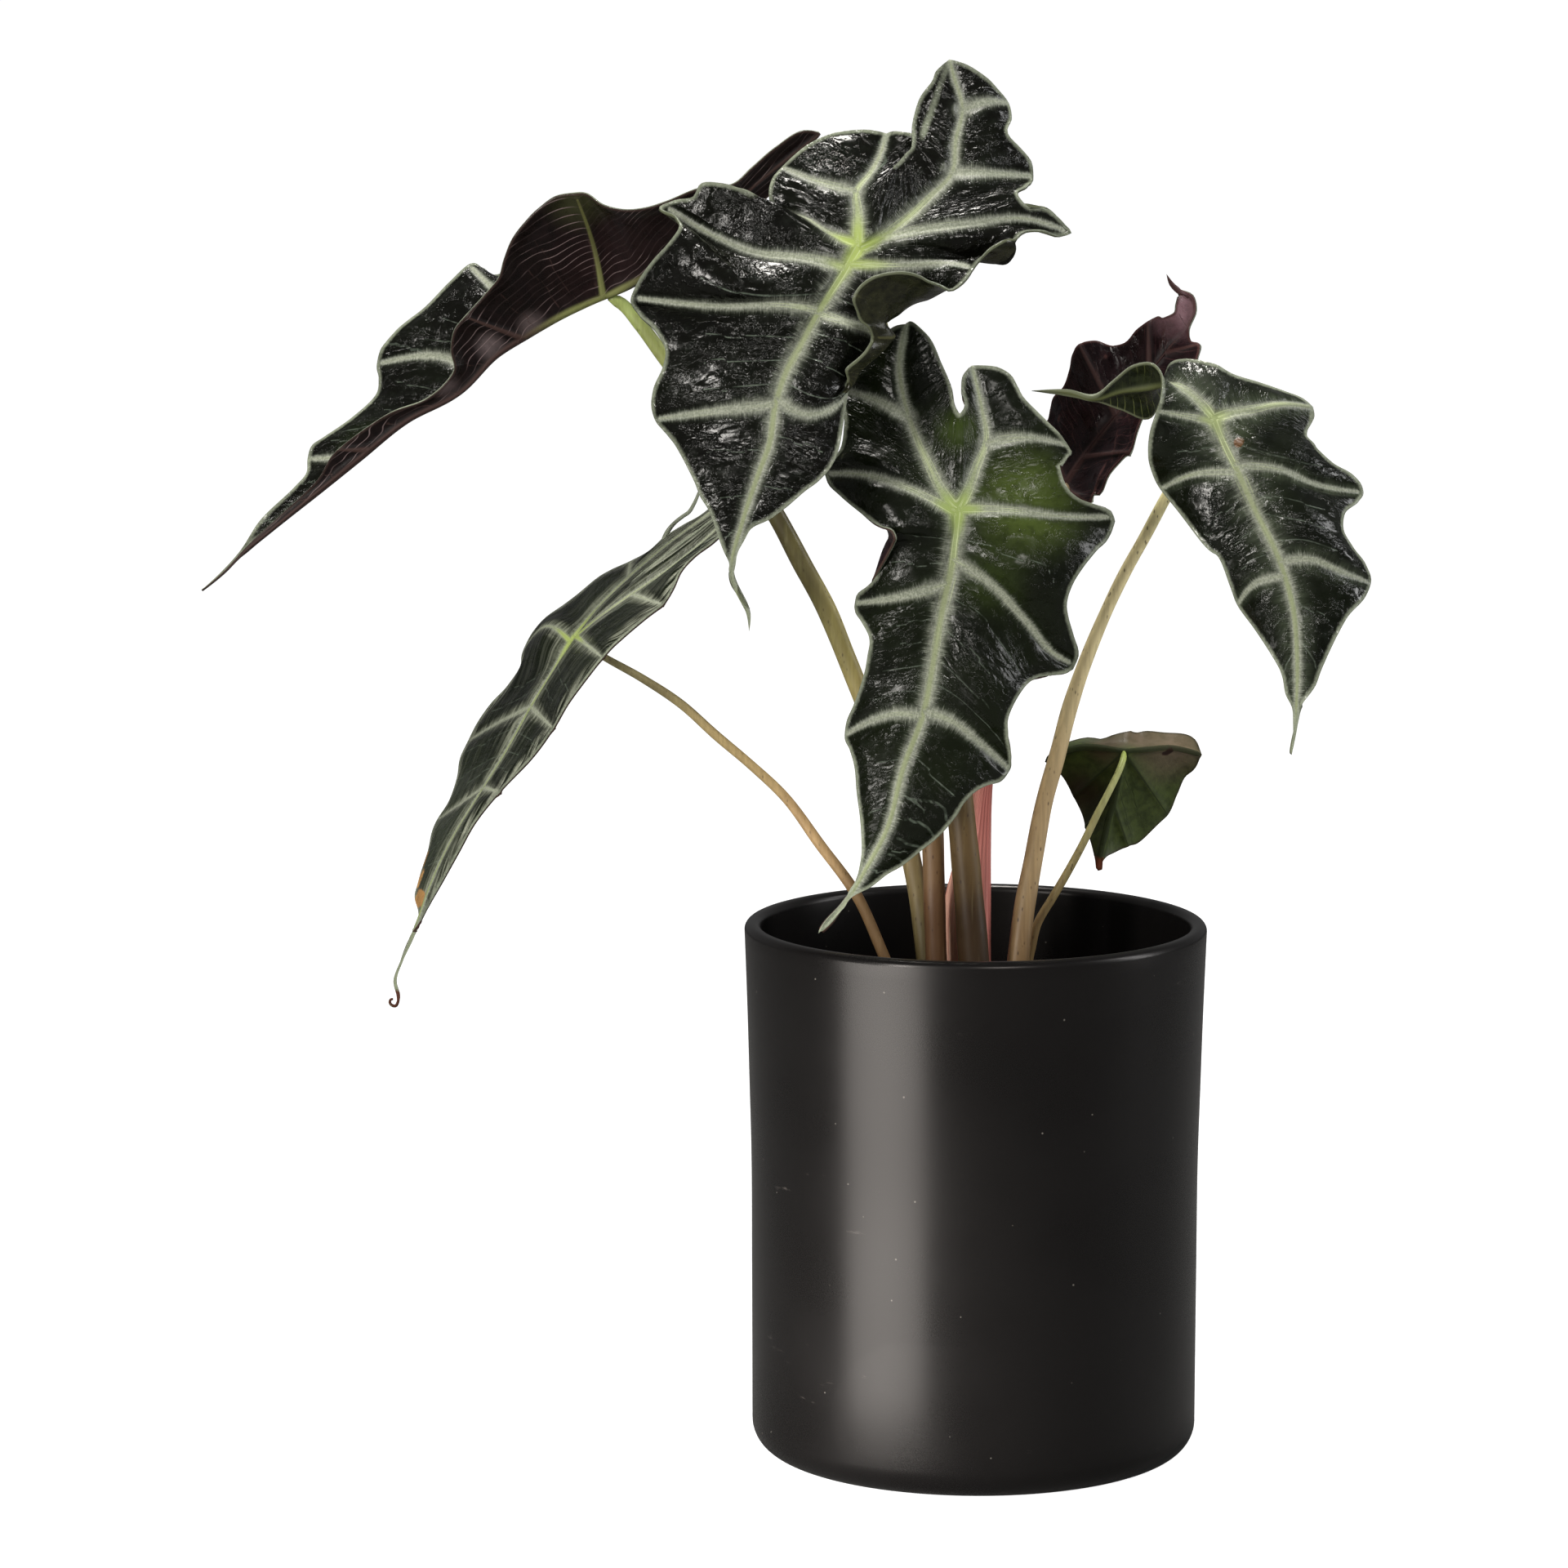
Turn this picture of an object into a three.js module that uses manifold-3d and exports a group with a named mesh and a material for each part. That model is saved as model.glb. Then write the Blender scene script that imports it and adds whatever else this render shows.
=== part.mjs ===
// A potted African mask plant: seven veined arrow-shaped leaves on slender stalks rise from a stub
// in a plastic growing pot, which stands loose in a taller matt black ceramic cover pot.
// Millimetres, +Z up. The origin is the centre of the cover pot's flat foot.
import * as THREE from 'three';
import Module from 'manifold-3d';

const wasm = await Module();
wasm.setup();

// Driving dimensions
const GAP = 0.3;
const COVER_POT = {
  height: 163, rimRadius: 70, footRadius: 67.7, wall: 5, floor: 6,
  footRound: 9, rimRound: 2.2, innerRound: 7,
};
// The cover pot's side between foot and rim, as radius and height: almost straight, then flaring
const COVER_POT_SIDE = [[67.8, 56], [68, 94], [68.5, 113], [69, 132], [69.6, 150]];
const GROWING_POT = {
  height: 102, topRadius: 58.5, baseRadius: 46, wall: 1.3, lipHeight: 6, lipOut: 2.2,
  holeRadius: 4, holeCircle: 30, holes: 6,
};
const SOIL = { level: 99, crownRise: 7, roughness: 1.1, rings: 9, spokes: 36 };
const STUB = { top: 112, bottom: 84, radius: 21 };
const BLADE_THICKNESS = 0.8;
const SHEATH_THICKNESS = 0.8;
// Sheath from its foot up: height, axis x and y, radius and half the angle it wraps, in degrees
const SHEATH_ROWS = [
  [112.3, -1, 11, 6.8, 105],
  [140, -2, 11, 6.9, 100],
  [168, -2.1, 11, 6.7, 90],
  [187, 0.3, 11, 4.6, 75],
  [201, 2.1, 11, 3.7, 55],
  [224, 6, 11.6, 3.5, 12],
];
const FACETS = {
  pot: 44, stalk: 8, strand: 6, bladeAcross: 4, bladeStep: 26, nearest: 1.6, stalkStep: 14, strandStep: 2,
};

const COLOURS = {
  cover_pot: { color: 0x262424, roughness: 0.55, metalness: 0 },
  growing_pot: { color: 0x3a2c26, roughness: 0.6, metalness: 0 },
  soil: { color: 0x2a1d15, roughness: 0.95, metalness: 0 },
  stub: { color: 0x5a4330, roughness: 0.85, metalness: 0 },
  sheath: { color: 0xd7786f, roughness: 0.6, metalness: 0 },
  stalk: { color: 0x96805a, roughness: 0.5, metalness: 0 },
  blade: { color: 0x1c261c, roughness: 0.3, metalness: 0 },
};

// Every point of a leaf or stalk is written [x, z, y]. x and z are where the point is seen on the
// upright plane through the pot's axis by an eye in front of the plant, and y is its true depth,
// so a point keeps its place in that view when its depth is changed.
const EYE = [-58, -1900, 500];

function place([x, z, y]) {
  const reach = (y - EYE[1]) / -EYE[1];
  return [EYE[0] + (x - EYE[0]) * reach, y, EYE[2] + (z - EYE[2]) * reach];
}

// A blade is told by its skeleton and its edge. From the junction with the stalk the midrib runs to
// the drip tip, and a vein runs to the end of each rear lobe. Ribs cross from a station on that
// skeleton to the edge: station 2.5 is halfway between the midrib's second and third point, and
// negative stations count along the lobe's vein. A rib has the points it goes through and the edge
// from the last rib's end to its own. Those that carry a side vein are called vein. Left and right
// are the leaf's own, seen on its upper face with the tip ahead.
function rib(station, through, edge) {
  return { station, through, edge, isVein: false };
}

function vein(station, through, edge) {
  return { station, through, edge, isVein: true };
}

// The top leaf: glossy, in front, its right side rolled forward under the junction
const TOP_LEAF = {
  junction: [-36, 366.5, -48],
  sinus: [[-31.5, 373, -46], [-29, 381, -41], [-26, 388, -36.5], [-25, 391, -35]],
  midrib: [
    [-40.5, 359, -51], [-47.5, 348, -55], [-52.5, 338.5, -59], [-58, 328, -63], [-60.5, 320, -65],
    [-62.5, 307.5, -68], [-65.5, 299.5, -70], [-70.5, 284.5, -72], [-73.5, 273.5, -72],
    [-74, 269.5, -71], [-72.5, 263.5, -70], [-68.5, 255.5, -68], [-68.5, 251.5, -67]
  ],
  left: {
    lobe: [
      [-28.5, 370, -45], [-22.5, 374.5, -42], [-15, 381.5, -38], [-8, 389, -34], [-7, 398.5, -30],
      [-5, 408.5, -26], [-7.5, 417, -24], [-9, 422.5, -23]
    ],
    outer: [
      rib(-7, [], [[-4, 421, -22], [1, 418, -22]]),
      vein(-5.9, [[1.5, 410, -25]], [[5.5, 413.5, -21], [8.5, 409.5, -20]]),
      rib(-5, [], [[9.5, 405, -22], [8.5, 400.5, -26]]),
      vein(-4, [[0.5, 389, -34], [9, 388.5, -30]], [[12.5, 396, -25], [15.5, 392, -25], [16, 388, -26]]),
      rib(-2.4, [], [[14.5, 385, -30], [12.5, 381, -35]]),
      vein(-0.9, [[-17, 372, -44], [-2, 374, -41], [12.5, 375.5, -36]],
        [[14.5, 379, -35], [20, 378.5, -33], [23.5, 376, -31], [26, 373, -30], [27.5, 371, -30]]),
      rib(-0.3, [[-12, 369.5, -45], [3.5, 370, -42]],
        [[24, 370, -32], [20, 371.5, -35], [14, 371.5, -40]]),
      rib(0.3, [[-16.5, 366, -45], [-2, 362.5, -41], [7, 361.5, -40], [9.5, 365, -44]],
        [[11, 369.5, -43], [6.5, 368.5, -48]]),
      vein(0.62, [[-21, 361.5, -49], [-8, 362, -48]],
        [[3.5, 366.5, -50], [0, 362.5, -50], [-1.5, 360.5, -51]]),
      rib(0.95, [[-27.5, 355, -49], [-14, 351.5, -46], [-9.5, 353.5, -51]],
        [[-3, 358, -53], [-5.5, 355.5, -55], [-8.5, 354, -57], [-11.5, 355.5, -59]]),
      rib(1.3, [[-33.5, 351.5, -52], [-22.5, 347, -50], [-21, 350, -56]],
        [[-15.5, 357, -62], [-18, 358.5, -64], [-22.5, 359.5, -66], [-28.5, 359, -67]]),
      rib(1.72, [[-37.5, 347.5, -53], [-28.5, 343.5, -52], [-27, 346, -59]],
        [[-32.5, 357.5, -68], [-36, 354.5, -68], [-37.5, 351.5, -68], [-36.5, 348, -66]]),
      vein(2.1, [[-39.5, 344.5, -57], [-29.5, 341.5, -52.5], [-26, 340.5, -55]],
        [[-35, 344.5, -64], [-33, 343, -63], [-32, 340.5, -61]]),
      rib(3.2, [[-42, 333, -60.5], [-36, 330, -56.5], [-33.5, 330.5, -58.5]],
        [[-33, 337, -62], [-36, 333.5, -63.5], [-39, 331, -64]]),
      vein(4.8, [[-52, 317, -66], [-45, 318, -64]], [[-39, 327.5, -61], [-39, 323.5, -59]]),
      rib(5.6, [], [[-40, 316.5, -62], [-41.5, 307, -66]]),
      rib(6.6, [], [[-44, 301, -68], [-47.5, 297, -69]]),
      rib(7.4, [], [[-51.5, 294, -70], [-55, 291, -71]]),
      rib(7.9, [], [[-58, 288.5, -72], [-63, 285, -72]]),
      rib(8.4, [], [[-68, 282.5, -72], [-70, 279, -72]]),
      rib(8.9, [], [[-72, 275, -72], [-72.5, 272.5, -71.5]]),
      rib(10, [], [[-73, 269, -71]]),
      rib(12, [], [[-68, 255.5, -68]]),
    ],
    inner: [
      rib(-2.5, [], [[-22, 394.5, -33.5]]),
      rib(-3.7, [], [[-20, 397.5, -32]]),
      rib(-5, [], [[-20, 400.5, -30], [-19.5, 405.5, -27]]),
      rib(-6, [], [[-17.5, 411.5, -25], [-14.5, 415.5, -24]]),
      rib(-7, [], [[-12.5, 419.5, -23]]),
    ],
  },
  right: {
    lobe: [
      [-36, 372, -46], [-36, 377, -43], [-36.5, 383.5, -39], [-32.5, 388.5, -35], [-29.5, 394, -31],
      [-27.5, 400.5, -27]
    ],
    outer: [
      rib(-5, [], [[-32, 401.5, -26], [-37.5, 401.5, -26], [-41.5, 401, -26]]),
      rib(-4, [], [[-46.5, 399.5, -27], [-50.5, 397.5, -28]]),
      vein(-3, [[-48.5, 386.5, -38]], [[-55.5, 393.5, -30], [-58.5, 390.5, -31]]),
      rib(-1.5, [], [[-61.5, 387, -34], [-62.5, 382.5, -37]]),
      vein(-0.3, [[-43, 370, -46], [-52, 375.5, -43]], [[-61.5, 379, -38], [-59.5, 377.5, -39]]),
      rib(0.2, [], [[-64, 380, -42], [-70, 384, -44]]),
      rib(0.45, [], [[-77, 386, -43], [-82.5, 386, -42]]),
      vein(0.8, [[-48.5, 363, -51], [-67.5, 365.5, -48], [-79.5, 370.5, -44]],
        [[-85, 382, -41], [-90, 381, -40], [-94, 379.5, -40]]),
      rib(1.35, [[-70, 356.5, -58]], [[-90.5, 376, -45], [-89.5, 372, -49]]),
      vein(2, [[-56.5, 349.5, -57], [-77.5, 349.5, -54]],
        [[-92, 368.5, -50], [-97, 363, -49], [-101, 357.5, -47], [-103.5, 352, -45]]),
      rib(3.2, [], [[-101.5, 347, -49], [-96.5, 342, -55], [-93.5, 336.5, -58]]),
      vein(5, [[-73.5, 318.5, -64]],
        [[-94, 332, -57], [-97, 324.5, -55], [-97.5, 319, -54], [-96.5, 315.5, -54]]),
      rib(6, [], [[-94, 312, -56], [-90.5, 307.5, -61]]),
      rib(7, [], [[-88, 303, -64], [-85, 297, -67]]),
      rib(7.7, [], [[-83, 292, -69], [-80.5, 288, -70]]),
      rib(8.3, [], [[-79, 284, -71], [-77.5, 279.5, -71.5]]),
      rib(8.9, [], [[-76, 275.5, -72], [-74.5, 272.5, -71.5]]),
      rib(10, [], [[-74.5, 269, -71]]),
      rib(12, [], [[-69, 255.5, -68]]),
    ],
    inner: [
      rib(-2.6, [], [[-21.5, 393, -32]]),
      rib(-3.6, [], [[-18.5, 397, -29]]),
      rib(-4.7, [], [[-19, 400, -27.5], [-23, 401, -27]]),
    ],
  },
  // Stalk from its foot up, each point with its diameter last
  stalk: [
    [-10, 103.5, -4, 6.8], [-10, 112.2, -4, 6.8], [-12, 156, -5, 6.7], [-13, 190, -4, 6.6],
    [-13.5, 215, -3, 6.4], [-15.5, 245, -2, 6.2], [-19, 280.5, -2, 5.8], [-22, 304, -3, 5.4],
    [-25.5, 323.5, -5, 5], [-28.5, 341, -10, 4.6], [-32, 353, -19, 4.2], [-34.5, 361, -31, 3.9],
    [-36, 365.5, -44, 3.6], [-36, 366.5, -48, 3.6]
  ],
};

// The far left leaf: folded upwards along its midrib, near half seen from below
const FAR_LEFT_LEAF = {
  junction: [-111, 352, 14],
  sinus: [[-103, 355.5, 16], [-95.5, 360.5, 17]],
  midrib: [
    [-117, 350, 14], [-124.5, 346.5, 14], [-134, 341, 13], [-143.5, 335, 12], [-154.5, 324, 11],
    [-170.5, 315.5, 10], [-185, 304, 9], [-198.5, 293, 8], [-212, 282, 7], [-220, 275.5, 6],
    [-226, 269.5, 5], [-233, 264, 4]
  ],
  left: {
    lobe: [[-97, 360.5, 8], [-82.5, 372, 4], [-65.5, 387, 2], [-47.5, 401, 2]],
    outer: [
      rib(-3.3, [], [[-52, 401.5, 0], [-60.5, 396.5, -1]]),
      rib(-2.4, [], [[-67.5, 390.5, -2], [-73.5, 385.5, -3]]),
      rib(-1.5, [], [[-83, 384.5, -4], [-93, 380.5, -5]]),
      rib(-0.8, [], [[-99.5, 378.5, -6], [-105.5, 378, -6]]),
      vein(0.15, [[-114.5, 366, 6]], [[-112, 379.5, -6], [-117.5, 383, -6], [-120, 383, -6]]),
      rib(0.9, [[-125, 364.5, 3]], [[-126, 382, -5], [-131, 378.5, -4]]),
      rib(1.7, [], [[-135, 374.5, -3], [-138.5, 370, -2]]),
      rib(2.5, [], [[-141.5, 363, 0], [-143, 358, 1]]),
      vein(3.2, [], [[-147.5, 352.5, 3], [-153, 346.5, 4]]),
      rib(4, [], [[-156.5, 342, 5], [-157.5, 336.5, 6]]),
      rib(4.8, [], [[-156.5, 330.5, 7], [-159.5, 326, 8]]),
      rib(5.8, [], [[-165, 321.5, 8], [-175.5, 317.5, 8]]),
      vein(6.8, [], [[-185, 311.5, 8], [-191.5, 306.5, 8]]),
      rib(7.8, [], [[-198.5, 296.5, 8]]),
      rib(8.8, [], [[-212.5, 283.5, 7]]),
      rib(10, [], [[-220, 276.5, 6]]),
      rib(11, [], [[-226, 270, 5]]),
    ],
    inner: [
      rib(-1, [], [[-87, 363, 12]]),
      rib(-2, [], [[-75, 371, 9]]),
      rib(-3, [], [[-59, 386, 6]]),
    ],
  },
  right: {
    lobe: [[-99.5, 358, 24], [-89.5, 364.5, 36], [-82, 371, 48]],
    outer: [
      rib(-2, [], [[-84.5, 376, 52], [-92, 377, 54]]),
      rib(-1, [], [[-99.5, 377, 54], [-106.5, 376.5, 52]]),
      vein(0.2, [[-113, 363, 32]], [[-115, 377, 50], [-121, 377, 49]]),
      rib(1.2, [], [[-128.5, 373.5, 47], [-133.5, 367.5, 45]]),
      rib(2, [], [[-138.5, 360.5, 43], [-143.5, 358.5, 42]]),
      vein(2.8, [], [[-148, 360.5, 42], [-152, 361.5, 42]]),
      rib(3.6, [], [[-158, 356, 39], [-166, 348, 35], [-170, 345, 33]]),
      vein(4.6, [[-157.5, 333.5, 19]], [[-175, 340.5, 31], [-178.5, 336, 30], [-179.5, 332, 29]]),
      rib(5.4, [], [[-179, 327.5, 26], [-180, 322.5, 24]]),
      rib(6.2, [], [[-187.5, 315.5, 21], [-195.5, 310, 20]]),
      vein(7, [], [[-199.5, 307, 19], [-200.5, 303.5, 18]]),
      rib(7.9, [], [[-201, 299, 14], [-204.5, 295, 12]]),
      rib(8.8, [], [[-215, 285, 9]]),
      rib(10, [], [[-221.5, 275.5, 6]]),
      rib(11, [], [[-227, 269.5, 5]]),
    ],
    inner: [
      rib(-1, [], [[-88.5, 361.5, 30]]),
      rib(-2, [], [[-82, 366.5, 42]]),
    ],
  },
  // Stalk from its foot up, each point with its diameter last
  stalk: [
    [-13.5, 105.2, 4.5, 6], [-13.5, 113.9, 4.5, 6], [-15.5, 156, 5, 6], [-19, 180, 7, 6],
    [-25.5, 205, 9, 6], [-32, 225, 11, 6], [-39.5, 244.5, 12, 6], [-45.5, 259, 12, 6],
    [-52.5, 272, 13, 5.9], [-60.5, 287, 13, 5.8], [-71.5, 303.5, 14, 5.4], [-82.5, 319.5, 15, 5],
    [-94, 334.5, 16, 4.6], [-101, 344, 16.5, 4.3], [-107, 350.5, 17, 4], [-110.5, 352, 15.5, 4]
  ],
};

// The low left leaf: seen almost edge on, with a long dried drip tip
const LOW_LEFT_LEAF = {
  junction: [-121, 249.5, -22],
  sinus: [[-113, 256.5, -23], [-104.5, 264, -24]],
  midrib: [
    [-125.5, 242.5, -23], [-134, 228.5, -25], [-142.5, 213.5, -26], [-150, 201.5, -27],
    [-158, 188.5, -27], [-164.5, 175, -26], [-168, 166, -25], [-171, 157.5, -24], [-174, 150.5, -24],
    [-176, 144.5, -24], [-175, 139.5, -25], [-175.5, 137, -26]
  ],
  left: {
    lobe: [
      [-115, 254.5, -27], [-106, 261, -32], [-93.5, 269.5, -36], [-80, 280.5, -40], [-71.5, 289, -42]
    ],
    outer: [
      rib(-4, [], [[-75, 282.5, -46], [-78.5, 279, -49]]),
      rib(-3, [], [[-85, 274, -51], [-89, 269.5, -53]]),
      vein(-2.2, [], [[-91.5, 264, -55], [-94.5, 259.5, -55]]),
      rib(-1.2, [], [[-99.5, 255.5, -55], [-106, 250, -54]]),
      vein(-0.1, [], [[-112.5, 243.5, -54]]),
      rib(1, [], [[-121, 232.5, -52]]),
      vein(2, [], [[-127.5, 222, -51]]),
      rib(2.9, [], [[-134.5, 212.5, -47]]),
      vein(3.8, [], [[-144, 202.5, -43]]),
      rib(4.6, [], [[-151.5, 193, -38]]),
      rib(5.3, [], [[-156.5, 184, -35]]),
      rib(6.1, [], [[-162, 174, -30]]),
      rib(6.9, [], [[-166.5, 166, -26]]),
      rib(8, [], [[-170.3, 157.5, -24]]),
      rib(9, [], [[-173.5, 150.7, -24]]),
      rib(10, [], [[-175.5, 144.5, -24]]),
      rib(11, [], [[-174.5, 139.5, -25]]),
    ],
    inner: [
      rib(-2.2, [], [[-99.5, 270, -28]]),
      rib(-3.2, [], [[-87, 279.5, -32]]),
      rib(-4.2, [], [[-76, 287.5, -37]]),
    ],
  },
  right: {
    lobe: [
      [-116.5, 255.5, -18], [-107, 265.5, -12], [-94.5, 276.5, -6], [-80.5, 287, 0], [-71.5, 294.5, 4]
    ],
    outer: [
      rib(-4.2, [], [[-76.5, 291.5, 6], [-82, 287, 6]]),
      rib(-3.2, [], [[-88, 283.5, 4], [-93.5, 280, 2]]),
      vein(-2.2, [], [[-98.5, 275.5, 2], [-104, 272.5, 2]]),
      rib(-1.2, [], [[-110.5, 269.5, 4], [-114.5, 267, 4]]),
      rib(-0.4, [], [[-120.5, 262, 4], [-124.5, 259, 4]]),
      vein(0.2, [[-128.5, 253, -10]], [[-130, 255, 5], [-134, 250, 5], [-136, 246, 5]]),
      rib(1, [], [[-137, 241, 3], [-140.5, 235.5, 1]]),
      vein(2, [[-145, 223, -10]], [[-146, 229.5, 3], [-150.5, 223, 5], [-153, 218, 5]]),
      rib(2.9, [], [[-155.5, 212.5, 2], [-156.5, 206.5, 0]]),
      vein(3.8, [], [[-159, 199.5, -2], [-162.5, 194, -4]]),
      rib(4.8, [], [[-165.5, 184, -10]]),
      rib(5.7, [], [[-168.5, 174.5, -16]]),
      rib(6.3, [], [[-169.5, 170.5, -19], [-168.5, 166.5, -22]]),
      rib(8, [], [[-171.7, 157.5, -24]]),
      rib(9, [], [[-174.5, 150.3, -24]]),
      rib(10, [], [[-176.5, 144.5, -24]]),
      rib(11, [], [[-175.5, 139.5, -25]]),
    ],
    inner: [
      rib(-2.4, [], [[-97, 270, -14]]),
      rib(-3.3, [], [[-86, 279, -8]]),
      rib(-4.3, [], [[-76, 287.5, -2]]),
    ],
  },
  // A thin curled strand torn from the far lobe's edge, then the curl at the tip's end: each
  // point with its width last
  strands: [
    [
      [-94, 279.3, 0.8, 1.6], [-93, 281.5, 3, 1.5], [-90.7, 284.4, 6, 1.2], [-88.6, 286.1, 7.5, 1.2],
      [-86.4, 287.7, 9, 1.2], [-85, 290, 10, 1.1], [-83.5, 293.5, 10.5, 0.9]
    ],
    [
      [-175, 139, -25, 0.9], [-175.2, 138, -25, 0.9], [-175.9, 136.9, -25, 1], [-176.8, 137, -25, 1],
      [-177.6, 137.9, -25, 0.9], [-177.3, 138.9, -25, 0.8], [-176.6, 139, -25, 0.7]
    ]
  ],
  // Stalk from its foot up, each point with its diameter last
  stalk: [
    [-11.5, 102, -11, 3.5], [-11.5, 110.7, -11, 3.5], [-27.5, 152, -9, 3.5], [-36.5, 172, -9, 3.4],
    [-47, 186.5, -10, 3.3], [-58, 201.5, -11, 3.1], [-68, 211, -12, 3], [-78.5, 220, -13, 2.9],
    [-89, 229.5, -14, 2.7], [-101, 237.5, -15, 2.5], [-112.5, 244, -16, 2.2],
    [-118, 247.5, -18, 2.1], [-120.5, 249, -21, 2]
  ],
};

// The middle leaf: hangs in front of the stalks, its drip tip over the pot
const MIDDLE_LEAF = {
  junction: [-6, 288, -42],
  sinus: [[-5, 303.5, -38], [-5.5, 317, -33]],
  midrib: [
    [-7.5, 272, -44], [-10, 260, -45], [-13, 242, -47], [-16, 226.5, -48], [-22, 210, -49],
    [-27, 191, -49], [-33, 179.5, -47], [-38, 171, -45], [-43.5, 163.5, -43], [-47.5, 159.5, -42]
  ],
  left: {
    lobe: [[-3, 294, -40], [-0.5, 301, -37], [2.5, 309, -34], [1, 319, -31], [-2, 331.5, -28]],
    outer: [
      rib(-4.3, [], [[2, 331.5, -27], [6, 331, -27], [9.5, 329, -27]]),
      rib(-3.6, [], [[12, 325, -28], [14.5, 321, -29]]),
      vein(-2.9, [[13, 310, -33]],
        [[17.5, 318, -29], [21.5, 314, -29], [25, 310.5, -29], [27, 307.5, -28]]),
      rib(-1, [[11.5, 296.5, -38]], [[27, 304, -31], [25.5, 301.5, -34], [25, 299.5, -36]]),
      vein(-0.05, [[8.5, 288, -42], [23, 286, -39]],
        [[26.5, 295.5, -37], [30, 292, -36], [36.5, 289.5, -34], [40, 288, -32], [41, 285.5, -31]]),
      rib(0.4, [[13, 279.5, -46]], [[40.5, 282.5, -33], [38.5, 278.5, -36], [35, 275, -40]]),
      rib(0.65, [[10.5, 269.5, -49]], [[31.5, 270.5, -43], [28.5, 265.5, -45], [27, 260.5, -45]]),
      vein(0.92, [[2, 268, -45], [14.5, 255, -43], [23, 245, -39]],
        [[27.5, 256, -42], [29, 250.5, -39], [30.5, 244, -36], [29.5, 241.5, -35]]),
      rib(2.6, [[1, 235.5, -51]],
        [[28, 239.5, -36], [23, 238.5, -38], [16.5, 236.5, -42], [12.5, 232, -46], [9.5, 225.5, -47]]),
      vein(3.95, [[-7, 224, -48], [0.5, 218, -46]],
        [[9.5, 221, -46], [10.5, 213, -41], [10, 209.5, -40]]),
      rib(4.7, [], [[7.5, 206, -42], [3, 204.5, -45], [-0.5, 202.5, -47], [-3, 200, -48]]),
      rib(5.4, [], [[-5.5, 196, -48], [-9, 191.5, -48]]),
      rib(6.4, [], [[-12.5, 188, -47], [-17.5, 184, -47]]),
      rib(7.2, [], [[-22.5, 180, -46], [-27.5, 177, -46]]),
      rib(7.8, [], [[-32, 173.5, -45], [-36, 171.5, -45]]),
      rib(8.5, [], [[-40, 167, -44]]),
      rib(9.3, [], [[-44.5, 162, -43]]),
    ],
    inner: [
      rib(-2, [], [[-4, 320, -32]]),
      rib(-3.4, [], [[-5, 324, -31]]),
      rib(-4.3, [], [[-4.5, 328.5, -30]]),
    ],
  },
  right: {
    lobe: [
      [-10.5, 293.5, -40], [-14.5, 301.5, -36], [-19, 311.5, -32], [-22, 321, -29],
      [-23.5, 331.5, -27], [-21.5, 344, -25]
    ],
    outer: [
      rib(-5.2, [], [[-24.5, 343.5, -24], [-28, 341, -23], [-31, 337.5, -23]]),
      vein(-3.5, [[-29, 320.5, -29]], [[-35.5, 332, -23], [-39, 328.5, -23], [-40, 324.5, -23]]),
      rib(-1.8, [], [[-40.5, 320, -25], [-40, 313.5, -29]]),
      vein(0.05, [[-17, 293, -41], [-32.5, 298.5, -38]],
        [[-41, 306.5, -30], [-44.5, 302, -28], [-45.5, 299, -27]]),
      rib(0.35, [[-23.5, 284.5, -45]],
        [[-44.5, 296, -29], [-41.5, 293, -32], [-37, 289, -36], [-33.5, 286, -40]]),
      rib(0.62, [[-19, 280.5, -44], [-27, 280.5, -44]],
        [[-28.5, 283, -46], [-25.5, 282, -48], [-24.5, 280, -49]]),
      vein(1.5, [[-23, 262, -44]],
        [[-25, 278, -47], [-26.5, 275, -45], [-29, 270.5, -42],
          [-33, 265, -38], [-36, 262.5, -36], [-36.5, 260, -35]]),
      rib(2.3, [], [[-36.5, 257.5, -37], [-34.5, 254, -41], [-32.5, 250, -44]]),
      rib(3.2, [], [[-33, 243.5, -44], [-34.5, 236.5, -42]]),
      vein(4.05, [[-24, 226.5, -47], [-31, 224.5, -44]],
        [[-37, 229, -40], [-39, 224, -39], [-39.5, 220, -39]]),
      rib(4.9, [], [[-38, 215.5, -41], [-36.5, 209.5, -43]]),
      rib(5.6, [], [[-36, 203, -44], [-35, 195.5, -45]]),
      rib(6.5, [], [[-34.5, 188.5, -46], [-34.5, 183, -46]]),
      rib(7.3, [], [[-35.5, 178, -46], [-37, 174, -45]]),
      rib(7.8, [], [[-38.5, 171.5, -45]]),
      rib(8.5, [], [[-41.5, 167.5, -44]]),
      rib(9.3, [], [[-46, 162.5, -43]]),
    ],
    inner: [
      rib(-1.6, [], [[-7, 320, -31]]),
      rib(-3, [], [[-8, 325.5, -29]]),
      rib(-4.2, [], [[-11, 332.5, -27]]),
      rib(-5.2, [], [[-14.5, 340, -26], [-18, 343.5, -25]]),
    ],
  },
  // Stalk from its foot up, each point with its diameter last
  stalk: [
    [1, 102.4, -9, 9.8], [1, 111.2, -9, 9.8], [-1, 158.5, -9, 9.7], [-2.5, 175.5, -10, 9.1],
    [-4, 191, -11, 8.5], [-5.5, 205, -12, 8.1], [-7.5, 225, -13, 7.6], [-8, 245, -15, 7],
    [-8, 262, -19, 6.2], [-7, 276, -26, 5.4], [-6, 284.5, -35, 4.6], [-6, 288, -41, 4.2]
  ],
};

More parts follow.
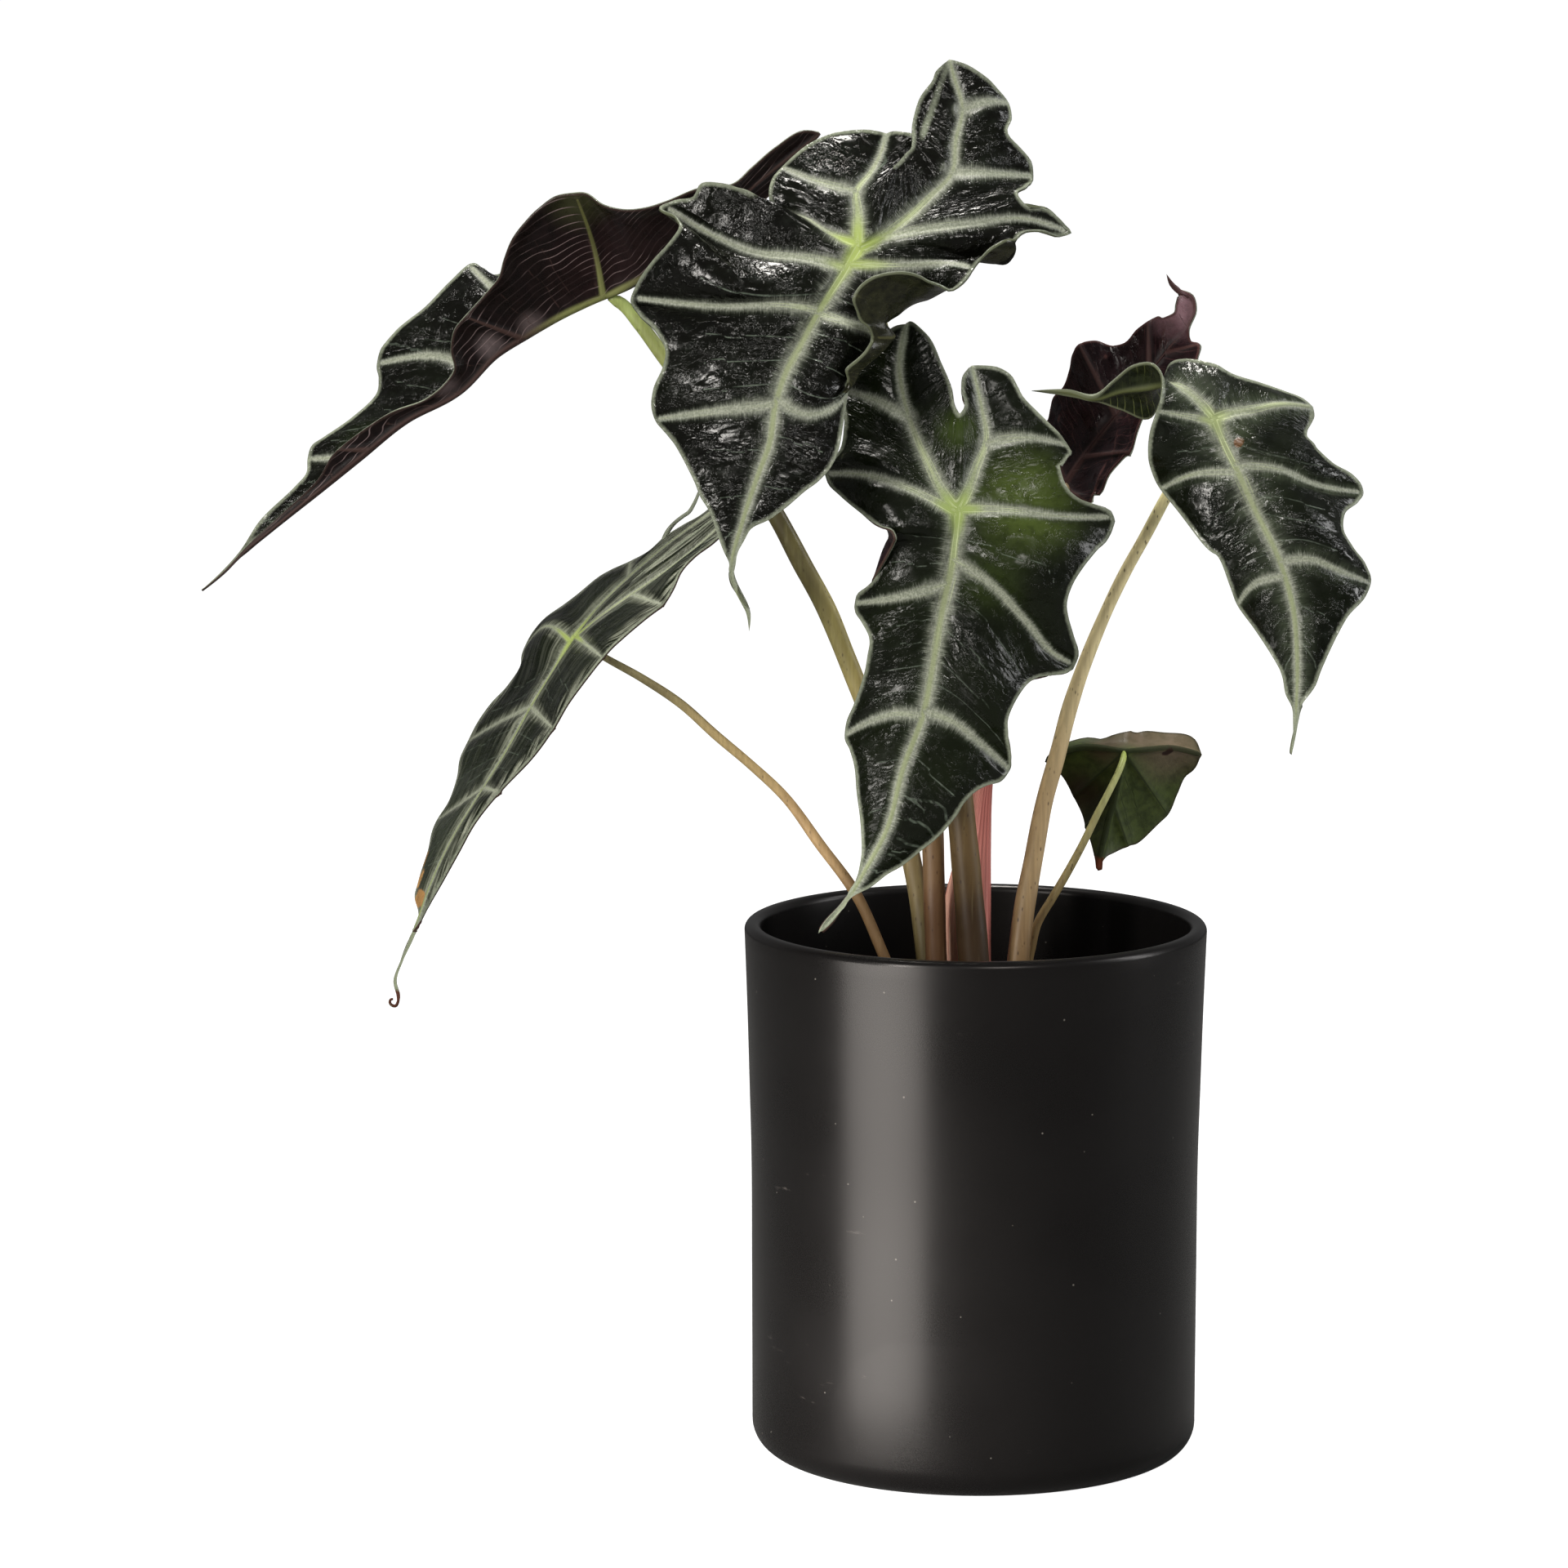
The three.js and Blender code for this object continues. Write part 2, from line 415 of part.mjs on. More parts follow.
// The right leaf: its left rear lobe turned over into a narrow spout
const RIGHT_LEAF = {
  junction: [70.5, 315.5, -24],
  sinus: [[71.5, 323, -20], [72.5, 331, -15]],
  midrib: [
    [74, 307.5, -27], [78, 299.5, -30], [83, 289, -33], [91, 272.5, -37], [95, 258.5, -39],
    [96.5, 242, -40], [96.5, 229.5, -39], [96, 221, -38], [95, 214, -37]
  ],
  left: {
    lobe: [[76.5, 317.5, -22], [82, 318.5, -20], [89.5, 320, -17], [100, 319, -11]],
    outer: [
      rib(-3.2, [], [[100.5, 316.5, -11], [99.5, 314, -12]]),
      rib(-1.5, [], [[98.5, 312, -14], [98.5, 310, -16]]),
      rib(0.4, [[86, 307.5, -28]], [[100.5, 308, -18], [102.5, 305.5, -20]]),
      vein(1.75, [[89.5, 300.5, -29], [100.5, 296, -26]],
        [[106.5, 302, -20], [112.5, 298.5, -19], [115, 295.5, -19], [115.5, 293.5, -19]]),
      rib(2.9, [[96.5, 287, -37]], [[114, 290.5, -22], [110, 287, -27], [109.5, 283, -30]]),
      vein(4, [[99, 273.5, -38], [109.5, 269.5, -35]],
        [[112.5, 277, -30], [116.5, 271.5, -28], [118, 266, -28]]),
      rib(4.6, [], [[116.5, 262, -31], [111.5, 256, -36]]),
      rib(5.4, [], [[108.5, 250.5, -38], [104, 240.5, -40]]),
      rib(6.3, [], [[102, 235, -40], [98.5, 230, -40]]),
      rib(7.1, [], [[97.5, 227, -39]]),
      rib(7.9, [], [[96.5, 221, -38]]),
    ],
    inner: [
      rib(-1.2, [], [[77, 328.5, -13]]),
      rib(-2.2, [], [[83.5, 326.5, -11]]),
      rib(-3.1, [], [[92, 323.5, -9]]),
      rib(-3.6, [], [[97, 321.5, -9]]),
    ],
  },
  right: {
    lobe: [
      [68, 318.5, -23], [62, 324, -21], [57, 326, -17], [50.5, 325, -12], [42, 324, -10],
      [35.5, 322, -10], [26, 323.5, -11], [16, 324, -12]
    ],
    outer: [
      rib(-7, [], [[26.5, 324.5, -11]]),
      rib(-6, [], [[35.5, 323, -11]]),
      rib(-5, [], [[41, 327.5, -13]]),
      rib(-4, [], [[46, 331.5, -15], [50.5, 332.5, -17]]),
      rib(-3, [], [[53.5, 331, -20], [55, 328, -22]]),
      rib(-2, [], [[55, 325, -24], [54.5, 321.5, -26]]),
      vein(0.1, [[59.5, 317, -27]], [[53.5, 318, -28]]),
      rib(1, [], [[51.5, 311.5, -27], [51, 305, -25]]),
      vein(2, [[65, 299, -27]], [[52, 300.5, -22], [55, 294.5, -20]]),
      rib(2.7, [], [[60.5, 287.5, -25], [66.5, 279.5, -29]]),
      rib(3.5, [], [[73, 273, -32]]),
      vein(4.3, [[84.5, 266.5, -36]], [[76, 265.5, -31], [78.5, 259.5, -30]]),
      rib(5.2, [], [[83.5, 252.5, -34], [89, 244, -37]]),
      rib(6.2, [], [[92, 238, -38], [93, 233, -38]]),
      rib(7.1, [], [[95.5, 227, -38]]),
      rib(7.9, [], [[95.5, 221, -38]]),
    ],
    inner: [
      rib(-1.3, [], [[68.5, 332.5, -14]]),
      rib(-2.1, [], [[63, 333.5, -12], [59, 333, -9]]),
      rib(-3, [], [[56, 328.5, -5]]),
      rib(-3.9, [], [[54.5, 322.5, -3], [52.5, 317, -3]]),
      rib(-5, [], [[42.5, 318.5, -6]]),
      rib(-6, [], [[35.5, 321, -9]]),
      rib(-7, [], [[26, 322.5, -11]]),
    ],
  },
  // Stalk from its foot up, each point with its diameter last
  stalk: [
    [9.5, 104.3, 0, 6.7], [9.5, 113, 0, 6.7], [13, 151, 1, 6.7], [14.5, 165, 2, 6.5],
    [17.5, 182.5, 3, 6], [20.7, 200, 4, 5.5], [24.5, 214, 5, 5.1], [28, 228, 6, 4.8],
    [31, 237.5, 6, 4.5], [36.5, 252, 6, 4.1], [44.5, 269.5, 5, 3.8], [50.5, 280.5, 3, 3.6],
    [56.5, 292, 0, 3.5], [62, 301.5, -5, 3.4], [66.5, 309.5, -12, 3.3], [70, 314, -20, 3.2],
    [70.5, 315.5, -24, 3.2]
  ],
};

// The back leaf: stands upright with its dark underside to the front and a curled tip
const BACK_LEAF = {
  junction: [26.5, 296, 32],
  sinus: [[26, 293, 32], [25.5, 289.5, 32]],
  midrib: [
    [33.5, 306, 31], [42.5, 317.5, 30], [50.5, 328, 30], [57.5, 337, 30], [62, 343, 31],
    [64, 347.5, 31], [63, 351.5, 30], [60, 353.5, 28], [57.5, 356, 27], [56, 359, 27]
  ],
  left: {
    lobe: [[28, 293.5, 29], [31, 292, 25], [34.5, 290.5, 21]],
    outer: [
      rib(-2, [], [[35, 293, 20]]),
      rib(-1, [], [[37.5, 294, 19]]),
      rib(0, [], [[39.5, 299, 18], [42, 302, 18]]),
      vein(0.8, [], [[46, 305.5, 17]]),
      rib(1.5, [], [[48, 312.5, 19], [49.5, 316, 20]]),
      vein(2.3, [], [[55.5, 319, 16], [61.5, 323.5, 15]]),
      rib(3.1, [], [[65, 329, 18]]),
      vein(3.8, [], [[65.5, 333.5, 20], [66.5, 337.5, 22]]),
      rib(4.4, [], [[63.5, 339, 26]]),
      rib(5, [], [[63, 342.5, 30]]),
      rib(6, [], [[65, 348, 30]]),
      rib(7, [], [[64, 352.5, 29]]),
      rib(8, [], [[60, 354.5, 28]]),
      rib(9, [], [[58, 356.5, 27]]),
    ],
    inner: [
      rib(-1, [], [[29, 289.5, 28]]),
      rib(-2, [], [[32, 289.5, 24]]),
    ],
  },
  right: {
    lobe: [[21.5, 294, 36], [16, 294.5, 40], [10.5, 296.5, 44]],
    outer: [
      rib(-2.2, [], [[11, 301.5, 46]]),
      rib(-1, [], [[16, 307.5, 46]]),
      vein(0, [], [[21, 314.5, 45]]),
      rib(0.7, [], [[22, 319, 43], [23, 322.5, 40]]),
      rib(1.3, [], [[25.5, 325, 38], [27.5, 330.5, 36]]),
      vein(1.9, [[37, 325, 31]], [[28.5, 335.5, 33], [30, 338, 32]]),
      rib(2.5, [], [[34.5, 339, 34], [40.5, 337.5, 36]]),
      vein(3.1, [], [[44, 338.5, 34], [47.5, 342.5, 32], [51, 345, 30]]),
      rib(4, [], [[55.5, 346, 29]]),
      rib(4.7, [], [[58.5, 347.5, 27]]),
      rib(5.6, [], [[59, 350, 27]]),
      rib(6.6, [], [[59.5, 352, 27]]),
      rib(8, [], [[59.5, 353, 28]]),
      rib(9, [], [[57, 355.5, 27]]),
    ],
    inner: [
      rib(-1.3, [], [[20.5, 289, 37]]),
      rib(-2.2, [], [[13.5, 291.5, 42]]),
    ],
  },
  // Stalk from its foot up, each point with its diameter last
  stalk: [
    [0, 106.6, 11, 5.4], [0, 115.2, 11, 5.4], [-0.5, 155, 11, 5.3], [0, 170, 11, 5.2],
    [1, 187.5, 11, 5.1], [2, 202.5, 11, 5], [4, 219, 11, 4.8], [7.5, 233.5, 12, 4.6],
    [14, 251, 13, 4.3], [20, 269.5, 16, 4], [24, 284.5, 21, 3.6], [26, 293, 27, 3.3],
    [26.5, 296, 32, 3.2]
  ],
};

// The small low right leaf: hangs with its underside to the front
const SMALL_LEAF = {
  junction: [44.5, 215, 26],
  sinus: [[45.5, 218, 30], [46.5, 221, 34]],
  midrib: [
    [43.5, 209, 29], [42, 201.5, 31], [40, 194, 31], [38.5, 187.5, 30], [37.5, 183, 29],
    [37, 178.5, 28]
  ],
  left: {
    lobe: [[38, 216, 28], [30.5, 216, 31], [21, 212, 34]],
    outer: [
      rib(-2.2, [], [[23.5, 210, 37]]),
      rib(-1.2, [], [[26.5, 207, 39]]),
      vein(0, [], [[29.5, 201.5, 41]]),
      rib(1, [], [[32, 196.5, 41]]),
      vein(2.2, [], [[33.5, 191.5, 38]]),
      rib(3.3, [], [[35, 187, 33]]),
      rib(4.2, [], [[36, 183, 30]]),
      rib(5, [], [[36.5, 181, 29]]),
    ],
    inner: [
      rib(-1, [], [[42, 220, 35], [37.5, 218.5, 36]]),
      rib(-2, [], [[34.5, 219, 37], [27.5, 217.5, 37]]),
    ],
  },
  right: {
    lobe: [[51.5, 215.5, 29], [59, 216, 33], [67.5, 214, 37]],
    outer: [
      rib(-2.2, [], [[65.5, 209.5, 40]]),
      rib(-1, [], [[63, 207.5, 42], [60.5, 202, 43]]),
      vein(0, [], [[57.5, 195.5, 43]]),
      rib(1.2, [], [[54.5, 192.5, 41], [50, 188, 39]]),
      vein(2.4, [], [[45.5, 186, 36]]),
      rib(3.4, [], [[41.5, 184, 33]]),
      rib(4.3, [], [[39, 182.5, 30]]),
      rib(5, [], [[37.5, 180.5, 29]]),
    ],
    inner: [
      rib(-1, [], [[48.5, 220.5, 36], [51.5, 221, 37]]),
      rib(-2, [], [[56.5, 220.5, 39], [63, 220, 40]]),
    ],
  },
  // Stalk from its foot up, each point with its diameter last
  stalk: [
    [9.5, 106.1, 8.5, 2.8], [9.5, 114.7, 8.5, 2.8], [17, 154.5, 9, 2.7], [18.5, 161.5, 9, 2.7],
    [23.5, 170.5, 9.5, 2.6], [27.5, 177.5, 10, 2.5], [32.5, 187, 11, 2.4], [36.5, 195.5, 13, 2.3],
    [40.5, 203.5, 15, 2.2], [43.5, 210, 19, 2.1], [44.5, 213.5, 23, 2], [44.5, 215, 26, 2]
  ],
};
const LEAVES = {
  top: TOP_LEAF,
  far_left: FAR_LEFT_LEAF,
  low_left: LOW_LEFT_LEAF,
  middle: MIDDLE_LEAF,
  right: RIGHT_LEAF,
  back: BACK_LEAF,
  small: SMALL_LEAF,
};

// Small vector helpers on plain arrays
const add = (a, b) => a.map((v, i) => v + b[i]);
const minus = (a, b) => a.map((v, i) => v - b[i]);
const times = (a, s) => a.map((v) => v * s);
const length = (a) => Math.hypot(...a);
const unit = (a) => times(a, 1 / (length(a) || 1));
const dot = (a, b) => a.reduce((sum, v, i) => sum + v * b[i], 0);
const cross = (a, b) => [a[1] * b[2] - a[2] * b[1], a[2] * b[0] - a[0] * b[2], a[0] * b[1] - a[1] * b[0]];
const range = (count) => Array.from({ length: count }, (_, i) => i);

// Distance travelled along a chain of points
function travelled(points) {
  const far = [0];
  for (let i = 1; i < points.length; i += 1) {
    far.push(far[i - 1] + length(minus(points[i], points[i - 1])));
  }
  return far;
}

function interpolate(knots, values, at) {
  const last = knots.length - 1;
  if (at <= knots[0]) return values[0];
  if (at >= knots[last]) return values[last];
  const i = knots.findIndex((k) => k > at) - 1;
  return values[i] + (values[i + 1] - values[i]) * (at - knots[i]) / (knots[i + 1] - knots[i]);
}

// Smooth curve through vectors at uneven knots: cubic pieces whose slopes are weighted means
function smoothCurve(knots, values) {
  const last = knots.length - 1;
  const steps = range(last).map((i) => knots[i + 1] - knots[i]);
  const slopes = steps.map((h, i) => times(minus(values[i + 1], values[i]), 1 / h));
  const tangents = values.map((_, i) => {
    if (last === 1 || i === 0 || i === last) return slopes[Math.min(i, last - 1)];
    const weighed = add(times(slopes[i - 1], steps[i]), times(slopes[i], steps[i - 1]));
    return times(weighed, 1 / (steps[i - 1] + steps[i]));
  });
  if (last > 1) {
    tangents[0] = minus(times(slopes[0], 1.5), times(tangents[1], 0.5));
    tangents[last] = minus(times(slopes[last - 1], 1.5), times(tangents[last - 1], 0.5));
  }
  return (x) => {
    const at = Math.min(Math.max(x, knots[0]), knots[last]);
    let i = 0;
    while (i < last - 1 && knots[i + 1] <= at) i += 1;
    const t = (at - knots[i]) / steps[i];
    const start = times(values[i], 2 * t ** 3 - 3 * t ** 2 + 1);
    const leaving = times(tangents[i], (t ** 3 - 2 * t ** 2 + t) * steps[i]);
    const end = times(values[i + 1], 3 * t ** 2 - 2 * t ** 3);
    const arriving = times(tangents[i + 1], (t ** 3 - t ** 2) * steps[i]);
    return add(add(start, leaving), add(end, arriving));
  };
}

function chordCurve(points) {
  const far = travelled(points);
  return { curve: smoothCurve(far, points), total: far[far.length - 1], far };
}

// One side of a blade, with its stations turned into distances along the skeleton
function bladeSide(leaf, side) {
  const junction = place(leaf.junction);
  const midrib = chordCurve([junction, ...leaf.midrib.map(place)]);
  const lobe = chordCurve([junction, ...side.lobe.map(place)]);
  const distance = (station) => {
    const { far } = station < 0 ? lobe : midrib;
    return Math.sign(station) * interpolate(range(far.length), far, Math.abs(station));
  };
  const spine = (at) => (at < 0 ? lobe.curve(-at) : midrib.curve(at));
  const ribs = (list) => list.map((r) => ({ ...r, at: distance(r.station) }));
  const outer = ribs(side.outer);
  const inner = ribs(side.inner);
  const lobeEnd = -lobe.total;
  const tip = midrib.total;
  return { spine, outer, inner, lobeEnd, tip };
}

// Knots of a patch: rib curves and the edge points, each with its distance along the skeleton
function patchKnots(spine, ribs, first, last) {
  const curves = [first];
  const edge = [{ at: first.at, point: first.end }];
  for (const r of ribs) {
    const chain = [edge[edge.length - 1].point, ...r.edge.map(place)];
    const far = travelled(chain);
    const from = curves[curves.length - 1].at;
    for (let i = 1; i < chain.length; i += 1) {
      edge.push({ at: from + (r.at - from) * far[i] / far[far.length - 1], point: chain[i] });
    }
    curves.push({ at: r.at, through: [spine(r.at), ...r.through.map(place), chain[chain.length - 1]] });
  }
  edge.push({ at: last.at, point: last.end });
  curves.push(last);
  return { curves, edge };
}

// A patch of the blade as rows of points, from the skeleton across to the edge
function patchRows(spine, knots, stations, across) {
  const { curves, edge } = knots;
  const direction = Math.sign(curves[curves.length - 1].at - curves[0].at);
  const widths = range(across + 1).map((j) => j / across);
  const ribRows = curves.map((c) => {
    if (!c.through) return widths.map(() => c.end);
    const { curve, total } = chordCurve(c.through);
    return widths.map((w) => curve(w * total));
  });
  const at = curves.map((c) => direction * c.at);
  const lofts = widths.map((_, j) => smoothCurve(at, ribRows.map((row) => row[j])));
  const edgeCurve = smoothCurve(edge.map((e) => direction * e.at), edge.map((e) => e.point));
  return stations.map((s) => {
    const row = lofts.map((loft) => loft(direction * s));
    const rootShift = minus(spine(s), row[0]);
    const edgeShift = minus(edgeCurve(direction * s), row[across]);
    return row.map((p, j) => {
      const w = widths[j];
      return add(p, add(times(rootShift, (1 - w) ** 2), times(edgeShift, w ** 2)));
    });
  });
}

// Rows stand at the ribs, and between them wherever the edge is long
function rowStations(marks, edges, step, nearest) {
  const sorted = [...marks].sort((a, b) => a - b);
  const ends = [sorted[0], sorted[sorted.length - 1]];
  const kept = [ends[0]];
  for (const m of sorted) {
    if (m - kept[kept.length - 1] > nearest && ends[1] - m > nearest) kept.push(m);
  }
  kept.push(ends[1]);
  const edgeLength = (edge) => {
    const far = travelled(edge.map((e) => e.point));
    return (at) => interpolate(edge.map((e) => e.at), far, at);
  };
  const lengths = edges.map(edgeLength);
  const stations = [kept[0]];
  for (let i = 1; i < kept.length; i += 1) {
    const [a, b] = [kept[i - 1], kept[i]];
    const span = (b - a) + lengths.reduce((sum, l) => sum + l(b) - l(a), 0);
    const parts = Math.max(1, Math.round(span / step));
    for (let k = 1; k <= parts; k += 1) stations.push(a + (b - a) * k / parts);
  }
  return stations;
}

// All the patches of a blade: an outer and an inner one on each side
function bladePatches(leaf, { across, step, nearest }) {
  const junction = place(leaf.junction);
  const sinus = [junction, ...leaf.sinus.map(place)];
  const sides = ['left', 'right'].map((name) => {
    const side = bladeSide(leaf, leaf[name]);
    const lobeTip = { at: side.lobeEnd, end: side.spine(side.lobeEnd) };
    const bladeTip = { at: side.tip, end: side.spine(side.tip) };
    const notch = { at: 0, through: sinus, end: sinus[sinus.length - 1] };
    const outer = patchKnots(side.spine, side.outer, lobeTip, bladeTip);
    const inner = patchKnots(side.spine, side.inner, notch, lobeTip);
    return { ...side, outerKnots: outer, innerKnots: inner };
  });
  const midMarks = sides.flatMap((s) => s.outer.map((r) => r.at)).filter((at) => at > nearest);
  const margins = sides.map((s) => s.outerKnots.edge);
  const midStations = rowStations([0, ...midMarks, sides[0].tip], margins, step, nearest);
  return sides.flatMap((s, i) => {
    const lobeMarks = [...s.outer, ...s.inner].map((r) => r.at).filter((at) => at < -nearest);
    const lobeStations = rowStations([s.lobeEnd, ...lobeMarks, 0], [s.outerKnots.edge], step, nearest);
    const outerRows = patchRows(s.spine, s.outerKnots, [...lobeStations, ...midStations.slice(1)], across);
    const innerAcross = Math.max(2, across - 1);
    const innerRows = patchRows(s.spine, s.innerKnots, [...lobeStations].reverse(), innerAcross);
    return [{ rows: outerRows, flip: i === 1 }, { rows: innerRows, flip: i === 1 }];
  });
}

// Join patches into one sheet of triangles, with points that meet made one
function weldedSheet(patches) {
  const points = [];
  const known = new Map();
  const indexOf = (p) => {
    const key = p.map((v) => Math.round(v * 1000)).join(',');
    if (!known.has(key)) {
      known.set(key, points.length);
      points.push(p);
    }
    return known.get(key);
  };
  const faces = [];
  for (const { rows, flip } of patches) {
    for (let i = 0; i < rows.length - 1; i += 1) {
      for (let j = 0; j < rows[i].length - 1; j += 1) {
        const [a, b, c, d] = [rows[i][j], rows[i][j + 1], rows[i + 1][j + 1], rows[i + 1][j]].map(indexOf);
        const shortAC = length(minus(points[a], points[c])) <= length(minus(points[b], points[d]));
        const pair = shortAC ? [[a, d, c], [a, c, b]] : [[a, d, b], [b, d, c]];
        for (const [p, q, r] of pair) {
          if (p !== q && q !== r && r !== p) faces.push(flip ? [p, r, q] : [p, q, r]);
        }
      }
    }
  }
  return { points, faces };
}

function sheetNormals({ points, faces }) {
  const normals = points.map(() => [0, 0, 0]);
  for (const f of faces) {
    const n = cross(minus(points[f[1]], points[f[0]]), minus(points[f[2]], points[f[0]]));
    for (const v of f) normals[v] = add(normals[v], n);
  }
  return normals.map(unit);
}

// Give a sheet its thickness, half on each face, with both faces split alike
function thickened(sheet, thickness) {
  const { points, faces } = sheet;
  const normals = sheetNormals(sheet);
  const count = points.length;
  const upper = points.map((p, i) => add(p, times(normals[i], thickness / 2)));
  const lower = points.map((p, i) => minus(p, times(normals[i], thickness / 2)));
  const all = faces.map((f) => [...f]);
  faces.forEach(([a, b, c]) => all.push([c + count, b + count, a + count]));
  const edges = new Set();
  for (const f of faces) {
    for (let k = 0; k < 3; k += 1) edges.add(`${f[k]} ${f[(k + 1) % 3]}`);
  }
  for (const e of edges) {
    const [a, b] = e.split(' ').map(Number);
    if (!edges.has(`${b} ${a}`)) {
      all.push([b, a, a + count], [b, a + count, b + count]);
    }
  }
  return { points: [...upper, ...lower], faces: all };
}

// A round bar of changing diameter along a smooth path, cut square at its foot
function bar(path, diameters, { sides, grow = 0, extend = 0 }) {
  const points = path.map((p) => p);
  const away = unit(minus(points[0], points[1]));
  points[0] = add(points[0], times(away, extend));
  const tangents = points.map((_, i) => {
    const before = points[Math.max(i - 1, 0)];
    const after = points[Math.min(i + 1, points.length - 1)];
    return unit(minus(after, before));
  });
  let across = unit(cross(tangents[0], [0, 1, 0.1]));
  const vertices = [];
  points.forEach((p, i) => {
    across = unit(minus(across, times(tangents[i], dot(across, tangents[i]))));
    const upward = cross(tangents[i], across);
    const radius = diameters[i] / 2 + grow;
    for (const k of range(sides)) {
      const angle = 2 * Math.PI * k / sides;
      const sideways = times(across, radius * Math.cos(angle));
      vertices.push(add(p, add(sideways, times(upward, radius * Math.sin(angle)))));
    }
  });
  const faces = [];
  for (let i = 0; i < points.length - 1; i += 1) {
    for (const k of range(sides)) {
      const a = i * sides + k;
      const b = i * sides + (k + 1) % sides;
      faces.push([a, b, b + sides], [a, b + sides, a + sides]);
    }
  }
  const top = (points.length - 1) * sides;
  for (let k = 1; k < sides - 1; k += 1) {
    faces.push([0, k + 1, k], [top, top + k, top + k + 1]);
  }
  return { points: vertices, faces };
}

function barPath(points, step) {
  const { curve, total } = chordCurve(points.map((p) => [...place(p), p[3]]));
  const parts = Math.ceil(total / step);
  const samples = range(parts + 1).map((i) => curve(total * i / parts));
  return { path: samples.map((s) => s.slice(0, 3)), diameters: samples.map((s) => s[3]) };
}

// Solids for joining and cutting
function toSolid({ points, faces }) {
  const mesh = new wasm.Mesh({
    numProp: 3,
    vertProperties: new Float32Array(points.flat()),
    triVerts: new Uint32Array(faces.flat()),
  });
  return new wasm.Manifold(mesh);
}

function geometrySolid(geometry) {
  const position = geometry.toNonIndexed().getAttribute('position');
  const points = [];
  const known = new Map();
  const index = range(position.count).map((i) => {
    const p = [position.getX(i), position.getY(i), position.getZ(i)];
    const key = p.map((v) => Math.round(v * 1000)).join(',');
    if (!known.has(key)) {
      known.set(key, points.length);
      points.push(p);
    }
    return known.get(key);
  });
  const faces = [];
  for (let i = 0; i < index.length; i += 3) {
    const [a, b, c] = index.slice(i, i + 3);
    if (a !== b && b !== c && c !== a) faces.push([a, b, c]);
  }
  const volume = faces.reduce((sum, [a, b, c]) => sum + dot(points[a], cross(points[b], points[c])), 0);
  return toSolid({ points, faces: volume > 0 ? faces : faces.map(([a, b, c]) => [a, c, b]) });
}

function largestPiece(solid) {
  return solid.decompose().sort((a, b) => b.volume() - a.volume())[0];
}

const group = new THREE.Group();

function addPart(name, look, solid) {
  const mesh = solid.getMesh();
  const geometry = new THREE.BufferGeometry();
  const positions = [];
  for (let i = 0; i < mesh.numVert; i += 1) {
    positions.push(...mesh.vertProperties.slice(i * mesh.numProp, i * mesh.numProp + 3));
  }
  geometry.setAttribute('position', new THREE.Float32BufferAttribute(positions, 3));
  geometry.setIndex(Array.from(mesh.triVerts));
  geometry.computeVertexNormals();
  const part = new THREE.Mesh(geometry, new THREE.MeshStandardMaterial(COLOURS[look]));
  part.name = name;
  group.add(part);
}

// A turned body from a profile of [radius, height] pairs
function turned(profile, facets) {
  const geometry = new THREE.LatheGeometry(profile.map(([r, z]) => new THREE.Vector2(r, z)), facets);
  geometry.rotateX(Math.PI / 2);
  return geometrySolid(geometry);
}

// Points on a rounded corner, from one angle to another, in degrees
function roundCorner(centreRadius, centreHeight, radius, from, to, parts) {
  return range(parts + 1).map((i) => {
    const angle = THREE.MathUtils.degToRad(from + (to - from) * i / parts);
    return [centreRadius + radius * Math.cos(angle), centreHeight + radius * Math.sin(angle)];
  });
}

function coverPot() {
  const p = COVER_POT;
  const rimCentre = p.height - p.rimRound;
  const innerTop = p.rimRadius - p.wall;
  const innerFoot = p.footRadius - p.wall;
  return turned([
    [0, 0],
    ...roundCorner(p.footRadius - p.footRound, p.footRound, p.footRound, -90, 0, 4),
    ...COVER_POT_SIDE,
    ...roundCorner(p.rimRadius - p.rimRound, rimCentre, p.rimRound, 0, 90, 3),
    ...roundCorner(innerTop + p.rimRound, rimCentre, p.rimRound, 90, 180, 3),
    ...[...COVER_POT_SIDE].reverse().map(([radius, z]) => [radius - p.wall, z]),
    ...roundCorner(innerFoot - p.innerRound, p.floor + p.innerRound, p.innerRound, 0, -90, 3),
    [0, p.floor],
  ], FACETS.pot);
}

const growingFoot = COVER_POT.floor + GAP;
const growingFloor = growingFoot + GROWING_POT.wall;

function growingPot() {
  const g = GROWING_POT;
  const top = growingFoot + g.height;
  const innerTop = g.topRadius - g.wall;
  const innerBase = g.baseRadius - g.wall;
  let solid = turned([
    [0, growingFoot],
    [g.baseRadius, growingFoot],
    [g.topRadius, top - g.lipHeight],
    [g.topRadius + g.lipOut, top - g.lipHeight],
    [g.topRadius + g.lipOut, top],
    [innerTop, top],
    [innerBase, growingFloor],
    [0, growingFloor],
  ], FACETS.pot);
  for (const k of range(g.holes)) {
    const angle = 2 * Math.PI * k / g.holes;
    const drill = new THREE.CylinderGeometry(g.holeRadius, g.holeRadius, 3 * g.wall, 10);
    drill.rotateX(Math.PI / 2);
    const [x, y] = [g.holeCircle * Math.cos(angle), g.holeCircle * Math.sin(angle)];
    drill.translate(x, y, growingFoot + g.wall / 2);
    solid = solid.subtract(geometrySolid(drill));
  }
  return solid;
}

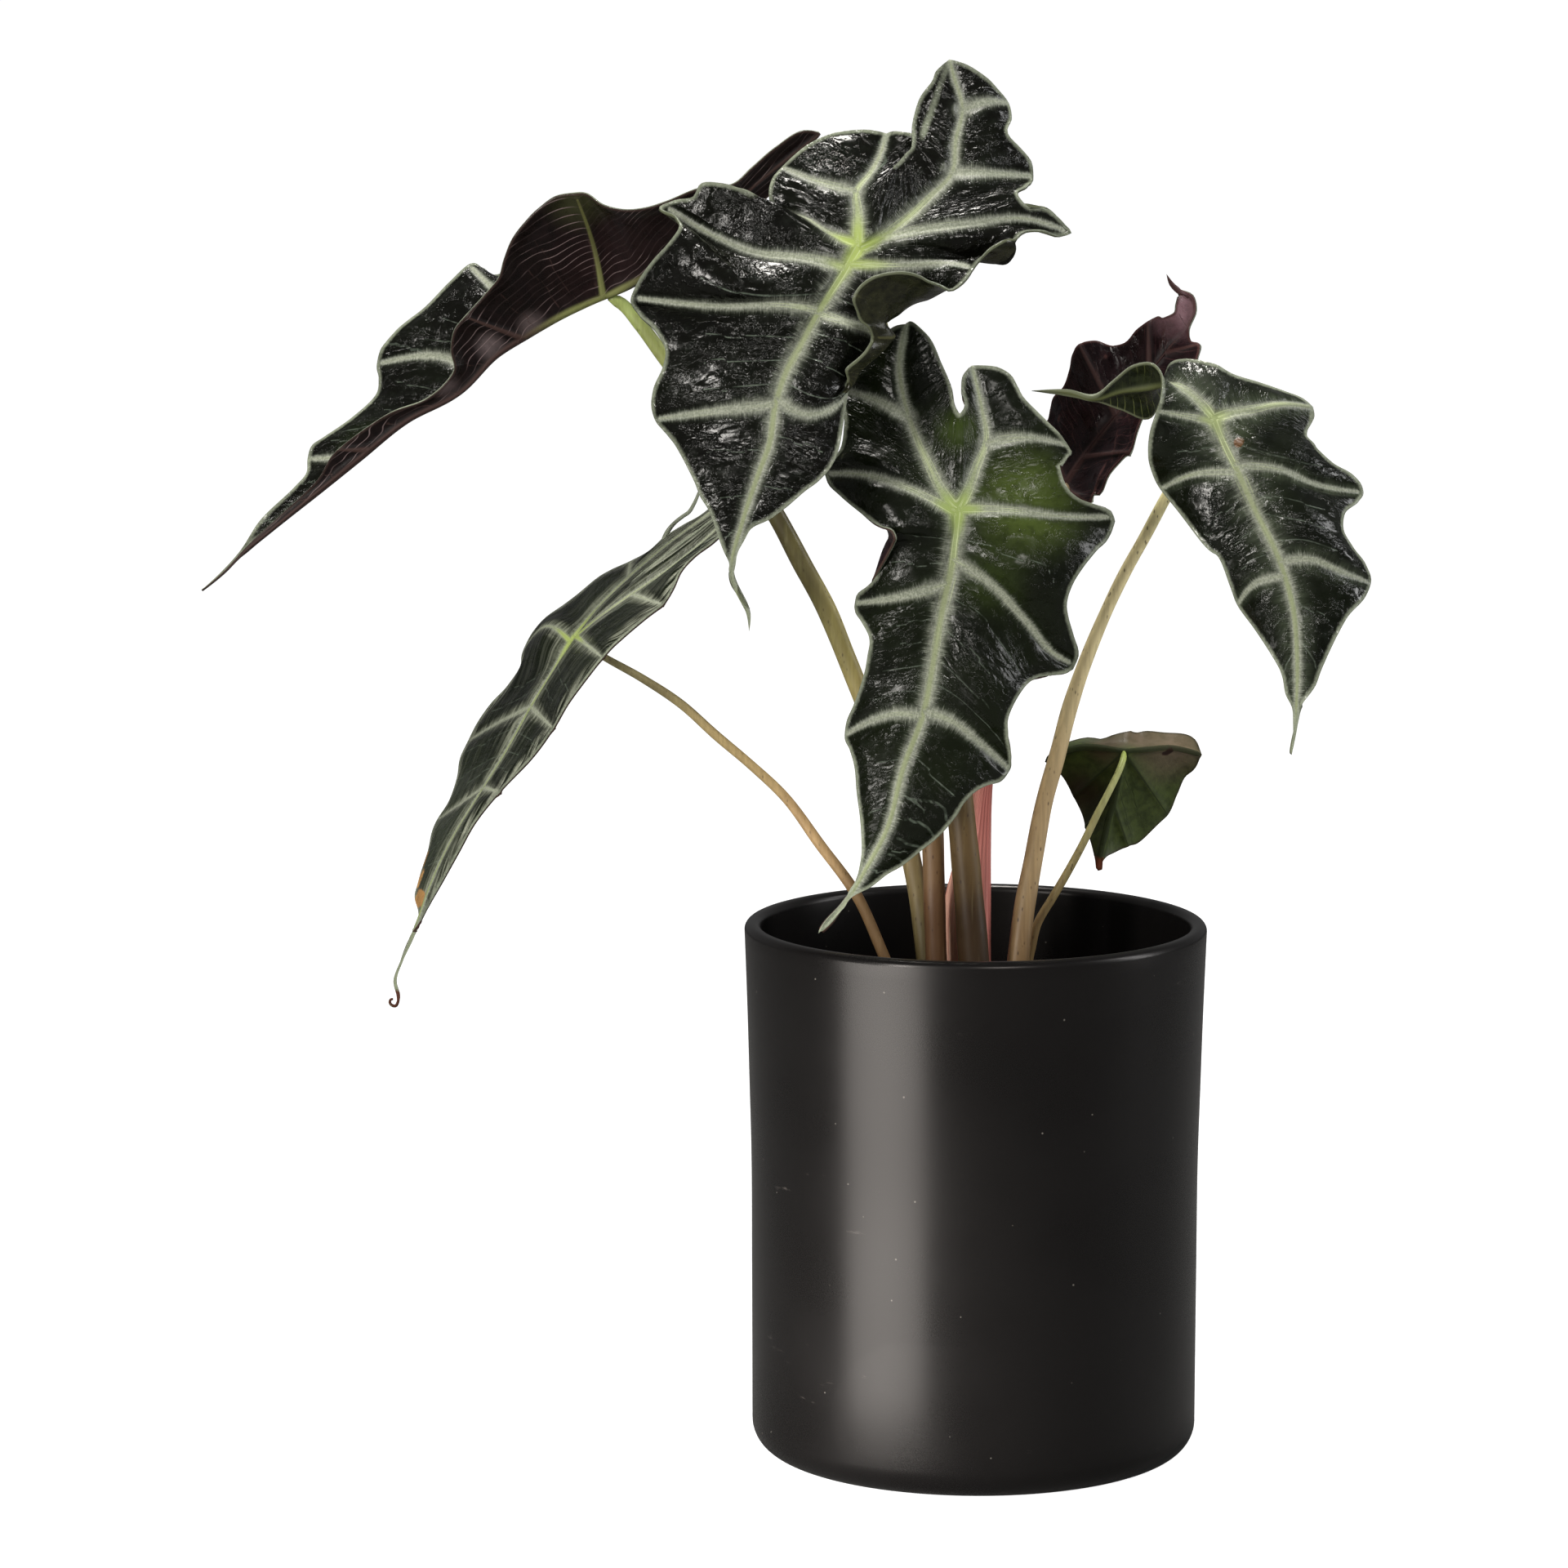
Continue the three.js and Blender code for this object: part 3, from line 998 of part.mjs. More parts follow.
// The knobbly stub that the stalks grow from, and the same shape grown by a clearance
function stub(grow) {
  const s = STUB;
  const middle = (s.top + s.bottom) / 2;
  const round = range(9).map((i) => {
    const angle = THREE.MathUtils.degToRad(-90 + 180 * i / 8);
    const radius = (s.radius + grow) * Math.cos(angle) ** 0.45;
    return [radius, middle + (s.top - s.bottom + 2 * grow) / 2 * Math.sin(angle)];
  });
  return turned([[0, round[0][1]], ...round.slice(1, -1), [0, round[8][1]]], 20);
}

// Soil: a disc whose top rises to the stub and is roughened by a few waves
function soil() {
  const { level, crownRise, roughness, rings, spokes } = SOIL;
  const pot = GROWING_POT;
  const slope = (pot.topRadius - pot.baseRadius) / (pot.height - pot.lipHeight);
  const innerBase = pot.baseRadius - pot.wall - 2 * GAP;
  const foot = growingFloor + GAP;
  const wallRadius = (z) => innerBase + (z - foot) * slope * 0.97;
  const rim = wallRadius(level);
  const height = (r, angle) => {
    const threes = Math.sin(3 * angle + r * 0.21);
    const fives = Math.sin(5 * angle - r * 0.33 + 1);
    const twos = Math.cos(r * 0.45 + 2 * angle);
    const crown = crownRise * Math.max(0, 1 - r / rim) ** 1.2;
    return level + crown + roughness * (threes + fives + twos) * Math.min(1, (rim - r) / 12);
  };
  const ringPoints = (r, z) => range(spokes).map((k) => {
    const angle = 2 * Math.PI * k / spokes;
    return [r * Math.cos(angle), r * Math.sin(angle), z(angle)];
  });
  const rows = [
    ...range(rings).map((i) => ringPoints(rim * (i + 1) / rings, (a) => height(rim * (i + 1) / rings, a))),
    ringPoints(innerBase, () => foot),
  ];
  const points = [[0, 0, height(0, 0)], ...rows.flat(), [0, 0, foot]];
  const faces = [];
  for (const k of range(spokes)) {
    const next = (k + 1) % spokes;
    faces.push([0, 1 + k, 1 + next]);
    for (let i = 0; i < rows.length - 1; i += 1) {
      const a = 1 + i * spokes;
      faces.push([a + k, a + spokes + k, a + spokes + next], [a + k, a + spokes + next, a + next]);
    }
    const bottom = 1 + (rows.length - 1) * spokes;
    faces.push([bottom + k, points.length - 1, bottom + next]);
  }
  return toSolid({ points, faces }).subtract(stub(GAP));
}

// The pink papery sheath: a curved strip round the front of the back leaf's stalk, ending in a point
function sheath() {
  const heights = SHEATH_ROWS.map((r) => r[0]);
  const shape = smoothCurve(heights, SHEATH_ROWS.map((r) => r.slice(1)));
  const [foot, head] = [heights[0], heights[heights.length - 1]];
  const rows = range(11).map((i) => {
    const z = foot + (head - foot) * i / 10;
    const [x, y, radius, wrap] = shape(z);
    return range(8).map((j) => {
      const angle = THREE.MathUtils.degToRad(-90 + wrap * (2 * j / 7 - 1));
      return [x + radius * Math.cos(angle), y + radius * Math.sin(angle), z];
    });
  });
  return toSolid(thickened(weldedSheet([{ rows, flip: true }]), SHEATH_THICKNESS));
}

addPart('cover_pot', 'cover_pot', coverPot());
addPart('growing_pot', 'growing_pot', growingPot());
addPart('soil', 'soil', soil());

const fine = { across: FACETS.bladeAcross, step: FACETS.bladeStep, nearest: FACETS.nearest };
let rootStub = stub(0);
for (const [name, leaf] of Object.entries(LEAVES)) {
  const sheet = weldedSheet(bladePatches(leaf, fine));
  let blade = toSolid(thickened(sheet, BLADE_THICKNESS));
  for (const strand of leaf.strands ?? []) {
    const thread = barPath(strand, FACETS.strandStep);
    blade = blade.add(toSolid(bar(thread.path, thread.diameters, { sides: FACETS.strand })));
  }
  const clearance = toSolid(thickened(sheet, BLADE_THICKNESS + 2 * GAP));
  const { path, diameters } = barPath(leaf.stalk, FACETS.stalkStep);
  const stalk = toSolid(bar(path, diameters, { sides: FACETS.stalk }));
  const socket = toSolid(bar(path, diameters, { sides: FACETS.stalk, grow: GAP, extend: GAP }));
  rootStub = rootStub.subtract(socket);
  addPart(`${name}_blade`, 'blade', blade);
  addPart(`${name}_stalk`, 'stalk', largestPiece(stalk.subtract(clearance)));
}
addPart('stub', 'stub', largestPiece(rootStub));
addPart('sheath', 'sheath', sheath());

export default group;
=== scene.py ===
# A potted African mask plant, dressed for its portrait: fine veined leaf blades, flecked stalks, a
# papery sheath, rough soil in a growing pot, and a matt black cover pot on a pale floor.
import math

import bpy
import numpy as np
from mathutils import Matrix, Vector


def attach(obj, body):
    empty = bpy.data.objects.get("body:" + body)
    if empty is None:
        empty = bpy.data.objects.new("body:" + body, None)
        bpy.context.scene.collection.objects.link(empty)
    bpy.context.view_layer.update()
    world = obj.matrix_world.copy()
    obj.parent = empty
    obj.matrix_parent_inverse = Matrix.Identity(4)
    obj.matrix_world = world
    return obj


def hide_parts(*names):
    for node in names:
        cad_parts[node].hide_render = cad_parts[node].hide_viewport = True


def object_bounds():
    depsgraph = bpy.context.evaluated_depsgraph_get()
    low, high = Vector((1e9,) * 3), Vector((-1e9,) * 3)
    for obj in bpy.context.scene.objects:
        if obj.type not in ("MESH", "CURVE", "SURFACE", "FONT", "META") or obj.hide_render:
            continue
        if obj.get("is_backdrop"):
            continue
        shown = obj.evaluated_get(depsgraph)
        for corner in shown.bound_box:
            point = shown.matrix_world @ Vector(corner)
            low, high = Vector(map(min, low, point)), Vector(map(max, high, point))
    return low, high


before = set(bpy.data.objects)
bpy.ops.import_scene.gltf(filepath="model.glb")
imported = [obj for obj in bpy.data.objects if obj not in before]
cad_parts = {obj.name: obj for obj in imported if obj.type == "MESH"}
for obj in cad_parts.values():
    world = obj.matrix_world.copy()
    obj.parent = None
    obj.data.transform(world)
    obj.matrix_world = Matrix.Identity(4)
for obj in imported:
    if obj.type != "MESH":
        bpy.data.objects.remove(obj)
CAD_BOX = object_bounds()
rng = np.random.default_rng(20)

# Sizes in millimetres, as in the solid model
MM = 0.001
POT_HEIGHT = 163
POT_RIM_RADIUS = 70
POT_FOOT_RADIUS = 67.7
POT_WALL = 5
POT_FLOOR = 6
POT_FOOT_ROUND = 9
POT_RIM_ROUND = 2.2
POT_INNER_ROUND = 7
POT_SIDE = [[67.8, 56], [68, 94], [68.5, 113], [69, 132], [69.6, 150]]
GROWING_FOOT = 6.3
GROWING_HEIGHT = 102
GROWING_TOP = 58.5
GROWING_BASE = 46
GROWING_WALL = 1.3
GROWING_LIP_HEIGHT = 6
GROWING_LIP_OUT = 2.2
SOIL_LEVEL = 99
SOIL_CROWN_RISE = 7
SOIL_ROUGHNESS = 1.1
STUB_TOP = 112
STUB_BOTTOM = 84
STUB_RADIUS = 21
DRAIN_CIRCLE = 30
DRAIN_RADIUS = 4
# The length over which a stalk's end narrows, and how deep its last ring is tucked in
STALK_END = 3.5
STALK_TUCK = 0.4

# Counts: drain holes, crumbs on the soil, and corners round each turned or tubular body
DRAIN_HOLES = 6
CRUMBS = 700
POT_SIDES = 160
GROWING_SIDES = 120
SOIL_SIDES = 180
STUB_SIDES = 96
STALK_SIDES = 24
STRAND_SIDES = 8

# Where the camera stands, how far it looks down, and its focal length on a 36 mm sensor
EYE = np.array([-58.0, -1900.0, 500.0])
LOOK_DOWN = 0.154
FOCAL_LENGTH = 146.25

# Blade surface: cells across each patch and row spacing, half its thickness, the bead round its
# edge, how far its swellings and ridges reach from a vein, the grooves of its fine veins, and how
# wide the drawn ones are
CELLS_ACROSS = 44
ROW_STEP = 2.6
BLADE_HALF = 0.3
EDGE_BEAD = 0.1
EDGE_BEAD_WIDTH = 0.7
PUFF_REACH = 4.0
RIDGE_REACH = 1.2
GROOVE_DEPTH = 0.1
GROOVE_WIDTH = 0.6
DRAWN_WIDTH = 1.4
FINE_NARROWING = 1.4
# A distance beyond every vein and edge
FAR = 99.0

# Low strips of light beside the pot, all in metres, which stand upright and face its axis
POT_AXIS = (0.0195, -0.0196)
STRIP_SPOT = (-0.1034, -0.1297)
STRIP_WIDTH = 0.103
STRIP_SPREAD = math.radians(85)
# Height of the middle, length and power in watts of each strip
STRIPS = [(0.085, 0.16, 0.122), (0.022, 0.04, 0.085)]
WARM = (1.0, 0.965, 0.91)
WHITE = (1.0, 1.0, 1.0)
# Each soft box: where it hangs and what it faces, its width and length, watts and colour
LIGHTS = {
    "key": ((-1.15, -1.45, 0.75), (0, 0, 0.22), (0.25, 0.9), 26, WARM),
    "right": ((1.6, -0.1, 0.75), (0, 0, 0.3), (0.3, 1.2), 13, WHITE),
    "top": ((-0.1, 0.25, 1.7), (0, 0, 0.3), (0.34, 0.3), 21, WARM),
    "front": ((0.5, -2.3, 1.5), (0, 0, 0.3), (0.5, 0.35), 16, WARM),
}
WORLD_STRENGTH = 0.16
# The floor's side in metres, its glow to the camera and its two tones
FLOOR_SIDE = 60
FLOOR_GLOW = 0.96
FLOOR_TONES = (0.32, 0.34)
# Its tone where the pot and the leaves mirror it
FLOOR_MIRRORED = 0.17


def rib(station, edge, through=()):
    """A cross line of a blade from its skeleton through points, if any, to its edge points."""
    return station, through, edge, False


def vein(station, edge, through=()):
    """A cross line that shows as a pale side vein."""
    return station, through, edge, True


# Each blade as in the solid model: points are [x, z, y], with x and z as seen from the eye on the
# upright plane through the pot's axis and y the true depth. Stations count the midrib's points,
# and negative ones the rear lobe's. Stalk points have the girth last. Fine veins are drawn on the
# blade by their x and z.
LEAVES = {}

LEAVES["top"] = {
  "fine_veins": [
    [[-36.5, 384], [-48.5, 386.5], [-57, 390]],
    [[-32, 388.5], [-27.5, 392], [-30, 398]],
    [[-61.5, 321], [-73.5, 318.5], [-95.5, 315]],
    [[-8, 389], [0.5, 389], [13.5, 388]],
    [[-5, 410], [5, 410.5]],
    [[-28.5, 369.5], [-17, 372], [-3, 373.5]],
    [[-34.5, 361.5], [-21, 361.5], [-1.5, 360.5]],
    [[-44, 347.5], [-38, 344.5], [-33.5, 343]],
    [[-59.5, 317.5], [-52, 316.5], [-45, 318], [-39.5, 323]],
  ],
  "junction": [-36, 366.5, -48],
  "sinus": [[-31.5, 373, -46], [-29, 381, -41], [-26, 388, -36.5], [-25, 391, -35]],
  "midrib": [
    [-40.5, 359, -51], [-47.5, 348, -55], [-52.5, 338.5, -59], [-58, 328, -63], [-60.5, 320, -65],
    [-62.5, 307.5, -68], [-65.5, 299.5, -70], [-70.5, 284.5, -72], [-73.5, 273.5, -72],
    [-74, 269.5, -71], [-72.5, 263.5, -70], [-68.5, 255.5, -68], [-68.5, 251.5, -67]
  ],
  "left": {
    "lobe": [
      [-28.5, 370, -45], [-22.5, 374.5, -42], [-15, 381.5, -38], [-8, 389, -34], [-7, 398.5, -30],
      [-5, 408.5, -26], [-7.5, 417, -24], [-9, 422.5, -23]
    ],
    "outer": [
      rib(-7, [[-4, 421, -22], [1, 418, -22]]),
      vein(-5.9, [[5.5, 413.5, -21], [8.5, 409.5, -20]], [[1.5, 410, -25]]),
      rib(-5, [[9.5, 405, -22], [8.5, 400.5, -26]]),
      vein(-4, [[12.5, 396, -25], [15.5, 392, -25], [16, 388, -26]], [[0.5, 389, -34], [9, 388.5, -30]]),
      rib(-2.4, [[14.5, 385, -30], [12.5, 381, -35]]),
      vein(-0.9, [[14.5, 379, -35], [20, 378.5, -33], [23.5, 376, -31], [26, 373, -30], [27.5, 371, -30]],
        [[-17, 372, -44], [-2, 374, -41], [12.5, 375.5, -36]]),
      rib(-0.3, [[24, 370, -32], [20, 371.5, -35], [14, 371.5, -40]],
        [[-12, 369.5, -45], [3.5, 370, -42]]),
      rib(0.3, [[11, 369.5, -43], [6.5, 368.5, -48]],
        [[-16.5, 366, -45], [-2, 362.5, -41], [7, 361.5, -40], [9.5, 365, -44]]),
      vein(0.62, [[3.5, 366.5, -50], [0, 362.5, -50], [-1.5, 360.5, -51]],
        [[-21, 361.5, -49], [-8, 362, -48]]),
      rib(0.95, [[-3, 358, -53], [-5.5, 355.5, -55], [-8.5, 354, -57], [-11.5, 355.5, -59]],
        [[-27.5, 355, -49], [-14, 351.5, -46], [-9.5, 353.5, -51]]),
      rib(1.3, [[-15.5, 357, -62], [-18, 358.5, -64], [-22.5, 359.5, -66], [-28.5, 359, -67]],
        [[-33.5, 351.5, -52], [-22.5, 347, -50], [-21, 350, -56]]),
      rib(1.72, [[-32.5, 357.5, -68], [-36, 354.5, -68], [-37.5, 351.5, -68], [-36.5, 348, -66]],
        [[-37.5, 347.5, -53], [-28.5, 343.5, -52], [-27, 346, -59]]),
      vein(2.1, [[-35, 344.5, -64], [-33, 343, -63], [-32, 340.5, -61]],
        [[-39.5, 344.5, -57], [-29.5, 341.5, -52.5], [-26, 340.5, -55]]),
      rib(3.2, [[-33, 337, -62], [-36, 333.5, -63.5], [-39, 331, -64]],
        [[-42, 333, -60.5], [-36, 330, -56.5], [-33.5, 330.5, -58.5]]),
      vein(4.8, [[-39, 327.5, -61], [-39, 323.5, -59]], [[-52, 317, -66], [-45, 318, -64]]),
      rib(5.6, [[-40, 316.5, -62], [-41.5, 307, -66]]),
      rib(6.6, [[-44, 301, -68], [-47.5, 297, -69]]),
      rib(7.4, [[-51.5, 294, -70], [-55, 291, -71]]),
      rib(7.9, [[-58, 288.5, -72], [-63, 285, -72]]),
      rib(8.4, [[-68, 282.5, -72], [-70, 279, -72]]),
      rib(8.9, [[-72, 275, -72], [-72.5, 272.5, -71.5]]),
      rib(10, [[-73, 269, -71]]),
      rib(12, [[-68, 255.5, -68]]),
    ],
    "inner": [
      rib(-2.5, [[-22, 394.5, -33.5]]),
      rib(-3.7, [[-20, 397.5, -32]]),
      rib(-5, [[-20, 400.5, -30], [-19.5, 405.5, -27]]),
      rib(-6, [[-17.5, 411.5, -25], [-14.5, 415.5, -24]]),
      rib(-7, [[-12.5, 419.5, -23]]),
    ],
  },
  "right": {
    "lobe": [
      [-36, 372, -46], [-36, 377, -43], [-36.5, 383.5, -39], [-32.5, 388.5, -35], [-29.5, 394, -31],
      [-27.5, 400.5, -27]
    ],
    "outer": [
      rib(-5, [[-32, 401.5, -26], [-37.5, 401.5, -26], [-41.5, 401, -26]]),
      rib(-4, [[-46.5, 399.5, -27], [-50.5, 397.5, -28]]),
      vein(-3, [[-55.5, 393.5, -30], [-58.5, 390.5, -31]], [[-48.5, 386.5, -38]]),
      rib(-1.5, [[-61.5, 387, -34], [-62.5, 382.5, -37]]),
      vein(-0.3, [[-61.5, 379, -38], [-59.5, 377.5, -39]], [[-43, 370, -46], [-52, 375.5, -43]]),
      rib(0.2, [[-64, 380, -42], [-70, 384, -44]]),
      rib(0.45, [[-77, 386, -43], [-82.5, 386, -42]]),
      vein(0.8, [[-85, 382, -41], [-90, 381, -40], [-94, 379.5, -40]],
        [[-48.5, 363, -51], [-67.5, 365.5, -48], [-79.5, 370.5, -44]]),
      rib(1.35, [[-90.5, 376, -45], [-89.5, 372, -49]], [[-70, 356.5, -58]]),
      vein(2, [[-92, 368.5, -50], [-97, 363, -49], [-101, 357.5, -47], [-103.5, 352, -45]],
        [[-56.5, 349.5, -57], [-77.5, 349.5, -54]]),
      rib(3.2, [[-101.5, 347, -49], [-96.5, 342, -55], [-93.5, 336.5, -58]]),
      vein(5, [[-94, 332, -57], [-97, 324.5, -55], [-97.5, 319, -54], [-96.5, 315.5, -54]],
        [[-73.5, 318.5, -64]]),
      rib(6, [[-94, 312, -56], [-90.5, 307.5, -61]]),
      rib(7, [[-88, 303, -64], [-85, 297, -67]]),
      rib(7.7, [[-83, 292, -69], [-80.5, 288, -70]]),
      rib(8.3, [[-79, 284, -71], [-77.5, 279.5, -71.5]]),
      rib(8.9, [[-76, 275.5, -72], [-74.5, 272.5, -71.5]]),
      rib(10, [[-74.5, 269, -71]]),
      rib(12, [[-69, 255.5, -68]]),
    ],
    "inner": [
      rib(-2.6, [[-21.5, 393, -32]]),
      rib(-3.6, [[-18.5, 397, -29]]),
      rib(-4.7, [[-19, 400, -27.5], [-23, 401, -27]]),
    ],
  },
  "stalk": [
    [-10, 103.5, -4, 6.8], [-10, 112.2, -4, 6.8], [-12, 156, -5, 6.7], [-13, 190, -4, 6.6],
    [-13.5, 215, -3, 6.4], [-15.5, 245, -2, 6.2], [-19, 280.5, -2, 5.8], [-22, 304, -3, 5.4],
    [-25.5, 323.5, -5, 5], [-28.5, 341, -10, 4.6], [-32, 353, -19, 4.2], [-34.5, 361, -31, 3.9],
    [-36, 365.5, -44, 3.6], [-36, 366.5, -48, 3.6]
  ],
}

LEAVES["far_left"] = {
  "fine_veins": [
    [[-114, 353.5], [-115, 366], [-119, 381]],
    [[-176.5, 338.5], [-157.5, 333.5]],
  ],
  "junction": [-111, 352, 14],
  "sinus": [[-103, 355.5, 16], [-95.5, 360.5, 17]],
  "midrib": [
    [-117, 350, 14], [-124.5, 346.5, 14], [-134, 341, 13], [-143.5, 335, 12], [-154.5, 324, 11],
    [-170.5, 315.5, 10], [-185, 304, 9], [-198.5, 293, 8], [-212, 282, 7], [-220, 275.5, 6],
    [-226, 269.5, 5], [-233, 264, 4]
  ],
  "left": {
    "lobe": [[-97, 360.5, 8], [-82.5, 372, 4], [-65.5, 387, 2], [-47.5, 401, 2]],
    "outer": [
      rib(-3.3, [[-52, 401.5, 0], [-60.5, 396.5, -1]]),
      rib(-2.4, [[-67.5, 390.5, -2], [-73.5, 385.5, -3]]),
      rib(-1.5, [[-83, 384.5, -4], [-93, 380.5, -5]]),
      rib(-0.8, [[-99.5, 378.5, -6], [-105.5, 378, -6]]),
      vein(0.15, [[-112, 379.5, -6], [-117.5, 383, -6], [-120, 383, -6]], [[-114.5, 366, 6]]),
      rib(0.9, [[-126, 382, -5], [-131, 378.5, -4]], [[-125, 364.5, 3]]),
      rib(1.7, [[-135, 374.5, -3], [-138.5, 370, -2]]),
      rib(2.5, [[-141.5, 363, 0], [-143, 358, 1]]),
      vein(3.2, [[-147.5, 352.5, 3], [-153, 346.5, 4]]),
      rib(4, [[-156.5, 342, 5], [-157.5, 336.5, 6]]),
      rib(4.8, [[-156.5, 330.5, 7], [-159.5, 326, 8]]),
      rib(5.8, [[-165, 321.5, 8], [-175.5, 317.5, 8]]),
      vein(6.8, [[-185, 311.5, 8], [-191.5, 306.5, 8]]),
      rib(7.8, [[-198.5, 296.5, 8]]),
      rib(8.8, [[-212.5, 283.5, 7]]),
      rib(10, [[-220, 276.5, 6]]),
      rib(11, [[-226, 270, 5]]),
    ],
    "inner": [
      rib(-1, [[-87, 363, 12]]),
      rib(-2, [[-75, 371, 9]]),
      rib(-3, [[-59, 386, 6]]),
    ],
  },
  "right": {
    "lobe": [[-99.5, 358, 24], [-89.5, 364.5, 36], [-82, 371, 48]],
    "outer": [
      rib(-2, [[-84.5, 376, 52], [-92, 377, 54]]),
      rib(-1, [[-99.5, 377, 54], [-106.5, 376.5, 52]]),
      vein(0.2, [[-115, 377, 50], [-121, 377, 49]], [[-113, 363, 32]]),
      rib(1.2, [[-128.5, 373.5, 47], [-133.5, 367.5, 45]]),
      rib(2, [[-138.5, 360.5, 43], [-143.5, 358.5, 42]]),
      vein(2.8, [[-148, 360.5, 42], [-152, 361.5, 42]]),
      rib(3.6, [[-158, 356, 39], [-166, 348, 35], [-170, 345, 33]]),
      vein(4.6, [[-175, 340.5, 31], [-178.5, 336, 30], [-179.5, 332, 29]], [[-157.5, 333.5, 19]]),
      rib(5.4, [[-179, 327.5, 26], [-180, 322.5, 24]]),
      rib(6.2, [[-187.5, 315.5, 21], [-195.5, 310, 20]]),
      vein(7, [[-199.5, 307, 19], [-200.5, 303.5, 18]]),
      rib(7.9, [[-201, 299, 14], [-204.5, 295, 12]]),
      rib(8.8, [[-215, 285, 9]]),
      rib(10, [[-221.5, 275.5, 6]]),
      rib(11, [[-227, 269.5, 5]]),
    ],
    "inner": [
      rib(-1, [[-88.5, 361.5, 30]]),
      rib(-2, [[-82, 366.5, 42]]),
    ],
  },
  "stalk": [
    [-13.5, 105.2, 4.5, 6], [-13.5, 113.9, 4.5, 6], [-15.5, 156, 5, 6], [-19, 180, 7, 6],
    [-25.5, 205, 9, 6], [-32, 225, 11, 6], [-39.5, 244.5, 12, 6], [-45.5, 259, 12, 6],
    [-52.5, 272, 13, 5.9], [-60.5, 287, 13, 5.8], [-71.5, 303.5, 14, 5.4], [-82.5, 319.5, 15, 5],
    [-94, 334.5, 16, 4.6], [-101, 344, 16.5, 4.3], [-107, 350.5, 17, 4], [-110.5, 352, 15.5, 4]
  ],
}

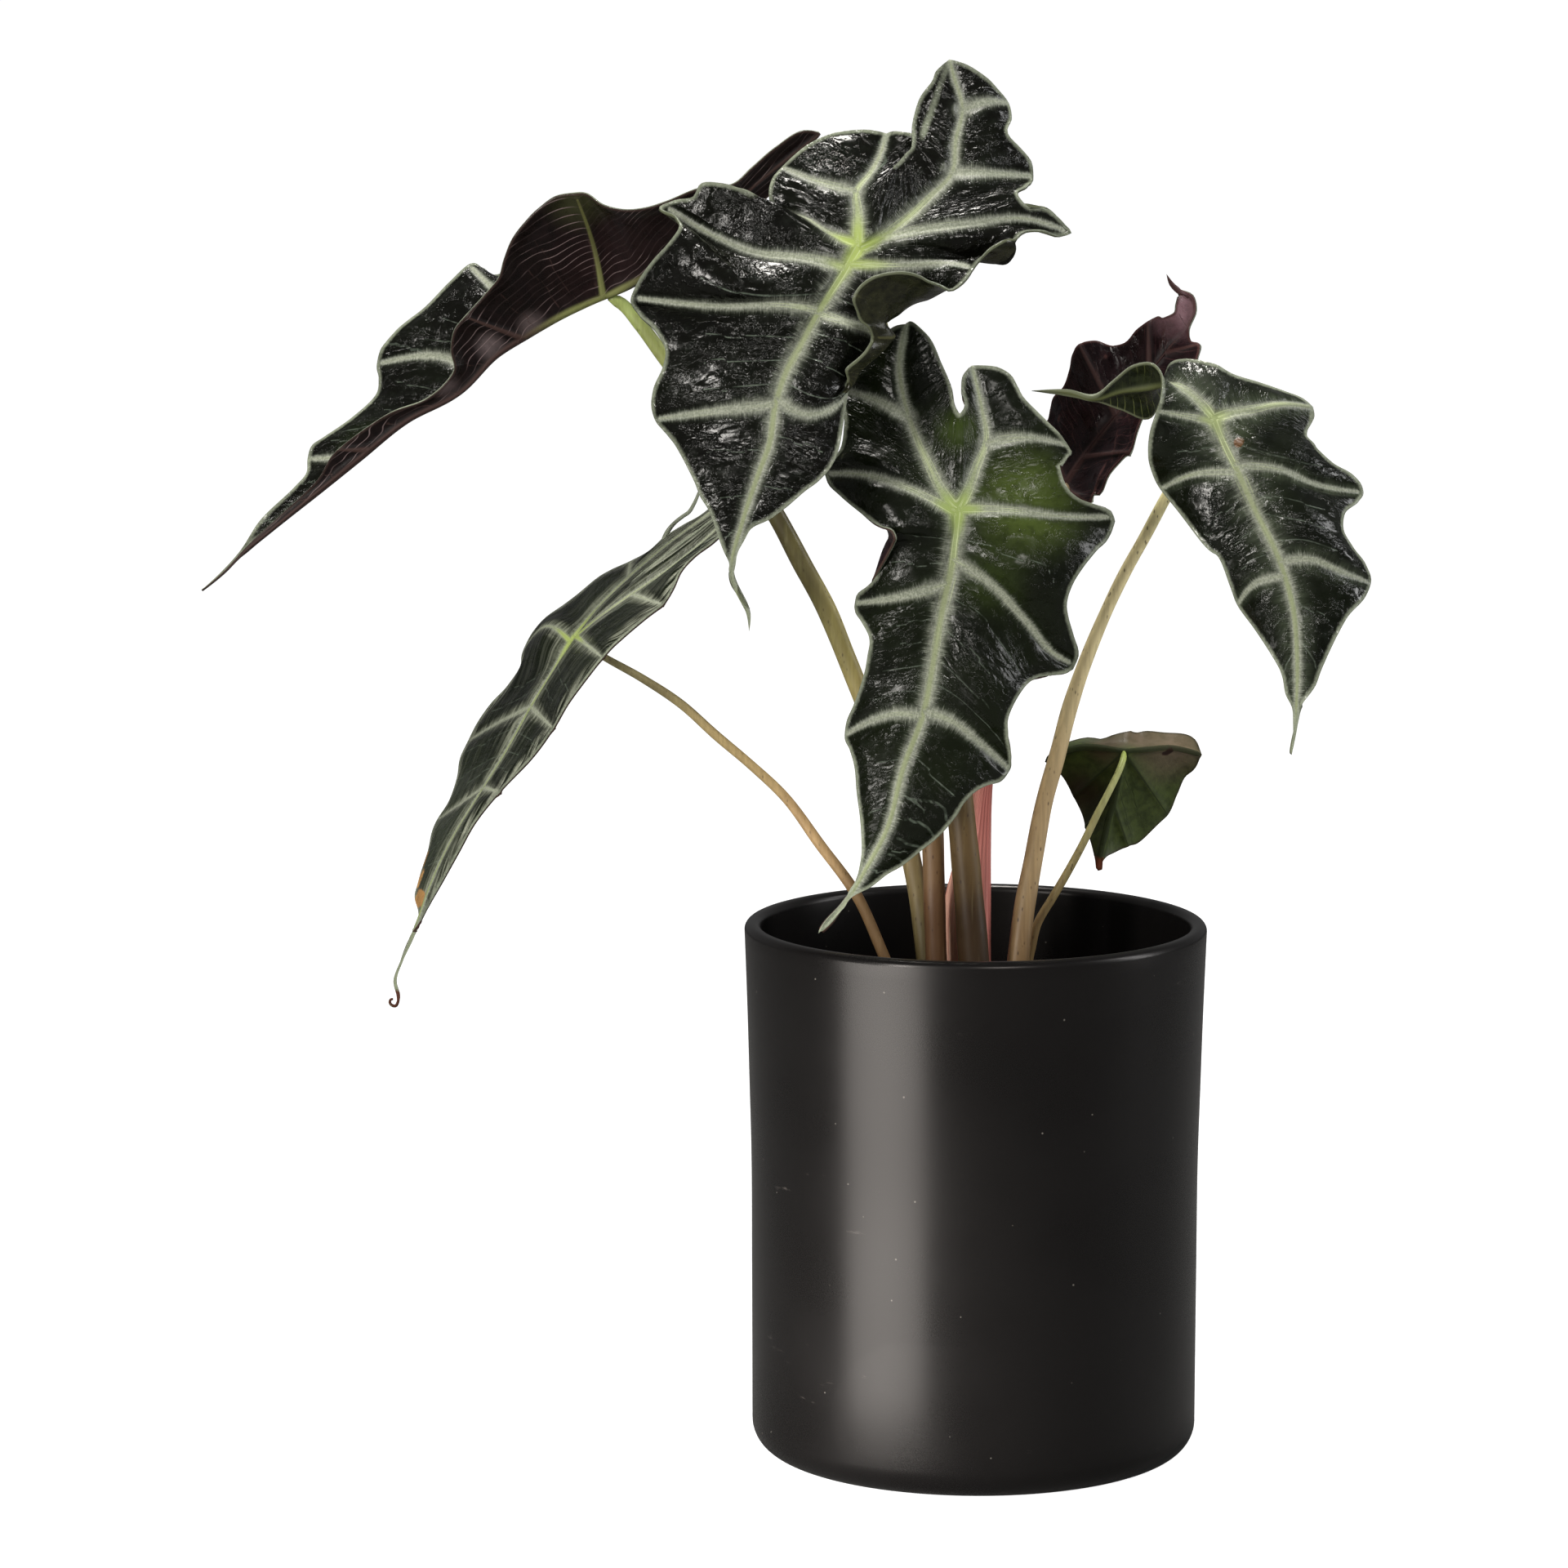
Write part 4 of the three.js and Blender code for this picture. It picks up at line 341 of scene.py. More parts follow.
LEAVES["low_left"] = {
  "fine_veins": [
    [[-117, 256], [-107, 267], [-97, 276], [-80, 287]],
    [[-118, 252.5], [-107, 258.5], [-97, 266], [-78.5, 280.5]],
    [[-135.5, 228.5], [-145, 223], [-152.5, 218.5]],
  ],
  "junction": [-121, 249.5, -22],
  "sinus": [[-113, 256.5, -23], [-104.5, 264, -24]],
  "midrib": [
    [-125.5, 242.5, -23], [-134, 228.5, -25], [-142.5, 213.5, -26], [-150, 201.5, -27],
    [-158, 188.5, -27], [-164.5, 175, -26], [-168, 166, -25], [-171, 157.5, -24], [-174, 150.5, -24],
    [-176, 144.5, -24], [-175, 139.5, -25], [-175.5, 137, -26]
  ],
  "left": {
    "lobe": [
      [-115, 254.5, -27], [-106, 261, -32], [-93.5, 269.5, -36], [-80, 280.5, -40], [-71.5, 289, -42]
    ],
    "outer": [
      rib(-4, [[-75, 282.5, -46], [-78.5, 279, -49]]),
      rib(-3, [[-85, 274, -51], [-89, 269.5, -53]]),
      vein(-2.2, [[-91.5, 264, -55], [-94.5, 259.5, -55]]),
      rib(-1.2, [[-99.5, 255.5, -55], [-106, 250, -54]]),
      vein(-0.1, [[-112.5, 243.5, -54]]),
      rib(1, [[-121, 232.5, -52]]),
      vein(2, [[-127.5, 222, -51]]),
      rib(2.9, [[-134.5, 212.5, -47]]),
      vein(3.8, [[-144, 202.5, -43]]),
      rib(4.6, [[-151.5, 193, -38]]),
      rib(5.3, [[-156.5, 184, -35]]),
      rib(6.1, [[-162, 174, -30]]),
      rib(6.9, [[-166.5, 166, -26]]),
      rib(8, [[-170.3, 157.5, -24]]),
      rib(9, [[-173.5, 150.7, -24]]),
      rib(10, [[-175.5, 144.5, -24]]),
      rib(11, [[-174.5, 139.5, -25]]),
    ],
    "inner": [
      rib(-2.2, [[-99.5, 270, -28]]),
      rib(-3.2, [[-87, 279.5, -32]]),
      rib(-4.2, [[-76, 287.5, -37]]),
    ],
  },
  "right": {
    "lobe": [
      [-116.5, 255.5, -18], [-107, 265.5, -12], [-94.5, 276.5, -6], [-80.5, 287, 0], [-71.5, 294.5, 4]
    ],
    "outer": [
      rib(-4.2, [[-76.5, 291.5, 6], [-82, 287, 6]]),
      rib(-3.2, [[-88, 283.5, 4], [-93.5, 280, 2]]),
      vein(-2.2, [[-98.5, 275.5, 2], [-104, 272.5, 2]]),
      rib(-1.2, [[-110.5, 269.5, 4], [-114.5, 267, 4]]),
      rib(-0.4, [[-120.5, 262, 4], [-124.5, 259, 4]]),
      vein(0.2, [[-130, 255, 5], [-134, 250, 5], [-136, 246, 5]], [[-128.5, 253, -10]]),
      rib(1, [[-137, 241, 3], [-140.5, 235.5, 1]]),
      vein(2, [[-146, 229.5, 3], [-150.5, 223, 5], [-153, 218, 5]], [[-145, 223, -10]]),
      rib(2.9, [[-155.5, 212.5, 2], [-156.5, 206.5, 0]]),
      vein(3.8, [[-159, 199.5, -2], [-162.5, 194, -4]]),
      rib(4.8, [[-165.5, 184, -10]]),
      rib(5.7, [[-168.5, 174.5, -16]]),
      rib(6.3, [[-169.5, 170.5, -19], [-168.5, 166.5, -22]]),
      rib(8, [[-171.7, 157.5, -24]]),
      rib(9, [[-174.5, 150.3, -24]]),
      rib(10, [[-176.5, 144.5, -24]]),
      rib(11, [[-175.5, 139.5, -25]]),
    ],
    "inner": [
      rib(-2.4, [[-97, 270, -14]]),
      rib(-3.3, [[-86, 279, -8]]),
      rib(-4.3, [[-76, 287.5, -2]]),
    ],
  },
  "strands": [
    [
      [-94, 279.3, 0.8, 1.6], [-93, 281.5, 3, 1.5], [-90.7, 284.4, 6, 1.2], [-88.6, 286.1, 7.5, 1.2],
      [-86.4, 287.7, 9, 1.2], [-85, 290, 10, 1.1], [-83.5, 293.5, 10.5, 0.9]
    ],
    [
      [-175, 139, -25, 0.9], [-175.2, 138, -25, 0.9], [-175.9, 136.9, -25, 1], [-176.8, 137, -25, 1],
      [-177.6, 137.9, -25, 0.9], [-177.3, 138.9, -25, 0.8], [-176.6, 139, -25, 0.7]
    ]
  ],
  "stalk": [
    [-11.5, 102, -11, 3.5], [-11.5, 110.7, -11, 3.5], [-27.5, 152, -9, 3.5], [-36.5, 172, -9, 3.4],
    [-47, 186.5, -10, 3.3], [-58, 201.5, -11, 3.1], [-68, 211, -12, 3], [-78.5, 220, -13, 2.9],
    [-89, 229.5, -14, 2.7], [-101, 237.5, -15, 2.5], [-112.5, 244, -16, 2.2],
    [-118, 247.5, -18, 2.1], [-120.5, 249, -21, 2]
  ],
}

LEAVES["middle"] = {
  "fine_veins": [
    [[-20.0, 201.0], [-13.5, 200.0], [-10.0, 198.5], [-9.0, 194.5]],
    [[-21.5, 194.5], [-16.0, 193.5], [-13.0, 189.5]],
    [[-24.0, 188.5], [-18.5, 186.5], [-15.5, 185.0]],
    [[-26.5, 184.0], [-22.0, 181.5], [-19.5, 180.0]],
  ],
  "junction": [-6, 288, -42],
  "sinus": [[-5, 303.5, -38], [-5.5, 317, -33]],
  "midrib": [
    [-7.5, 272, -44], [-10, 260, -45], [-13, 242, -47], [-16, 226.5, -48], [-22, 210, -49],
    [-27, 191, -49], [-33, 179.5, -47], [-38, 171, -45], [-43.5, 163.5, -43], [-47.5, 159.5, -42]
  ],
  "left": {
    "lobe": [[-3, 294, -40], [-0.5, 301, -37], [2.5, 309, -34], [1, 319, -31], [-2, 331.5, -28]],
    "outer": [
      rib(-4.3, [[2, 331.5, -27], [6, 331, -27], [9.5, 329, -27]]),
      rib(-3.6, [[12, 325, -28], [14.5, 321, -29]]),
      vein(-2.9, [[17.5, 318, -29], [21.5, 314, -29], [25, 310.5, -29], [27, 307.5, -28]],
        [[13, 310, -33]]),
      rib(-1, [[27, 304, -31], [25.5, 301.5, -34], [25, 299.5, -36]], [[11.5, 296.5, -38]]),
      vein(-0.05, [[26.5, 295.5, -37], [30, 292, -36], [36.5, 289.5, -34], [40, 288, -32], [41, 285.5, -31]],
        [[8.5, 288, -42], [23, 286, -39]]),
      rib(0.4, [[40.5, 282.5, -33], [38.5, 278.5, -36], [35, 275, -40]], [[13, 279.5, -46]]),
      rib(0.65, [[31.5, 270.5, -43], [28.5, 265.5, -45], [27, 260.5, -45]], [[10.5, 269.5, -49]]),
      vein(0.92, [[27.5, 256, -42], [29, 250.5, -39], [30.5, 244, -36], [29.5, 241.5, -35]],
        [[2, 268, -45], [14.5, 255, -43], [23, 245, -39]]),
      rib(2.6, [[28, 239.5, -36], [23, 238.5, -38], [16.5, 236.5, -42], [12.5, 232, -46], [9.5, 225.5, -47]],
        [[1, 235.5, -51]]),
      vein(3.95, [[9.5, 221, -46], [10.5, 213, -41], [10, 209.5, -40]],
        [[-7, 224, -48], [0.5, 218, -46]]),
      rib(4.7, [[7.5, 206, -42], [3, 204.5, -45], [-0.5, 202.5, -47], [-3, 200, -48]]),
      rib(5.4, [[-5.5, 196, -48], [-9, 191.5, -48]]),
      rib(6.4, [[-12.5, 188, -47], [-17.5, 184, -47]]),
      rib(7.2, [[-22.5, 180, -46], [-27.5, 177, -46]]),
      rib(7.8, [[-32, 173.5, -45], [-36, 171.5, -45]]),
      rib(8.5, [[-40, 167, -44]]),
      rib(9.3, [[-44.5, 162, -43]]),
    ],
    "inner": [
      rib(-2, [[-4, 320, -32]]),
      rib(-3.4, [[-5, 324, -31]]),
      rib(-4.3, [[-4.5, 328.5, -30]]),
    ],
  },
  "right": {
    "lobe": [
      [-10.5, 293.5, -40], [-14.5, 301.5, -36], [-19, 311.5, -32], [-22, 321, -29],
      [-23.5, 331.5, -27], [-21.5, 344, -25]
    ],
    "outer": [
      rib(-5.2, [[-24.5, 343.5, -24], [-28, 341, -23], [-31, 337.5, -23]]),
      vein(-3.5, [[-35.5, 332, -23], [-39, 328.5, -23], [-40, 324.5, -23]], [[-29, 320.5, -29]]),
      rib(-1.8, [[-40.5, 320, -25], [-40, 313.5, -29]]),
      vein(0.05, [[-41, 306.5, -30], [-44.5, 302, -28], [-45.5, 299, -27]],
        [[-17, 293, -41], [-32.5, 298.5, -38]]),
      rib(0.35, [[-44.5, 296, -29], [-41.5, 293, -32], [-37, 289, -36], [-33.5, 286, -40]],
        [[-23.5, 284.5, -45]]),
      rib(0.62, [[-28.5, 283, -46], [-25.5, 282, -48], [-24.5, 280, -49]],
        [[-19, 280.5, -44], [-27, 280.5, -44]]),
      vein(1.5, [[-25, 278, -47], [-26.5, 275, -45], [-29, 270.5, -42],
          [-33, 265, -38], [-36, 262.5, -36], [-36.5, 260, -35]],
        [[-23, 262, -44]]),
      rib(2.3, [[-36.5, 257.5, -37], [-34.5, 254, -41], [-32.5, 250, -44]]),
      rib(3.2, [[-33, 243.5, -44], [-34.5, 236.5, -42]]),
      vein(4.05, [[-37, 229, -40], [-39, 224, -39], [-39.5, 220, -39]],
        [[-24, 226.5, -47], [-31, 224.5, -44]]),
      rib(4.9, [[-38, 215.5, -41], [-36.5, 209.5, -43]]),
      rib(5.6, [[-36, 203, -44], [-35, 195.5, -45]]),
      rib(6.5, [[-34.5, 188.5, -46], [-34.5, 183, -46]]),
      rib(7.3, [[-35.5, 178, -46], [-37, 174, -45]]),
      rib(7.8, [[-38.5, 171.5, -45]]),
      rib(8.5, [[-41.5, 167.5, -44]]),
      rib(9.3, [[-46, 162.5, -43]]),
    ],
    "inner": [
      rib(-1.6, [[-7, 320, -31]]),
      rib(-3, [[-8, 325.5, -29]]),
      rib(-4.2, [[-11, 332.5, -27]]),
      rib(-5.2, [[-14.5, 340, -26], [-18, 343.5, -25]]),
    ],
  },
  "stalk": [
    [1, 102.4, -9, 9.8], [1, 111.2, -9, 9.8], [-1, 158.5, -9, 9.7], [-2.5, 175.5, -10, 9.1],
    [-4, 191, -11, 8.5], [-5.5, 205, -12, 8.1], [-7.5, 225, -13, 7.6], [-8, 245, -15, 7],
    [-8, 262, -19, 6.2], [-7, 276, -26, 5.4], [-6, 284.5, -35, 4.6], [-6, 288, -41, 4.2]
  ],
}

LEAVES["right"] = {
  "fine_veins": [
    [[62, 325.5], [69, 332]],
    [[69, 313.5], [59, 317.5]],
  ],
  "junction": [70.5, 315.5, -24],
  "sinus": [[71.5, 323, -20], [72.5, 331, -15]],
  "midrib": [
    [74, 307.5, -27], [78, 299.5, -30], [83, 289, -33], [91, 272.5, -37], [95, 258.5, -39],
    [96.5, 242, -40], [96.5, 229.5, -39], [96, 221, -38], [95, 214, -37]
  ],
  "left": {
    "lobe": [[76.5, 317.5, -22], [82, 318.5, -20], [89.5, 320, -17], [100, 319, -11]],
    "outer": [
      rib(-3.2, [[100.5, 316.5, -11], [99.5, 314, -12]]),
      rib(-1.5, [[98.5, 312, -14], [98.5, 310, -16]]),
      rib(0.4, [[100.5, 308, -18], [102.5, 305.5, -20]], [[86, 307.5, -28]]),
      vein(1.75, [[106.5, 302, -20], [112.5, 298.5, -19], [115, 295.5, -19], [115.5, 293.5, -19]],
        [[89.5, 300.5, -29], [100.5, 296, -26]]),
      rib(2.9, [[114, 290.5, -22], [110, 287, -27], [109.5, 283, -30]], [[96.5, 287, -37]]),
      vein(4, [[112.5, 277, -30], [116.5, 271.5, -28], [118, 266, -28]],
        [[99, 273.5, -38], [109.5, 269.5, -35]]),
      rib(4.6, [[116.5, 262, -31], [111.5, 256, -36]]),
      rib(5.4, [[108.5, 250.5, -38], [104, 240.5, -40]]),
      rib(6.3, [[102, 235, -40], [98.5, 230, -40]]),
      rib(7.1, [[97.5, 227, -39]]),
      rib(7.9, [[96.5, 221, -38]]),
    ],
    "inner": [
      rib(-1.2, [[77, 328.5, -13]]),
      rib(-2.2, [[83.5, 326.5, -11]]),
      rib(-3.1, [[92, 323.5, -9]]),
      rib(-3.6, [[97, 321.5, -9]]),
    ],
  },
  "right": {
    "lobe": [
      [68, 318.5, -23], [62, 324, -21], [57, 326, -17], [50.5, 325, -12], [42, 324, -10],
      [35.5, 322, -10], [26, 323.5, -11], [16, 324, -12]
    ],
    "outer": [
      rib(-7, [[26.5, 324.5, -11]]),
      rib(-6, [[35.5, 323, -11]]),
      rib(-5, [[41, 327.5, -13]]),
      rib(-4, [[46, 331.5, -15], [50.5, 332.5, -17]]),
      rib(-3, [[53.5, 331, -20], [55, 328, -22]]),
      rib(-2, [[55, 325, -24], [54.5, 321.5, -26]]),
      vein(0.1, [[53.5, 318, -28]], [[59.5, 317, -27]]),
      rib(1, [[51.5, 311.5, -27], [51, 305, -25]]),
      vein(2, [[52, 300.5, -22], [55, 294.5, -20]], [[65, 299, -27]]),
      rib(2.7, [[60.5, 287.5, -25], [66.5, 279.5, -29]]),
      rib(3.5, [[73, 273, -32]]),
      vein(4.3, [[76, 265.5, -31], [78.5, 259.5, -30]], [[84.5, 266.5, -36]]),
      rib(5.2, [[83.5, 252.5, -34], [89, 244, -37]]),
      rib(6.2, [[92, 238, -38], [93, 233, -38]]),
      rib(7.1, [[95.5, 227, -38]]),
      rib(7.9, [[95.5, 221, -38]]),
    ],
    "inner": [
      rib(-1.3, [[68.5, 332.5, -14]]),
      rib(-2.1, [[63, 333.5, -12], [59, 333, -9]]),
      rib(-3, [[56, 328.5, -5]]),
      rib(-3.9, [[54.5, 322.5, -3], [52.5, 317, -3]]),
      rib(-5, [[42.5, 318.5, -6]]),
      rib(-6, [[35.5, 321, -9]]),
      rib(-7, [[26, 322.5, -11]]),
    ],
  },
  "stalk": [
    [9.5, 104.3, 0, 6.7], [9.5, 113, 0, 6.7], [13, 151, 1, 6.7], [14.5, 165, 2, 6.5],
    [17.5, 182.5, 3, 6], [20.7, 200, 4, 5.5], [24.5, 214, 5, 5.1], [28, 228, 6, 4.8],
    [31, 237.5, 6, 4.5], [36.5, 252, 6, 4.1], [44.5, 269.5, 5, 3.8], [50.5, 280.5, 3, 3.6],
    [56.5, 292, 0, 3.5], [62, 301.5, -5, 3.4], [66.5, 309.5, -12, 3.3], [70, 314, -20, 3.2],
    [70.5, 315.5, -24, 3.2]
  ],
}

LEAVES["back"] = {
  "fine_veins": [
    [[42, 317.5], [41, 304], [35, 294]],
    [[44.5, 319], [46, 309], [40, 300.5]],
    [[33.5, 337], [37, 323.5]],
    [[55.5, 344.5], [54, 333.5]],
  ],
  "junction": [26.5, 296, 32],
  "sinus": [[26, 293, 32], [25.5, 289.5, 32]],
  "midrib": [
    [33.5, 306, 31], [42.5, 317.5, 30], [50.5, 328, 30], [57.5, 337, 30], [62, 343, 31],
    [64, 347.5, 31], [63, 351.5, 30], [60, 353.5, 28], [57.5, 356, 27], [56, 359, 27]
  ],
  "left": {
    "lobe": [[28, 293.5, 29], [31, 292, 25], [34.5, 290.5, 21]],
    "outer": [
      rib(-2, [[35, 293, 20]]),
      rib(-1, [[37.5, 294, 19]]),
      rib(0, [[39.5, 299, 18], [42, 302, 18]]),
      vein(0.8, [[46, 305.5, 17]]),
      rib(1.5, [[48, 312.5, 19], [49.5, 316, 20]]),
      vein(2.3, [[55.5, 319, 16], [61.5, 323.5, 15]]),
      rib(3.1, [[65, 329, 18]]),
      vein(3.8, [[65.5, 333.5, 20], [66.5, 337.5, 22]]),
      rib(4.4, [[63.5, 339, 26]]),
      rib(5, [[63, 342.5, 30]]),
      rib(6, [[65, 348, 30]]),
      rib(7, [[64, 352.5, 29]]),
      rib(8, [[60, 354.5, 28]]),
      rib(9, [[58, 356.5, 27]]),
    ],
    "inner": [
      rib(-1, [[29, 289.5, 28]]),
      rib(-2, [[32, 289.5, 24]]),
    ],
  },
  "right": {
    "lobe": [[21.5, 294, 36], [16, 294.5, 40], [10.5, 296.5, 44]],
    "outer": [
      rib(-2.2, [[11, 301.5, 46]]),
      rib(-1, [[16, 307.5, 46]]),
      vein(0, [[21, 314.5, 45]]),
      rib(0.7, [[22, 319, 43], [23, 322.5, 40]]),
      rib(1.3, [[25.5, 325, 38], [27.5, 330.5, 36]]),
      vein(1.9, [[28.5, 335.5, 33], [30, 338, 32]], [[37, 325, 31]]),
      rib(2.5, [[34.5, 339, 34], [40.5, 337.5, 36]]),
      vein(3.1, [[44, 338.5, 34], [47.5, 342.5, 32], [51, 345, 30]]),
      rib(4, [[55.5, 346, 29]]),
      rib(4.7, [[58.5, 347.5, 27]]),
      rib(5.6, [[59, 350, 27]]),
      rib(6.6, [[59.5, 352, 27]]),
      rib(8, [[59.5, 353, 28]]),
      rib(9, [[57, 355.5, 27]]),
    ],
    "inner": [
      rib(-1.3, [[20.5, 289, 37]]),
      rib(-2.2, [[13.5, 291.5, 42]]),
    ],
  },
  "stalk": [
    [0, 106.6, 11, 5.4], [0, 115.2, 11, 5.4], [-0.5, 155, 11, 5.3], [0, 170, 11, 5.2],
    [1, 187.5, 11, 5.1], [2, 202.5, 11, 5], [4, 219, 11, 4.8], [7.5, 233.5, 12, 4.6],
    [14, 251, 13, 4.3], [20, 269.5, 16, 4], [24, 284.5, 21, 3.6], [26, 293, 27, 3.3],
    [26.5, 296, 32, 3.2]
  ],
}

LEAVES["small"] = {
  "junction": [44.5, 215, 26],
  "sinus": [[45.5, 218, 30], [46.5, 221, 34]],
  "midrib": [
    [43.5, 209, 29], [42, 201.5, 31], [40, 194, 31], [38.5, 187.5, 30], [37.5, 183, 29],
    [37, 178.5, 28]
  ],
  "left": {
    "lobe": [[38, 216, 28], [30.5, 216, 31], [21, 212, 34]],
    "outer": [
      rib(-2.2, [[23.5, 210, 37]]),
      rib(-1.2, [[26.5, 207, 39]]),
      vein(0, [[29.5, 201.5, 41]]),
      rib(1, [[32, 196.5, 41]]),
      vein(2.2, [[33.5, 191.5, 38]]),
      rib(3.3, [[35, 187, 33]]),
      rib(4.2, [[36, 183, 30]]),
      rib(5, [[36.5, 181, 29]]),
    ],
    "inner": [
      rib(-1, [[42, 220, 35], [37.5, 218.5, 36]]),
      rib(-2, [[34.5, 219, 37], [27.5, 217.5, 37]]),
    ],
  },
  "right": {
    "lobe": [[51.5, 215.5, 29], [59, 216, 33], [67.5, 214, 37]],
    "outer": [
      rib(-2.2, [[65.5, 209.5, 40]]),
      rib(-1, [[63, 207.5, 42], [60.5, 202, 43]]),
      vein(0, [[57.5, 195.5, 43]]),
      rib(1.2, [[54.5, 192.5, 41], [50, 188, 39]]),
      vein(2.4, [[45.5, 186, 36]]),
      rib(3.4, [[41.5, 184, 33]]),
      rib(4.3, [[39, 182.5, 30]]),
      rib(5, [[37.5, 180.5, 29]]),
    ],
    "inner": [
      rib(-1, [[48.5, 220.5, 36], [51.5, 221, 37]]),
      rib(-2, [[56.5, 220.5, 39], [63, 220, 40]]),
    ],
  },
  "stalk": [
    [9.5, 106.1, 8.5, 2.8], [9.5, 114.7, 8.5, 2.8], [17, 154.5, 9, 2.7], [18.5, 161.5, 9, 2.7],
    [23.5, 170.5, 9.5, 2.6], [27.5, 177.5, 10, 2.5], [32.5, 187, 11, 2.4], [36.5, 195.5, 13, 2.3],
    [40.5, 203.5, 15, 2.2], [43.5, 210, 19, 2.1], [44.5, 213.5, 23, 2], [44.5, 215, 26, 2]
  ],
}


def srgb(r, g, b):
    """A colour from 0 to 255 as linear light."""
    out = []
    for v in (r, g, b):
        v /= 255
        out.append(v / 12.92 if v <= 0.04045 else ((v + 0.055) / 1.055) ** 2.4)
    return (*out, 1.0)


class Look:
    """Builds one material's nodes."""

    def __init__(self, name):
        self.material = bpy.data.materials.new(name)
        self.material.use_nodes = True
        self.tree = self.material.node_tree
        self.shader = self.tree.nodes["Principled BSDF"]
        self.place = self.node("ShaderNodeTexCoord").outputs["Object"]

    def put(self, socket, value):
        if isinstance(value, bpy.types.NodeSocket):
            self.tree.links.new(value, socket)
        else:
            socket.default_value = value

    def node(self, kind, inputs=(), **settings):
        node = self.tree.nodes.new(kind)
        for key, value in settings.items():
            setattr(node, key, value)
        for key, value in dict(inputs).items():
            self.put(node.inputs[key], value)
        return node

    def fact(self, name):
        return self.node("ShaderNodeAttribute", attribute_name=name).outputs["Fac"]

    def math(self, operation, a, b=0.0, clamp=False):
        return self.node("ShaderNodeMath", {0: a, 1: b}, operation=operation, use_clamp=clamp).outputs[0]

    def add(self, a, b):
        return self.math("ADD", a, b)

    def times(self, a, b):
        return self.math("MULTIPLY", a, b)

    def power(self, a, exponent):
        return self.math("POWER", a, exponent)

    def near(self, position, inner, outer, shift=0.0):
        """One within the inner distance of a place in millimetres, nought beyond the outer."""
        inputs = {0: self.place, 1: tuple(v * MM for v in position)}
        apart = self.node("ShaderNodeVectorMath", inputs, operation="DISTANCE").outputs["Value"]
        return self.fall(self.add(self.times(apart, 1 / MM), shift), inner, outer)

    def step(self, value, start, end, low=0.0, high=1.0):
        inputs = {"Value": value, "From Min": start, "From Max": end, "To Min": low, "To Max": high}
        return self.node("ShaderNodeMapRange", inputs, interpolation_type="SMOOTHSTEP").outputs["Result"]

    def fall(self, value, start, end):
        return self.step(value, start, end, 1.0, 0.0)

    def swing(self, pattern, size):
        """A pattern's swing about its middle."""
        return self.times(self.add(pattern, -0.5), size)

    def mix(self, factor, a, b):
        node = self.node("ShaderNodeMix", data_type="RGBA")
        self.put(node.inputs[0], factor)
        self.put(node.inputs[6], a)
        self.put(node.inputs[7], b)
        return node.outputs[2]

    def at(self, x, y=0.0, z=0.0):
        return self.node("ShaderNodeCombineXYZ", {0: x, 1: y, 2: z}).outputs[0]

    def stretched(self, x, y, z):
        """Object place in millimetres, scaled along each axis."""
        inputs = {0: self.place, 1: (x / MM, y / MM, z / MM)}
        return self.node("ShaderNodeVectorMath", inputs, operation="MULTIPLY").outputs[0]

    def noise(self, vector, detail=3.0, roughness=0.5):
        inputs = {"Vector": vector, "Scale": 1.0, "Detail": detail, "Roughness": roughness}
        return self.node("ShaderNodeTexNoise", inputs).outputs["Fac"]

    def cloud(self, scale, detail=3.0, roughness=0.5):
        """Noise alike in every direction, at so many cells a millimetre."""
        return self.noise(self.stretched(scale, scale, scale), detail, roughness)

    def cells(self, vector, scale=1.0):
        inputs = {"Vector": vector, "Scale": scale}
        return self.node("ShaderNodeTexVoronoi", inputs, feature="F1").outputs["Distance"]

    def bump(self, height, distance, strength=1.0, under=None):
        inputs = {"Height": height, "Distance": distance * MM, "Strength": strength}
        if under is not None:
            inputs["Normal"] = under
        return self.node("ShaderNodeBump", inputs).outputs["Normal"]

    def finish(self, **inputs):
        for key, value in inputs.items():
            self.put(self.shader.inputs[key.replace("_", " ")], value)
        return self.material


# Facts that the shader reads at each point of a blade, in the order that blade_sheet gives them
BLADE_FACTS = [
    "vein_u", "vein_along", "vein_gap", "edge_gap", "fine_gap", "core_gap", "row_at", "row_far",
    "vein_rank",
]
# Colours that every blade shares
FIELD_SHEEN = srgb(38, 46, 36)
# Painted sheen streaks
SHEEN_STREAK = srgb(168, 172, 154)
FINE_VEIN = srgb(120, 132, 118)
VEIN_THREAD = srgb(196, 208, 160)
# Painted glint strokes
GLINT_STROKE = srgb(176, 184, 170)


